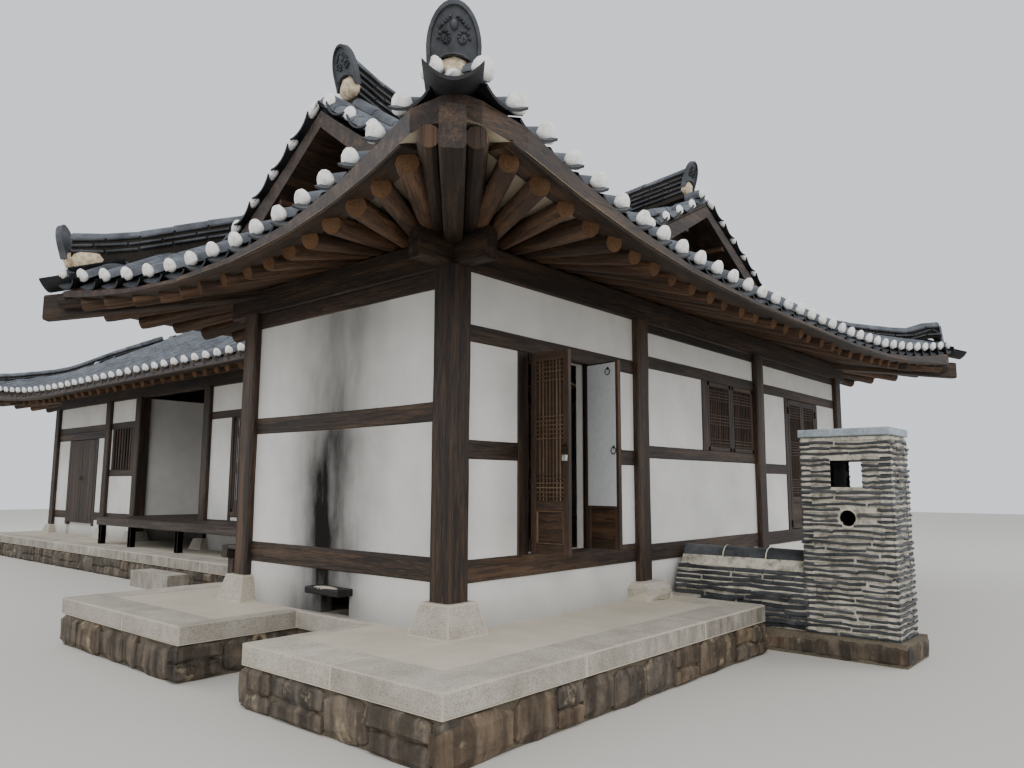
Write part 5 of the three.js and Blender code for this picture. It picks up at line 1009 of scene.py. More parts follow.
def end_tile(pile, top, out, across):
    """The domed plate that closes a ridge: arched below over a fill of lime, with a rim and a relief."""
    wide, tall, thick = END_TILE["wide"], END_TILE["tall"], END_TILE["thick"]
    base = top - UP * END_TILE["drop"] + out * END_TILE["out"]
    lean = (UP * 0.96 + out * 0.28).normalized()
    normal = across.cross(lean)
    normal = normal if normal.dot(out) > 0 else -normal
    axes = (across, lean, normal)
    outline = [(wide * 0.97, 0.0)]
    for angle in np.linspace(0, math.pi, 17):
        rise = math.sin(angle)
        outline.append((math.cos(angle) * wide * (1 - 0.05 * rise), tall * (0.40 + 0.60 * rise)))
    outline.append((-wide * 0.97, 0.0))
    for angle in np.linspace(0, math.pi, 9):
        outline.append((-math.cos(angle) * wide * 0.88, 0.105 * math.sin(angle)))
    heart = tall * 0.52

    def place(x, y, z):
        return base + across * x + lean * y + normal * z
    rings = ((1.0, -thick), (1.0, thick * 0.5), (0.93, thick * 0.8), (0.86, thick * 0.75),
             (0.82, thick * 0.3), (0.4, thick * 0.25))
    points = []
    for share, depth in rings:
        points += [place(x * share, heart + (y - heart) * share, depth) for x, y in outline]
    around = len(outline)
    faces = ring_faces(len(rings), around, closed=True)
    faces.append(list(range((len(rings) - 1) * around, len(rings) * around)))
    faces.append(list(range(around))[::-1])
    pile.add(points, facing(points, faces, normal, 2 * around + 3), None, 1)
    for side in (-1, 1):
        for k in range(12):
            angle = k * 0.6
            r = 0.042 * (1 - k / 15)
            spot = (side * (0.046 + math.cos(angle) * r * 0.8), tall * 0.5 + math.sin(angle) * r)
            lump(pile, place(*spot, thick * 0.4), axes, (0.010, 0.010, 0.012), 0.1, 1, 6, 4)
        for k in range(5):
            spot = (side * (0.02 + 0.013 * k), tall * (0.78 - 0.035 * k))
            lump(pile, place(*spot, thick * 0.4), axes, (0.012, 0.009, 0.012), 0.2, 1, 6, 4)
    lump(pile, place(0, tall * 0.68, thick * 0.35), axes, (0.022, 0.03, 0.018), 0.05, 1, 8, 5)
    lump(pile, place(0, -0.02, -0.012), axes, (0.128, 0.122, 0.045), 0.05, 2, 16, 8, 0.6)


def tip_tiles(pile, tip, out):
    """The corner of an eave: two hollow tiles set diagonally, one above the other, with lime between."""
    along = Vector((-out.y, out.x, 0))
    inward = (Vector((-out.x, -out.y, 0)) + UP * 0.22).normalized()
    normal = upright(inward, along)
    for back, rise, wide, deep in ((0.03, -0.11, 0.30, 0.080), (0.27, 0.0, 0.27, 0.06)):
        place = tip - out * back + UP * rise
        flat_tile(pile, (place, inward, along, normal), (place + inward * 0.5, inward, along, normal),
                  wide, deep, 0.018, 0.012, True, 13)
    lump(pile, place - UP * 0.035 + out * 0.01, (along, normal, out), (0.045, 0.03, 0.03), 0.15, 2, 8, 6)


# Timber frame

def timber(pile, low, high, axis=None, chamfer=0.008, bow=0.0, wobble=0.0015, slot=0):
    """A hand-hewn timber: its long edges are cut off and wander a little, and it may sag or rise."""
    low, high = np.array(low, float), np.array(high, float)
    size = high - low
    axis = int(size.argmax()) if axis is None else axis
    b, c = [(1, 2), (2, 0), (0, 1)][axis]
    if size[axis] < 0.35:
        pile.box(low, high, chamfer, axis, slot=slot)
        return
    count = max(2, min(9, int(size[axis] / 0.45) + 2))
    chamfer = min(chamfer, size[b] / 3, size[c] / 3)
    half_b, half_c = size[b] / 2, size[c] / 2
    profile = [(-half_b + chamfer, -half_c), (half_b - chamfer, -half_c), (half_b, -half_c + chamfer),
               (half_b, half_c - chamfer), (half_b - chamfer, half_c), (-half_b + chamfer, half_c),
               (-half_b, half_c - chamfer), (-half_b, -half_c + chamfer)]
    middle = (low + high) / 2
    points, grain = [], []
    seed = DICE.uniform(-30, 30, 3)
    for ring in range(count):
        share = ring / (count - 1)
        inner = 0 < ring < count - 1
        shift = DICE.uniform(-wobble, wobble, 2) if inner else np.zeros(2)
        for pb, pc in profile:
            point = middle.copy()
            point[axis] = low[axis] + size[axis] * share
            point[b] += pb + shift[0]
            point[c] += pc + shift[1]
            point[2] += bow * math.sin(math.pi * share)
            points.append(point)
            grain.append((size[axis] * share + seed[0], pb + seed[1], pc + seed[2]))
    faces = rod_faces(count, len(profile))
    pile.add(points, faces, grain, slot)


def timbers(pile, boxes, **more):
    for x, y, z in boxes:
        timber(pile, (x[0], y[0], z[0]), (x[1], y[1], z[1]), **more)


STREET_FACE = (0.05, 0.108)
POST = (0.0, 0.2)
HINGE_POSTS = ((0.909, 0.87), (1.70, 0.87), (6.18, 0.85), (7.14, 0.85))


def street_frame():
    """Posts, sills, rails, jambs and lintels of the street side and of the end wall."""
    pile = Pile()
    post_top = 2.99
    timbers(pile, [
        (POST, POST, (0.62, post_top)), (POST, (2.567, 2.767), (0.62, post_top)),
        ((2.45, 2.65), POST, (0.555, post_top)), ((5.131, 5.331), POST, (0.57, post_top)),
        ((7.925, 8.125), POST, (0.57, post_top)),
    ], axis=2, chamfer=0.014, wobble=0.003)
    face = STREET_FACE
    sill_face = (face[0] - 0.004, face[1])
    bay1, bay2, bay3 = (0.2, 2.45), (2.65, 5.131), (5.331, 7.925)
    sill, rail, bay3_rail = (0.72, 0.875), (1.606, 1.743), (1.57, 1.69)
    lintel, door3 = (2.55, 2.67), (0.875, 2.55)
    timbers(pile, [
        (bay1, sill_face, (0.734, 0.895)), (bay1, face, (2.461, 2.589)),
        ((0.2, 0.779), face, rail), ((1.83, 2.45), face, rail),
        ((0.779, 0.909), face, (0.895, 2.461)), ((1.70, 1.83), face, (0.895, 2.461)),
        (bay2, sill_face, sill), (bay2, face, (1.682, 1.80)), (bay2, face, lintel),
        ((3.82, 3.95), face, (1.80, 2.55)), (bay3, sill_face, sill), (bay3, face, lintel),
        ((6.08, 6.18), face, door3), ((7.14, 7.24), face, door3),
        ((5.331, 6.08), face, bay3_rail), ((7.24, 7.925), face, bay3_rail),
        ((2.65, 7.925), face, (2.90, 2.985)),
    ])
    for z, bow in (((0.744, 0.915), 0.0), ((1.872, 2.014), -0.008), ((2.844, 2.985), 0.0)):
        timber(pile, (0.05, 0.2, z[0]), (0.108, 2.567, z[1]), bow=bow)
    for x, foot in HINGE_POSTS:
        for z in (foot + 0.05, foot + 1.5):
            pile.box((x - 0.012, 0.032, z), (x + 0.012, 0.056, z + 0.09), 0.004, 2, slot=1)
    pile.piece("street_frame", ["pine", "iron"], slot="timber", replaces=(
        "corner_post", "left_post", "middle_post", "bay1_frame", "long_end_frame",
        "end_lower_beam", "end_middle_beam"))


def plates():
    """The ring of beams on the posts and the squared rafters of the corners."""
    pile = Pile()
    z = (2.98, 3.228)
    street_z = (2.985, z[1])
    timbers(pile, [
        ((0.04, 0.16), (-0.28, 3.067), street_z), ((-0.28, 8.425), (0.04, 0.16), street_z),
        ((7.965, 8.085), (0.16, 14.56), z), ((2.55, 8.085), (14.44, 14.56), z),
        ((2.49, 2.61), (2.73, 14.44), z), ((0.16, 2.49), (2.607, 2.727), z),
    ], chamfer=0.014)
    hip_beam(pile, (END_LINE, STREET_LINE), TIPS["near"][0])
    hip_beam(pile, (END_LINE, BACK_LINE), TIPS["left"][0], LOW_CORNER)
    hip_beam(pile, (REAR_LINE, STREET_LINE), TIPS["right"][0])
    pile.piece("wall_plates", ["pine", "rafter_pine"], slot="timber", replaces=("wall_plates",))


def all_rafters():
    """The logs under the eaves with their boards, and the two far corners."""
    for name, sides in (("street", ("street",)), ("end", ("end",)), ("small_back", ("small_back",)),
                        ("long", ("court", "rear", "far"))):
        pile = Pile()
        for side in sides:
            rafters(pile, SIDES[side])
            eave_board(pile, SIDES[side])
        if name == "long":
            hip_beam(pile, (REAR_LINE, FAR_LINE), TIPS["far"][0])
            hip_beam(pile, (COURT_LINE, FAR_LINE), TIPS["court"][0])
        pile.piece("rafters_" + name, ["rafter_pine", "cut_end", "board"], slot="timber",
                   replaces=("rafters_" + name,), smooth=True)


COURT_POSTS = [(x, y) for x in (COURT_LINE, REAR_LINE) for y in (BACK_LINE, 5.4, 8.1, 10.6, 11.9, FAR_LINE)]
FAR_POST = (5.287, FAR_LINE)
REAR_BAYS = ((0.2, 2.567), (2.767, 5.3), (5.5, 8.0), (8.2, 10.5), (10.7, 11.8), (12.0, 14.4))
REAR_WINDOWS = ((3.5, 4.6), (6.2, 7.3), (12.6, 13.7))
SILL, RAIL, LINTEL = (0.72, 0.87), (1.56, 1.68), (2.45, 2.57)
TALL_JAMB, SHORT_JAMB = (0.87, 2.45), (1.68, 2.45)


def court_frame():
    """Timber round the courtyard, the rear and the far end."""
    pile = Pile()
    for x, y in COURT_POSTS + [FAR_POST]:
        timber(pile, (x - 0.1, y - 0.1, 0.57), (x + 0.1, y + 0.1, 2.99), 2, 0.014, wobble=0.003)
    face = (2.50, 2.558)
    kitchen = (12.38, 13.82)
    for low, high in ((2.767, 5.3), (5.5, 8.0), (10.7, 11.8), (12.0, 14.4)):
        sills = [(low, high)] if high < kitchen[0] else [(low, kitchen[0]), (kitchen[1], high)]
        timbers(pile, [(face, y, SILL) for y in sills] + [(face, (low, high), LINTEL)])
    timbers(pile, [
        (face, (2.767, 5.3), RAIL), (face, (10.7, 11.8), RAIL), (face, (12.0, 14.4), (2.30, 2.45)),
        (face, (12.38, 12.5), (0.60, 2.30)), (face, (13.70, 13.82), (0.60, 2.30)),
        (face, (6.12, 6.2), TALL_JAMB), (face, (7.3, 7.38), TALL_JAMB), (face, (6.2, 7.3), (0.92, 1.0)),
        (face, (10.82, 10.9), SHORT_JAMB), (face, (11.65, 11.73), SHORT_JAMB),
    ])
    for y in np.arange(10.98, 11.62, 0.115):
        timber(pile, (2.51, y - 0.02, SHORT_JAMB[0]), (2.545, y + 0.02, SHORT_JAMB[1]), 2, 0.006)
    back = (2.66, 2.717)
    timbers(pile, [((0.2, 2.45), back, SILL), ((0.2, 2.45), back, LINTEL), ((0.82, 0.9), back, TALL_JAMB),
                   ((1.75, 1.83), back, TALL_JAMB), ((0.9, 1.75), back, (0.92, 1.0))])
    rear = (8.017, 8.075)
    for bay in REAR_BAYS:
        timbers(pile, [(rear, bay, z) for z in (SILL, RAIL, LINTEL)])
    for low, high in REAR_WINDOWS:
        timbers(pile, [(rear, (low - 0.08, low), SHORT_JAMB), (rear, (high, high + 0.08), SHORT_JAMB)])
        for y in np.linspace(low, high, 12)[1:-1]:
            timber(pile, (8.03, y - 0.015, SHORT_JAMB[0]), (8.06, y + 0.015, SHORT_JAMB[1]), 2, 0.005)
    for bay in ((2.65, 5.187), (5.387, 7.925)):
        timbers(pile, [(bay, (14.492, 14.55), z) for z in (SILL, RAIL, LINTEL)])
    pile.piece("court_frame", ["pine"], slot="timber",
               replaces=("courtyard_frame", "rear_frame", "far_frame"))


def skin_panels(pile, boxes):
    """Coats of plaster between the timbers, which meet behind them."""
    for x, y, z in boxes:
        pile.box((x[0], y[0], z[0]), (x[1], y[1], z[1]), 0.0004, 2)


def plaster_skins():
    """The street side's, the end wall's and all the other walls' plaster."""
    front = (0.061, 0.11)
    pile = Pile()
    skin_panels(pile, [
        ((0.19, 2.46), front, (0.39, 0.80)), ((0.19, 0.84), front, (0.80, 2.52)),
        ((1.77, 2.46), front, (0.80, 2.52)), ((0.19, 2.46), front, (2.52, 2.985)),
        ((2.64, 5.14), front, (0.30, 0.80)), ((2.64, 5.14), front, (0.80, 1.74)),
        ((2.64, 3.88), front, (1.74, 2.61)), ((2.64, 5.14), front, (2.61, 2.95)),
        ((5.32, 7.94), front, (0.30, 0.80)), ((5.32, 6.13), front, (0.80, 2.61)),
        ((7.19, 7.94), front, (0.80, 2.61)), ((5.32, 7.94), front, (2.61, 2.95)),
    ])
    pile.piece("street_plaster", ["plaster"], slot="plaster")
    pile = Pile()
    skin_panels(pile, [
        (front, (0.19, 1.15), (0.30, 0.80)), (front, (1.515, 2.58), (0.30, 0.80)),
        (front, (1.15, 1.515), (0.615, 0.80)), (front, (0.19, 2.58), (0.80, 1.94)),
        (front, (0.19, 2.58), (1.94, 2.86)),
    ])
    pile.piece("end_plaster", ["sooty"], slot="plaster")
    pile = Pile()
    court = (2.512, 2.5602)
    skin_panels(pile, [
        (court, (2.76, 5.31), (0.38, 2.985)), (court, (5.49, 8.01), (0.38, 0.80)),
        (court, (5.49, 6.16), (0.80, 2.50)), (court, (7.34, 8.01), (0.80, 2.50)),
        (court, (6.16, 7.34), (0.80, 0.95)), (court, (5.49, 8.01), (2.50, 2.985)),
        (court, (10.69, 11.81), (0.38, 1.62)), (court, (10.69, 10.86), (1.62, 2.50)),
        (court, (11.69, 11.81), (1.62, 2.50)), (court, (10.69, 11.81), (2.50, 2.985)),
        (court, (11.99, 12.44), (0.38, 2.37)), (court, (13.76, 14.41), (0.38, 2.37)),
        (court, (11.99, 14.41), (2.37, 2.985)),
    ])
    back = (2.657, 2.705)
    skin_panels(pile, [
        ((0.19, 2.46), back, (0.38, 0.80)), ((0.19, 0.86), back, (0.80, 2.50)),
        ((1.79, 2.46), back, (0.80, 2.50)), ((0.86, 1.79), back, (0.80, 0.95)),
        ((0.19, 2.46), back, (2.50, 2.985)),
    ])
    rear = (8.0152, 8.062)
    for low, high in REAR_BAYS:
        y = (low - 0.01, high + 0.01)
        hole = next((window for window in REAR_WINDOWS if low < window[0] < high), None)
        skin_panels(pile, [(rear, y, (0.30, 1.62)), (rear, y, (2.50, 2.985))])
        skin_panels(pile, [(rear, y, (1.62, 2.50))] if hole is None else [
            (rear, (y[0], hole[0] - 0.04), (1.62, 2.50)), (rear, (hole[1] + 0.04, y[1]), (1.62, 2.50))])
    far = (14.4902, 14.538)
    skin_panels(pile, [((2.64, 5.2), far, (0.30, 2.985)), ((5.38, 7.94), far, (0.30, 2.985))])
    pile.piece("court_plaster", ["plaster"], slot="plaster")


# Doors and windows

class Leaf:
    """A door leaf in its own frame: u runs from the pin across the leaf, w from the street face inwards."""

    def __init__(self, pin, hand, angle):
        self.hand = hand
        self.turn = Matrix.Translation((*pin, 0)) @ Matrix.Rotation(math.radians(angle), 4, "Z")
        self.pile = Pile()

    def box(self, u, w, z, axis=None, slot=0, chamfer=0.003):
        a, b = sorted((self.hand * (u[0] + 0.006), self.hand * (u[1] + 0.006)))
        self.pile.box((a, w[0] + 0.006, z[0]), (b, w[1] + 0.006, z[1]), chamfer, axis, self.turn, slot)

    def place(self, u, w, z):
        return self.turn @ Vector((self.hand * (u + 0.006), w + 0.006, z))


def ring_pull(leaf, u, w, z, radius=0.027, turned=1):
    """An iron ring that hangs from an eye."""
    wire, around, section = 0.0035, 16, 6
    normal = (leaf.place(u, w + 0.1 * turned, z) - leaf.place(u, w, z)).normalized()
    across = (leaf.place(u + 0.1, w, z) - leaf.place(u, w, z)).normalized()
    centre = leaf.place(u, w + 0.008 * turned, z) - UP * radius
    points = []
    for angle in (2 * math.pi * k / around for k in range(around)):
        out = across * math.cos(angle) + UP * math.sin(angle)
        for turn in (2 * math.pi * m / section for m in range(section)):
            points.append(centre + out * (radius + wire * math.cos(turn)) + normal * wire * math.sin(turn))
    faces = ring_faces(around, section, closed=True)
    last = (around - 1) * section
    faces += [[last + k, last + (k + 1) % section, (k + 1) % section, k] for k in range(section)]
    leaf.pile.add(points, faces, None, 2)
    eye = leaf.place(u, w + 0.002 * turned, z)
    lump(leaf.pile, eye, (across, UP, normal), (0.010, 0.014, 0.008), 0.02, 2, 8, 5)


STILE = 0.055
LEAF_RAIL = 0.07
PANEL_TOP = 0.33
BAR_PITCH = 0.039
BAR_GROUPS = ((0.015, 5), (0.40, 6), (0.81, 6))


def lattice_leaf(name, pin, hand, angle, size, foot, bars_finish="lattice_bar", lock=False):
    """A leaf with a board panel at its foot and slender bars above, papered on its inner face."""
    wide, tall = size
    leaf = Leaf(pin, hand, angle)
    z = foot
    inner = (STILE, wide - STILE)
    for u in ((0, STILE), (wide - STILE, wide)):
        leaf.box(u, (0, 0.035), (z, z + tall), 2)
    for low, high in ((0, LEAF_RAIL), (PANEL_TOP, PANEL_TOP + LEAF_RAIL), (tall - LEAF_RAIL, tall)):
        leaf.box(inner, (0.001, 0.034), (z + low, z + high), 0)
    leaf.box((0.05, wide - 0.05), (0.014, 0.026), (z + 0.06, z + 0.34), 0, 3)
    for low, high in ((0.072, 0.086), (0.314, 0.328)):
        leaf.box(inner, (0.002, 0.016), (z + low, z + high), 0, 4)
    for u in (STILE, wide - STILE - 0.014):
        leaf.box((u, u + 0.014), (0.002, 0.016), (z + 0.072, z + 0.328), 2, 4)
    bars = max(5, round((inner[1] - inner[0]) / BAR_PITCH))
    for k in range(1, bars + 1):
        u = inner[0] + (inner[1] - inner[0]) * k / (bars + 1)
        leaf.box((u - 0.005, u + 0.005), (0.004, 0.018), (z + 0.39, z + tall - 0.06), 2, 4, 0.002)
    height = tall - PANEL_TOP - 2 * LEAF_RAIL
    for start, count in BAR_GROUPS:
        for k in range(count):
            top = z + tall - LEAF_RAIL - height * start - 0.034 * k
            leaf.box(inner, (0.003, 0.017), (top - 0.010, top), 0, 4, 0.002)
    leaf.box((0.03, wide - 0.03), (0.0345, 0.0365), (z + 0.35, z + tall - 0.015), 2, 1, 0.0004)
    # A dark brown sheet between the bars and the white paper: painted shade on the paper seen from outside
    leaf.box((0.05, wide - 0.05), (0.022, 0.026), (z + 0.36, z + tall - 0.05), 2, 5, 0.001)
    ring_pull(leaf, wide * 0.72, 0.037, z + tall - 0.06)
    ring_pull(leaf, wide - 0.05, 0.037, z + tall * 0.535)
    ring_pull(leaf, wide - 0.028, -0.001, z + tall * 0.53, 0.022, -1)
    if lock:
        leaf.box((wide - 0.045, wide - 0.005), (-0.03, -0.006), (z + tall * 0.45, z + tall * 0.48), 2, 6)
        ring_pull(leaf, wide - 0.025, -0.014, z + tall * 0.505, 0.018, -1)
    wood = "lattice" if bars_finish == "lattice_bar" else "board"
    leaf.pile.piece(name, [wood, "paper", "iron", "board", bars_finish, "paper_in_painted_shade", "brass"],
                    body=name, slot="timber_dark", replaces=(name,))


def plank_leaf(name, pin, hand):
    """A kitchen leaf of upright planks on two battens."""
    leaf = Leaf(pin, hand, -90)
    wide, tall, foot = 0.589, 1.644, 0.648
    edges = [0, 0.14, 0.29, 0.45, wide]
    for low, high in zip(edges, edges[1:]):
        thick = 0.016 + DICE.uniform(-0.001, 0.001)
        leaf.box((low + 0.001, high - 0.001), (0, thick), (foot, foot + tall), 2)
    for z in (foot + 0.25, foot + 1.30):
        leaf.box((0.01, wide - 0.01), (0.016, 0.030), (z, z + 0.08), 0)
    ring_pull(leaf, wide - 0.05, -0.001, foot + tall * 0.55, 0.03, -1)
    leaf.pile.piece(name, ["board", "paper", "iron"], body=name, slot="timber_dark", replaces=(name,))


def window_lattice(pile, u, z, bars, across, depth, normal_axis):
    """Slender bars in an opening from u[0] to u[1] and z[0] to z[1] of a wall that faces normal_axis."""
    along = 1 - normal_axis
    (u0, u1), (z0, z1) = u, z

    def put(width, height, near, slot):
        low, high = [0, 0, height[0]], [0, 0, height[1]]
        low[along], high[along] = width
        low[normal_axis], high[normal_axis] = near
        pile.box(low, high, 0.002, None, slot=slot)
    for width in ((u0, u0 + 0.04), (u1 - 0.04, u1)):
        put(width, z, depth, 0)
    for height in ((z0, z0 + 0.045), (z1 - 0.045, z1)):
        put(u, height, depth, 0)
    thin = (depth[0] + 0.004, depth[0] + 0.017)
    half_bar = 0.0055
    for k in range(1, bars):
        middle = u0 + (u1 - u0) * k / bars
        put((middle - half_bar, middle + half_bar), (z0 + 0.03, z1 - 0.03), thin, 4)
    for start in (0.04, 0.45, 0.86):
        for k in range(across):
            middle = z0 + 0.05 + (z1 - z0 - 0.1) * start + 0.034 * (k - across / 2 + 0.5)
            if z0 + 0.05 < middle < z1 - 0.05:
                put((u0 + 0.03, u1 - 0.03), (middle - half_bar, middle + half_bar), thin, 4)
    put((u0 + 0.02, u1 - 0.02), (z0 + 0.02, z1 - 0.02), (depth[0] + 0.022, depth[0] + 0.026), 1)


def windows():
    """The second bay's window and the four lights of the courtyard's two windows."""
    pile = Pile()
    for u in ((3.95, 4.505), (4.545, 5.10)):
        window_lattice(pile, u, (1.80, 2.55), 13, 4, (0.052, 0.084), 1)
    timber(pile, (4.505, 0.05, 1.80), (4.545, 0.086, 2.55), 2)
    # This window's paper is painted dark brown: painted shade on the paper seen through the bars
    pile.piece("bay2_window", ["board", "paper_in_painted_shade", "iron", "board", "dark_bar"],
               slot="timber_dark", replaces=("bay2_window",))
    pile = Pile()
    for u in ((6.2, 6.75), (6.75, 7.3)):
        window_lattice(pile, u, (1.0, 2.45), 12, 5, (2.515, 2.547), 0)
    for u in ((0.9, 1.325), (1.325, 1.75)):
        window_lattice(pile, u, (1.0, 2.40), 10, 5, (2.672, 2.70), 1)
    pile.piece("court_windows", ["board", "paper", "iron", "board", "dark_bar"], slot="timber_dark")


def doors():
    lattice_leaf("door_left", (0.909, 0.044), 1, -93, (0.3845, 1.550), 0.903, lock=True)
    lattice_leaf("door_right", (1.700, 0.044), -1, 80, (0.3845, 1.550), 0.903)
    lattice_leaf("side_door_left", (6.180, 0.044), 1, 0, (0.469, 1.659), 0.883, "dark_bar")
    lattice_leaf("side_door_right", (7.140, 0.044), -1, 0, (0.469, 1.659), 0.883, "dark_bar")
    plank_leaf("kitchen_door_left", (2.494, 13.700), 1)
    plank_leaf("kitchen_door_right", (2.494, 12.500), -1)


# Platform, stones, chimney and flue

OUTLINE = [(-0.99, -0.97), (2.87, -0.97), (2.87, -0.26), (8.525, -0.26), (8.525, 15.1), (1.48, 15.1),
           (1.48, 3.93), (-0.99, 3.93), (-0.99, 1.75), (0.002, 1.75), (0.002, 0.88), (-0.99, 0.88)]
PIT_EDGES = (8, 9, 10)


def boulder(pile, centre, axes, radii, square=3.2, rough=0.08, around=12, rings=7):
    """A squarish stone: rounder as square falls to 2, and each with its own dents."""
    tilt = [DICE.uniform(-0.25, 0.25, 3) for _ in range(4)]
    points = []
    for i in range(rings):
        polar = math.pi * (i + 0.4) / (rings - 0.2)
        for k in range(around):
            angle = 2 * math.pi * (k + 0.5) / around
            wide = math.sin(polar)
            unit = np.array([wide * math.cos(angle), wide * math.sin(angle), math.cos(polar)])
            grow = 1 / (np.abs(unit) ** square).sum() ** (1 / square)
            grow *= 1 + sum(max(0.0, float(unit @ t)) * 0.25 for t in tilt) - 0.06
            grow *= 1 + DICE.uniform(-rough, rough)
            reach = (axes[n] * float(unit[n] * radii[n] * grow) for n in range(3))
            points.append(centre + sum(reach, Vector()))
    wrap(pile, points, centre, rings, around)


def edges_of_platform():
    """Each edge's number, start, way along, way out and length."""
    for index, start in enumerate(OUTLINE):
        stop = OUTLINE[(index + 1) % len(OUTLINE)]
        way = Vector((stop[0] - start[0], stop[1] - start[1], 0))
        length = way.length
        way.normalize()
        yield index, Vector((*start, 0)), way, Vector((way.y, -way.x, 0)), length


def slab(pile, start, way, out, run, deep, z):
    """A kerb slab from run[0] to run[1] along an edge, deep inwards."""
    a = start + way * run[0] + out * 0.004
    b = start + way * run[1] - out * deep
    low = (min(a.x, b.x), min(a.y, b.y), z[0])
    high = (max(a.x, b.x), max(a.y, b.y), z[1])
    pile.box(low, high, 0.012, 2)


KERB_LENGTH = 1.15
KERB_DEEP, PIT_DEEP = 0.34, 0.12


def kerb():
    """The slabs along the edges, the plinth stones of the posts, and the courtyard's step."""
    pile = Pile()
    for index, start, way, out, length in edges_of_platform():
        count = max(1, round(length / KERB_LENGTH))
        marks = [0.0] + [length * (k + DICE.uniform(-0.16, 0.16)) / count for k in range(1, count)] + [length]
        deep = PIT_DEEP if index in PIT_EDGES else KERB_DEEP
        for low, high in zip(marks, marks[1:]):
            slab(pile, start, way, out, (low + 0.002, high - 0.002), deep,
                 (0.262 + DICE.uniform(0, 0.004), 0.403 + DICE.uniform(-0.001, 0.002)))
    for y in (STREET_LINE, BACK_LINE):
        frustum(pile, (END_LINE, y), 0.402, 0.282, (0.40, 0.621))
    for post in COURT_POSTS + [(5.231, STREET_LINE), (REAR_LINE, STREET_LINE), FAR_POST]:
        frustum(pile, post, 0.362, 0.262, (0.40, 0.571))
    axes = (Vector((1, 0, 0)), Vector((0, 1, 0)), UP)
    boulder(pile, Vector((2.56, 0.08, 0.455)), axes, (0.25, 0.24, 0.098), 3.6, 0.05)
    pile.box((1.182, 6.452, 0.0), (1.50, 7.548, 0.216), 0.012, 2)
    pile.piece("granite_kerb", ["granite"], slot="granite")


def frustum(pile, centre, wide, narrow, z):
    """A dressed footing stone that tapers upwards."""
    size = np.array([wide, wide, z[1] - z[0]])
    points = BOX_SIGNS * size / 2 - BOX_SIGNS * BOX_CUT * 0.012
    share = points[:, 2] / size[2] + 0.5
    points[:, :2] *= (1 - share * (1 - narrow / wide))[:, None]
    points += np.array([*centre, (z[0] + z[1]) / 2])
    pile.add(points, BOX_FACES)


# Height of the stones' bed under the kerb
RUBBLE_TOP = 0.26


def platform_stones():
    """Rough stones under the kerb, one or two high, with chips in the joints between them."""
    pile = Pile()
    for _, start, way, out, length in edges_of_platform():
        axes = (way, out, UP)
        place = 0.0
        while place < length - 0.05:
            wide = min(DICE.uniform(0.2, 0.62), length - place)
            single = DICE.random() < 0.6
            tall = DICE.uniform(0.235, 0.26) if single else DICE.uniform(0.10, 0.14)
            low = DICE.uniform(0.0, 0.01)
            middle = start + way * (place + wide / 2) - out * 0.065
            boulder(pile, middle + UP * (low + tall / 2), axes, (wide / 2 + 0.006, 0.075, tall / 2 + 0.003),
                    10, 0.03)
            if not single:
                rest = RUBBLE_TOP - low - tall
                boulder(pile, middle + UP * (RUBBLE_TOP - rest / 2), axes,
                        (wide / 2 + 0.005, 0.073, rest / 2 + 0.003), 9, 0.03)
            if DICE.random() < 0.4:
                chip = start + way * place - out * 0.03 + UP * DICE.uniform(0.05, 0.2)
                boulder(pile, chip, axes, (0.03, 0.03, 0.025), 2.4, around=8, rings=5)
            place += wide
    pile.piece("platform_stones", ["stone"], slot="rubble")


TOWER = {"x": (3.10, 3.60), "y": (-1.98, -1.255), "z": (0.18, 1.84)}
SMOKE_HOLE = {"y": (-1.76, -1.50), "z": (1.413, 1.640)}
ROUND_HOLE = {"y": -1.629, "z": 1.153, "r": 0.068}


def pillow(pile, start, way, out, run, z, height):
    """A bulge of mortar between two courses, from run[0] to run[1] along a face."""
    reach = DICE.uniform(0.0, 0.014)
    ends = ((run[0], 0.5), (run[0] + 0.03, 1.0), (run[1] - 0.03, 1.0), (run[1], 0.5))
    for first, last in zip(ends, ends[1:]):
        rows = [(start + way * place + out * (reach * share - 0.045) + UP * (z + height / 2), out)
                for place, share in (first, last)]
        strip(pile, rows, 0.09, height, 2, height * 0.42)


LAYER_DEPTH = 0.09


def layer(pile, start, stop, out, z, thick, skip=(), gap=0.026):
    """One course of broken tiles along a face and the mortar on it, free of the holes in skip."""
    way = stop - start
    length = way.length
    way.normalize()
    place = DICE.uniform(-0.12, 0.0)
    while place < length:
        wide = DICE.uniform(0.2, 0.42)
        low, high = max(place, -0.014) + 0.003, min(place + wide, length + 0.014) - 0.003
        place += wide + (DICE.uniform(0.008, 0.022) if DICE.random() < 0.3 else 0.0)
        for gap_low, gap_high in skip:
            if low < gap_low < high:
                high = gap_low
            elif gap_low <= low < gap_high:
                low = gap_high
        if high - low < 0.025:
            continue
        lift = DICE.uniform(-0.007, 0.007)
        reach = 0.018 + DICE.uniform(-0.008, 0.008)
        rows = []
        for share in (0.0, 0.5, 1.0):
            arch = 0.009 * (1 - (2 * share - 1) ** 2) * DICE.choice([-1, 1])
            centre = start + way * (low + (high - low) * share) + out * (reach - LAYER_DEPTH / 2)
            rows.append((centre + UP * (z + thick / 2 + lift + arch), out))
        strip(pile, rows, LAYER_DEPTH, thick * DICE.uniform(0.85, 1.1), 0, 0.005)
        if high - low > 0.1:
            pillow(pile, start, way, out, (low, high), z + (thick + gap) / 2, gap * 1.1)


COURSE_PITCH = 0.047
HOLE_FREE = 0.012


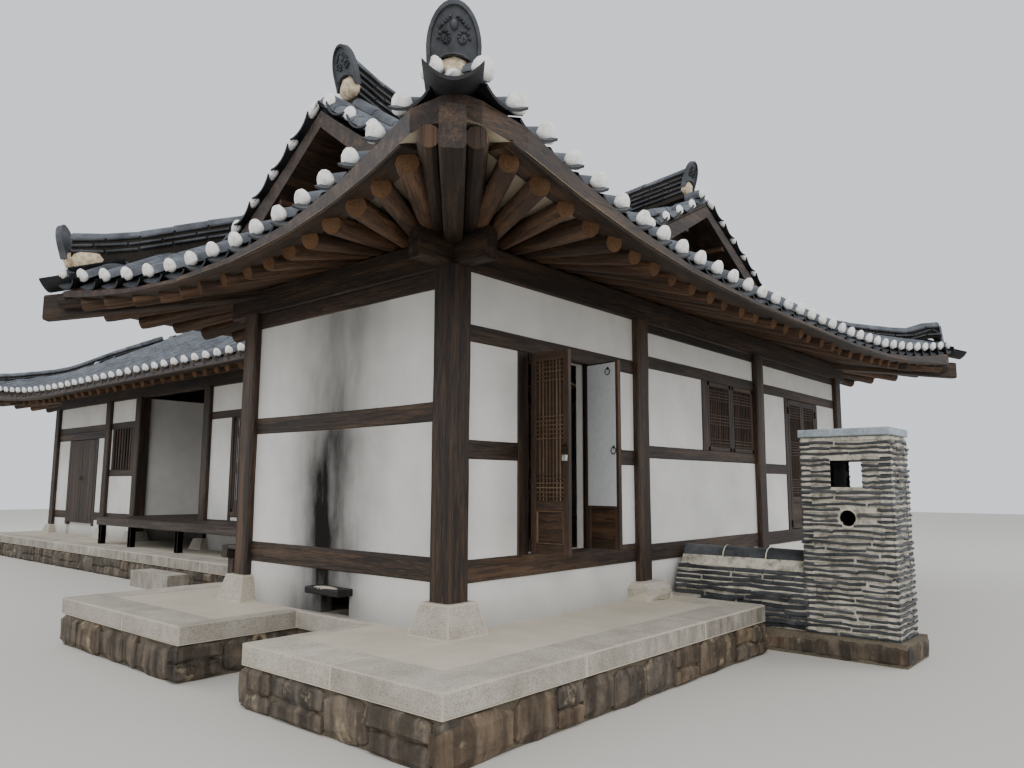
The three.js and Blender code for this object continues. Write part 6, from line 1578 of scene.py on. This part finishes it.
def holes_in(z, place):
    """The stretches of a course that lie in the smoke hole and the round hole, by place(y) on its face."""
    skip = []
    if SMOKE_HOLE["z"][0] - HOLE_FREE < z < SMOKE_HOLE["z"][1] + HOLE_FREE:
        skip.append(sorted(place(y) for y in SMOKE_HOLE["y"]))
    rise = abs(z - ROUND_HOLE["z"])
    if rise < ROUND_HOLE["r"] + HOLE_FREE:
        half = math.sqrt(max((ROUND_HOLE["r"] + 0.014) ** 2 - rise ** 2, 0.0004))
        skip.append(sorted(place(ROUND_HOLE["y"] + k * half) for k in (-1, 1)))
    return skip


def hole_rim(pile, x, out):
    """The mortar ring of the round hole, on the face at x."""
    centre = Vector((x + out.x * 0.006, ROUND_HOLE["y"], ROUND_HOLE["z"]))
    around = 20
    inner, outer = ROUND_HOLE["r"], ROUND_HOLE["r"] + 0.02
    points = []
    for radius, depth in ((outer, -0.03), (outer, 0.004), (inner, 0.008), (inner, -0.1)):
        for angle in (2 * math.pi * k / around for k in range(around)):
            points.append(centre + out * depth + Vector((0, math.cos(angle), math.sin(angle))) * radius)
    pile.add(points, facing(points, ring_faces(4, around, closed=True), out, around + 2), None, 2)


def chimney():
    """The tower's courses with its holes' rims, and its slab."""
    pile = Pile()
    x0, x1 = TOWER["x"]
    y0, y1 = TOWER["y"]
    corners_of = [Vector((x, y, 0)) for x, y in ((x0, y1), (x0, y0), (x1, y0), (x1, y1))]
    outs = [Vector(way) for way in ((-1, 0, 0), (0, -1, 0), (1, 0, 0), (0, 1, 0))]
    places = {0: lambda y: y1 - y, 2: lambda y: y - y0}
    for z in np.arange(TOWER["z"][0] + 0.012, TOWER["z"][1] - 0.01, COURSE_PITCH):
        for face, out in enumerate(outs):
            skip = holes_in(z, places[face]) if face in places else ()
            layer(pile, corners_of[face], corners_of[(face + 1) % 4], out, z, 0.021, skip)
    for face in places:
        hole_rim(pile, corners_of[face].x, outs[face])
    pile.box((x0 - 0.022, y0 - 0.022, 1.845), (x1 + 0.022, y1 + 0.02, 1.912), 0.008, 1, slot=1)
    pile.piece("chimney_tiles", ["stack", "slab", "stack_mortar"], slot="tile_stack",
               replaces=("chimney_cap",))


FLUE_PROFILE = [(3.12, 0.18), (3.08, 0.48), (3.16, 0.65), (3.23, 0.76)]
FLUE_AXIS = 3.34


def flue():
    """The low flue from the wall to the tower: courses on both sides and three round tiles on top."""
    pile = Pile()
    near, far = -1.262, -0.004
    widths, heights = zip(*FLUE_PROFILE)
    for hand in (-1, 1):
        z = 0.20
        while z < 0.68:
            x = float(np.interp(z, heights, widths))
            x = x if hand < 0 else 2 * FLUE_AXIS - x
            layer(pile, Vector((x, far, 0)), Vector((x, near, 0)), Vector((hand, 0, 0)), z, 0.033, gap=0.012)
            z += 0.045
    size = bpy.context.scene.hanok_roof
    across = Vector((1, 0, 0))
    line = [Vector((FLUE_AXIS, y, 0.74)) for y in np.linspace(far, near, 4)]
    for first, second in zip(line, line[1:]):
        way = (second - first).normalized()
        round_tile(pile, (first + way * 0.004, way, across, UP), (second, way, across, UP),
                   0.115, size.tile_thick, 0.0, 11)
    for joint in line[1:3]:
        ring = [Vector((FLUE_AXIS + math.cos(a) * 0.119, joint.y + s, 0.742 + math.sin(a) * 0.119))
                for s in (-0.006, 0.006) for a in np.linspace(0, math.pi, 13)]
        pile.add(ring, facing(ring, ring_faces(2, 13), UP, 6), None, 2)
    pile.piece("flue_tiles", ["stack", "slab", "stack_mortar"], slot="tile_stack")


def chimney_stones():
    """Rough stones round the chimney's base."""
    pile = Pile()
    corners_of = [Vector((x, y, 0)) for x, y in ((3.03, -0.3), (3.03, -2.05), (3.67, -2.05), (3.67, -0.3))]
    outs = [Vector(way) for way in ((-1, 0, 0), (0, -1, 0), (1, 0, 0))]
    for start, stop, out in zip(corners_of, corners_of[1:], outs):
        way = (stop - start).normalized()
        place, length = 0.0, (stop - start).length
        while place < length - 0.04:
            wide = min(DICE.uniform(0.14, 0.34), length - place)
            tall = DICE.uniform(0.14, 0.178)
            boulder(pile, start + way * (place + wide / 2) - out * 0.06 + UP * tall / 2, (way, out, UP),
                    (wide / 2 + 0.005, 0.073, tall / 2), 9, 0.03)
            place += wide
    pile.piece("chimney_stones", ["stone"], slot="rubble")


def firebox():
    """The charred lintel over the firebox, with ash on it."""
    pile = Pile()
    timber(pile, (-0.082, 1.11, 0.569), (0.108, 1.535, 0.622), 1, 0.008, bow=0.006)
    axes = (Vector((0, 1, 0)), UP, Vector((1, 0, 0)))
    lump(pile, Vector((-0.03, 1.33, 0.618)), axes, (0.17, 0.014, 0.045), 0.2, 1)
    pile.piece("firebox_lintel", ["burnt", "soil"], slot="timber_dark", replaces=("firebox_lintel",))


def verandas():
    """Board floors on frames and legs along the courtyard."""
    pile = Pile()
    top, low_top = 0.85, 0.848
    run = (5.54, 10.5)
    timbers(pile, [((1.83, 1.93), run, (top - 0.13, top - 0.002)),
                   ((2.38, 2.45), run, (top - 0.13, top - 0.002))], chamfer=0.01)
    for y in np.linspace(5.54, 10.4, 6):
        timber(pile, (1.93, y, top - 0.12), (2.38, y + 0.10, top - 0.004), 0, 0.006)
    edges = np.linspace(5.64, 10.4, 29)
    for low, high in zip(edges, edges[1:]):
        pile.box((1.93, low + 0.002, top - 0.035), (2.38, high - 0.002, top - 0.004), 0.004, 0)
    for y in (5.6, 7.6, 9.2, 10.35):
        timber(pile, (1.85, y, 0.40), (1.94, y + 0.09, top - 0.12), 2, 0.008)
    run = (0.12, 1.85)
    for y in ((3.10, 3.197), (2.767, 2.83)):
        timbers(pile, [(run, y, (0.73, low_top))], chamfer=0.01)
    edges = np.linspace(0.12, 1.85, 10)
    for low, high in zip(edges, edges[1:]):
        pile.box((low + 0.002, 2.83, 0.815), (high - 0.002, 3.10, 0.846), 0.004, 1)
    for x in (0.18, 1.65):
        timber(pile, (x, 3.10, 0.40), (x + 0.09, 3.19, 0.73), 2, 0.008)
    pile.piece("verandas", ["veranda"], slot="timber_dark", replaces=("veranda",))


# Roof pieces

def dress_cad():
    """Finishes for the CAD nodes that stay in view."""
    plain = {
        "soil": ("granite_kerb",), "clay": ("stone_base", "chimney_base"),
        "granite": ("courtyard_step",), "stack_mortar": ("chimney_tower", "flue"),
        "plaster": ("bay1_wall", "bay2_wall", "bay3_wall", "room_wall", "kitchen_wall", "small_back_wall",
                    "porch_wall", "rear_wall", "far_wall"),
        "sooty": ("end_wall",), "floor": ("inner_floor",), "board": (
            "porch_floor", "gable_small", "gable_long_near", "gable_long_far"),
    }
    for finish_name, nodes in plain.items():
        for node in nodes:
            mesh = NODES[node].data
            mesh.materials.clear()
            mesh.materials.append(M[finish_name])


ROOFS = {
    "roof_small_street": ("street", NEAR_TIP, 5.067), "roof_small_back": ("small_back", NEAR_TIP, 5.067),
    "skirt_small": ("end", NEAR_TIP, LEFT_TIP), "roof_long_court": ("court", -0.2, FAR_TIP),
    "roof_long_rear": ("rear", NEAR_TIP, FAR_TIP), "skirt_long_near": ("street", 1.076, 9.365),
    "skirt_long_far": ("far", COURT_TIP, RIGHT_TIP),
}
# Slot 3 is the near-black tile: weathering and painted shade on the fronts and undersides of deep flat tiles
TILE_FINISHES = ["tile", "flat_tile", "mortar", "weathered_tile_and_shade"]
RIDGE_FINISHES = ["tile", "flat_tile", "bed", "dark_clay"]


def roof_tiles():
    """The rows of tiles of each slope and the bed under them."""
    for node, (side, first, last) in ROOFS.items():
        pile = Pile()
        tile_rows(pile, Rows(node, SIDES[side], first, last))
        pile.piece("tiles_" + node, TILE_FINISHES, slot="tile", smooth=True)
        bed(node).piece("bed_" + node, ["under_plaster", "board"], slot="mortar", replaces=(node,))


def ridge_line(fixed, axis, low, high, node):
    """Points on top of a straight ridge that runs along axis, at fixed on the other one."""
    surface = Surface(node)
    line = []
    for s in np.linspace(low, high, 24):
        place = (fixed, s) if axis == "y" else (s, fixed)
        top = surface.top(*place)
        if top is not None:
            line.append(Vector((*place, top)))
    return line


def level_start(line):
    """The line with its raised first point let down, because the end tile stands in front of it."""
    return [line[0] - UP * 0.20] + line[1:]


def raised_start(line, rise):
    """The line bent up towards its start, where a bed of lime props it."""
    last = len(line) - 1
    return [p + UP * rise * (1 - i / last) ** 2 for i, p in enumerate(line)]


LONG_AXIS = 5.2875
HIGH_RIDGE = {"height": 0.36, "width": 0.21, "courses": 5}
HIP_RIDGE = {"height": 0.21, "width": 0.19, "courses": 3}
LEFT_RIDGE_RISE = 0.15


def ridge_foot(tip):
    """A point over a corner, where its ridge starts."""
    place, z, _ = TIPS[tip]
    return *place, z + 0.09


def corner_ridge(pile, points, tip, rise=0.0):
    """A hip's ridge from its tip upwards. Where it rises at its start, a lump of lime props it."""
    line = level_start(chain(points, Vector(tip)))
    if not rise:
        ridge(pile, line, **HIP_RIDGE)
        return
    line = raised_start(line, rise)
    ridge(pile, line, **HIP_RIDGE, fill=0.2)
    inward = (line[1] - line[0]).normalized()
    axes = (inward, UP, inward.cross(UP))
    lump(pile, line[0] + inward * 0.14 - UP * 0.27, axes, (0.2, 0.12, 0.1), 0.08, 2)


def ridges():
    """The two level ridges, with the far hips in the long one, and the ridges of the other corners."""
    pile = Pile()
    low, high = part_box("ridge_small")
    line = ridge_line((low.y + high.y) / 2, "x", low.x + 0.01, high.x - 0.01, "ridge_small")
    ridge(pile, line, **HIGH_RIDGE)
    pile.piece("ridge_small", RIDGE_FINISHES, slot="tile", replaces=("ridge_small",), smooth=True)
    pile = Pile()
    ridge(pile, ridge_line(LONG_AXIS, "y", 0.955, 13.645, "ridge_long"), **HIGH_RIDGE, both_ends=True)
    hips = stations("ridge_long", HIP_RIDGE["width"])
    for tip, rear in (("far", True), ("court", False)):
        corner_ridge(pile, [p for p in hips if (p.x > LONG_AXIS) == rear], ridge_foot(tip))
    pile.piece("ridge_long", RIDGE_FINISHES, slot="tile", replaces=("ridge_long",), smooth=True)
    starts = {"corner_ridge_" + tip: ridge_foot(tip) for tip in ("near", "left", "right")}
    starts["rake_ridge_court"] = (2.5, 0.78, 3.9)
    for node, start in starts.items():
        pile = Pile()
        rise = LEFT_RIDGE_RISE if node == "corner_ridge_left" else 0.0
        corner_ridge(pile, stations(node, HIP_RIDGE["width"]), start, rise)
        pile.piece(node, RIDGE_FINISHES, slot="tile", replaces=(node,), smooth=True)


def corners():
    """The hollow tiles at the five corners. The left one lies further in, under its raised ridge."""
    pile = Pile()
    for name, (place, z, way) in TIPS.items():
        out = Vector((*way, 0)).normalized()
        tip = Vector((*place, z))
        if name == "left":
            tip = Vector((*place, z + 0.07)) - out * 0.11
        tip_tiles(pile, tip, out)
    pile.piece("corner_tiles", TILE_FINISHES, slot="tile", smooth=True)


RAKE_TILE = 0.22


def rake_tiles(pile, line, out):
    """Short round tiles over a rake, square to it, each with a plug and a hollow front between."""
    size = bpy.context.scene.hanok_roof
    points = even(line, size.row_pitch)
    inward = -out
    for index, (point, way) in enumerate(zip(points, ways(points))):
        along = way.normalized()
        normal = upright(along, inward)
        lift = normal * 0.03
        low = (point + lift, inward, along, normal)
        high = (point + inward * RAKE_TILE + lift, inward, along, normal)
        round_tile(pile, low, high, size.round_radius, size.tile_thick)
        plug(pile, point + lift + out * 0.006 + normal * 0.012, along, normal, out, size.round_radius * 1.02)
        if index + 1 < len(points):
            middle = (point + points[index + 1]) / 2
            low = (middle + lift + out * 0.05, inward, along, normal)
            high = (middle + inward * RAKE_TILE + lift, inward, along, normal)
            flat_tile(pile, low, high, 0.30, size.sag, LIP_THICK, 0.012, True)


def rake_board(pile, line, out):
    """The bargeboard under a rake, and the stubs that carry it."""
    rows = [(p - UP * 0.055 - out * 0.06, out) for p in even(line, 0.4)]
    strip(pile, rows, 0.035, 0.11, 0, 0.006)
    along = Vector((-out.y, out.x, 0))
    for point in even(line, 0.42)[1:-1]:
        base = point - UP * 0.165
        low = base - out * 0.36 - along * 0.045 - UP * 0.095
        high = base - out * 0.03 + along * 0.045
        box_low = [min(a, b) for a, b in zip(low, high)]
        box_high = [max(a, b) for a, b in zip(low, high)]
        pile.box(box_low, box_high, 0.01, None, slot=1)


# Each rake's slope, the axis that it runs along, its place on the other one, its foot, top and side
RAKES = (
    ("roof_small_street", "y", -0.195, 0.15, 1.30, -1), ("roof_small_back", "y", -0.195, 2.62, 1.47, -1),
    ("roof_long_court", "x", 0.665, 3.9, 5.2, -1), ("roof_long_rear", "x", 0.665, 7.6, 5.38, -1),
    ("roof_long_court", "x", 13.935, 3.0, 5.2, 1), ("roof_long_rear", "x", 13.935, 7.6, 5.38, 1),
)
PROBE_IN = 0.03


def rakes():
    """The tiles and boards of the gables' rakes, along the roof shells' edges."""
    tiles, boards = Pile(), Pile()
    for node, axis, at, low, high, side in RAKES:
        surface = Surface(node)
        line = []
        for s in np.linspace(low, high, 14):
            probe = at - side * PROBE_IN
            top = surface.top(*((s, probe) if axis == "x" else (probe, s)))
            if top is not None:
                line.append(Vector((s, at, top) if axis == "x" else (at, s, top)))
        if len(line) > 3:
            out = Vector((0, side, 0) if axis == "x" else (side, 0, 0))
            rake_tiles(tiles, line, out)
            rake_board(boards, line, out)
    tiles.piece("rake_tiles", TILE_FINISHES, slot="tile", smooth=True)
    boards.piece("rake_boards", ["rake_pine", "rafter_pine"], slot="timber_dark")


# Stage

def aim(thing, place, target):
    thing.location = place
    thing.rotation_mode = "QUATERNION"
    thing.rotation_quaternion = (Vector(target) - Vector(place)).to_track_quat("-Z", "Y")


def soft_light(name, place, target, size, power, colour):
    data = bpy.data.lights.new(name, "AREA")
    data.shape, data.size, data.size_y = "RECTANGLE", size[0], size[1]
    data.energy, data.color = power, colour
    made = bpy.data.objects.new(name, data)
    bpy.context.scene.collection.objects.link(made)
    aim(made, place, target)


def studio_stage():
    """A plain pale floor, an overcast sky and the photograph's viewpoint."""
    mesh = bpy.data.meshes.new("studio_floor")
    half = 45
    square = [(-half, -half, 0), (half, -half, 0), (half, half, 0), (-half, half, 0)]
    mesh.from_pydata(square, [], [(0, 1, 2, 3)])
    material, _, shader = finish("studio_floor", 0.9, 0.2)
    shader.inputs["Base Color"].default_value = linear("#c9c5bd")
    mesh.materials.append(material)
    floor = bpy.data.objects.new("studio_floor", mesh)
    floor.location.z = -0.002
    bpy.context.scene.collection.objects.link(floor)
    world = bpy.data.worlds.new("overcast")
    world.use_nodes = True
    sky = world.node_tree.nodes["Background"]
    sky.inputs["Color"].default_value = (0.90, 0.94, 1.0, 1)
    sky.inputs["Strength"].default_value = 1.05
    bpy.context.scene.world = world
    soft_light("sky_key", (-14, -12, 16), (2, 3, 1.5), (16, 16), 2600, (1.0, 0.98, 0.95))
    soft_light("sky_right", (16, -14, 12), (4, 3, 1.5), (12, 12), 1100, (0.95, 0.97, 1.0))
    soft_light("sky_back", (-6, 22, 14), (3, 6, 2), (14, 14), 1300, (0.95, 0.98, 1.0))
    camera = bpy.data.objects.new("camera", bpy.data.cameras.new("camera"))
    camera.data.sensor_width, camera.data.lens = 36.0, 27.397
    camera.data.clip_end = 200
    right = Vector((0.6547, -0.7559, 0.0)).normalized()
    forward = Vector((0.7496, 0.6493, 0.1287)).normalized()
    upward = right.cross(forward).normalized()
    roll = math.radians(0.211)
    right, upward = (right * math.cos(roll) + upward * math.sin(roll),
                     upward * math.cos(roll) - right * math.sin(roll))
    turn = Matrix((right, upward, -forward)).transposed().to_4x4()
    camera.matrix_world = Matrix.Translation((-3.7954, -3.8458, 1.420)) @ turn
    bpy.context.scene.collection.objects.link(camera)
    bpy.context.scene.camera = camera


# Operators

class HANOK_OT_finishes(bpy.types.Operator):
    """Make the materials and dress the plain parts"""
    bl_idname = "hanok.finishes"
    bl_label = "Finishes"

    def execute(self, context):
        make_finishes()
        dress_cad()
        return {"FINISHED"}


class HANOK_OT_roof(bpy.types.Operator):
    """Lay the tiles with their clay bed, corner tiles and rake tiles"""
    bl_idname = "hanok.roof"
    bl_label = "Roof tiles"

    def execute(self, context):
        roof_tiles()
        corners()
        rakes()
        return {"FINISHED"}


class HANOK_OT_ridges(bpy.types.Operator):
    """Build the ridges with their end tiles"""
    bl_idname = "hanok.ridges"
    bl_label = "Ridges"

    def execute(self, context):
        ridges()
        return {"FINISHED"}


class HANOK_OT_timber(bpy.types.Operator):
    """Build the posts, frames, beams, rafters and verandas"""
    bl_idname = "hanok.timber"
    bl_label = "Timber frame"

    def execute(self, context):
        street_frame()
        plates()
        all_rafters()
        court_frame()
        verandas()
        firebox()
        return {"FINISHED"}


class HANOK_OT_walls(bpy.types.Operator):
    """Coat the walls with plaster between the timbers"""
    bl_idname = "hanok.walls"
    bl_label = "Plaster"

    def execute(self, context):
        plaster_skins()
        return {"FINISHED"}


class HANOK_OT_doors(bpy.types.Operator):
    """Build the lattice and plank leaves and the windows"""
    bl_idname = "hanok.doors"
    bl_label = "Doors and windows"

    def execute(self, context):
        doors()
        windows()
        return {"FINISHED"}


class HANOK_OT_platform(bpy.types.Operator):
    """Set the kerb, the footing stones and the rough stones of the platform"""
    bl_idname = "hanok.platform"
    bl_label = "Platform"

    def execute(self, context):
        kerb()
        platform_stones()
        return {"FINISHED"}


class HANOK_OT_chimney(bpy.types.Operator):
    """Stack the tiles of the chimney and of the flue"""
    bl_idname = "hanok.chimney"
    bl_label = "Chimney and flue"

    def execute(self, context):
        chimney()
        flue()
        chimney_stones()
        return {"FINISHED"}


class HANOK_OT_stage(bpy.types.Operator):
    """Set the floor, the lights and the camera"""
    bl_idname = "hanok.stage"
    bl_label = "Stage"

    def execute(self, context):
        studio_stage()
        return {"FINISHED"}


OPERATORS = (HANOK_OT_finishes, HANOK_OT_roof, HANOK_OT_ridges, HANOK_OT_timber, HANOK_OT_walls,
             HANOK_OT_doors, HANOK_OT_platform, HANOK_OT_chimney, HANOK_OT_stage)


class HANOK_PT_panel(bpy.types.Panel):
    bl_label = "Hanok House"
    bl_idname = "HANOK_PT_panel"
    bl_space_type = "VIEW_3D"
    bl_region_type = "UI"
    bl_category = "Hanok"

    def draw(self, context):
        for group in (context.scene.hanok_roof, context.scene.hanok_colours):
            for name in group.__annotations__:
                self.layout.prop(group, name)
        for operator in OPERATORS:
            self.layout.operator(operator.bl_idname)


def register():
    for kind in (RoofSizes, FinishColours, *OPERATORS, HANOK_PT_panel):
        bpy.utils.register_class(kind)
    bpy.types.Scene.hanok_roof = bpy.props.PointerProperty(type=RoofSizes)
    bpy.types.Scene.hanok_colours = bpy.props.PointerProperty(type=FinishColours)


def unregister():
    del bpy.types.Scene.hanok_colours
    del bpy.types.Scene.hanok_roof
    for kind in (HANOK_PT_panel, *reversed(OPERATORS), FinishColours, RoofSizes):
        bpy.utils.unregister_class(kind)


def main():
    register()
    for operator in OPERATORS:
        area, name = operator.bl_idname.split(".")
        getattr(getattr(bpy.ops, area), name)()


if __name__ == "__main__":
    main()
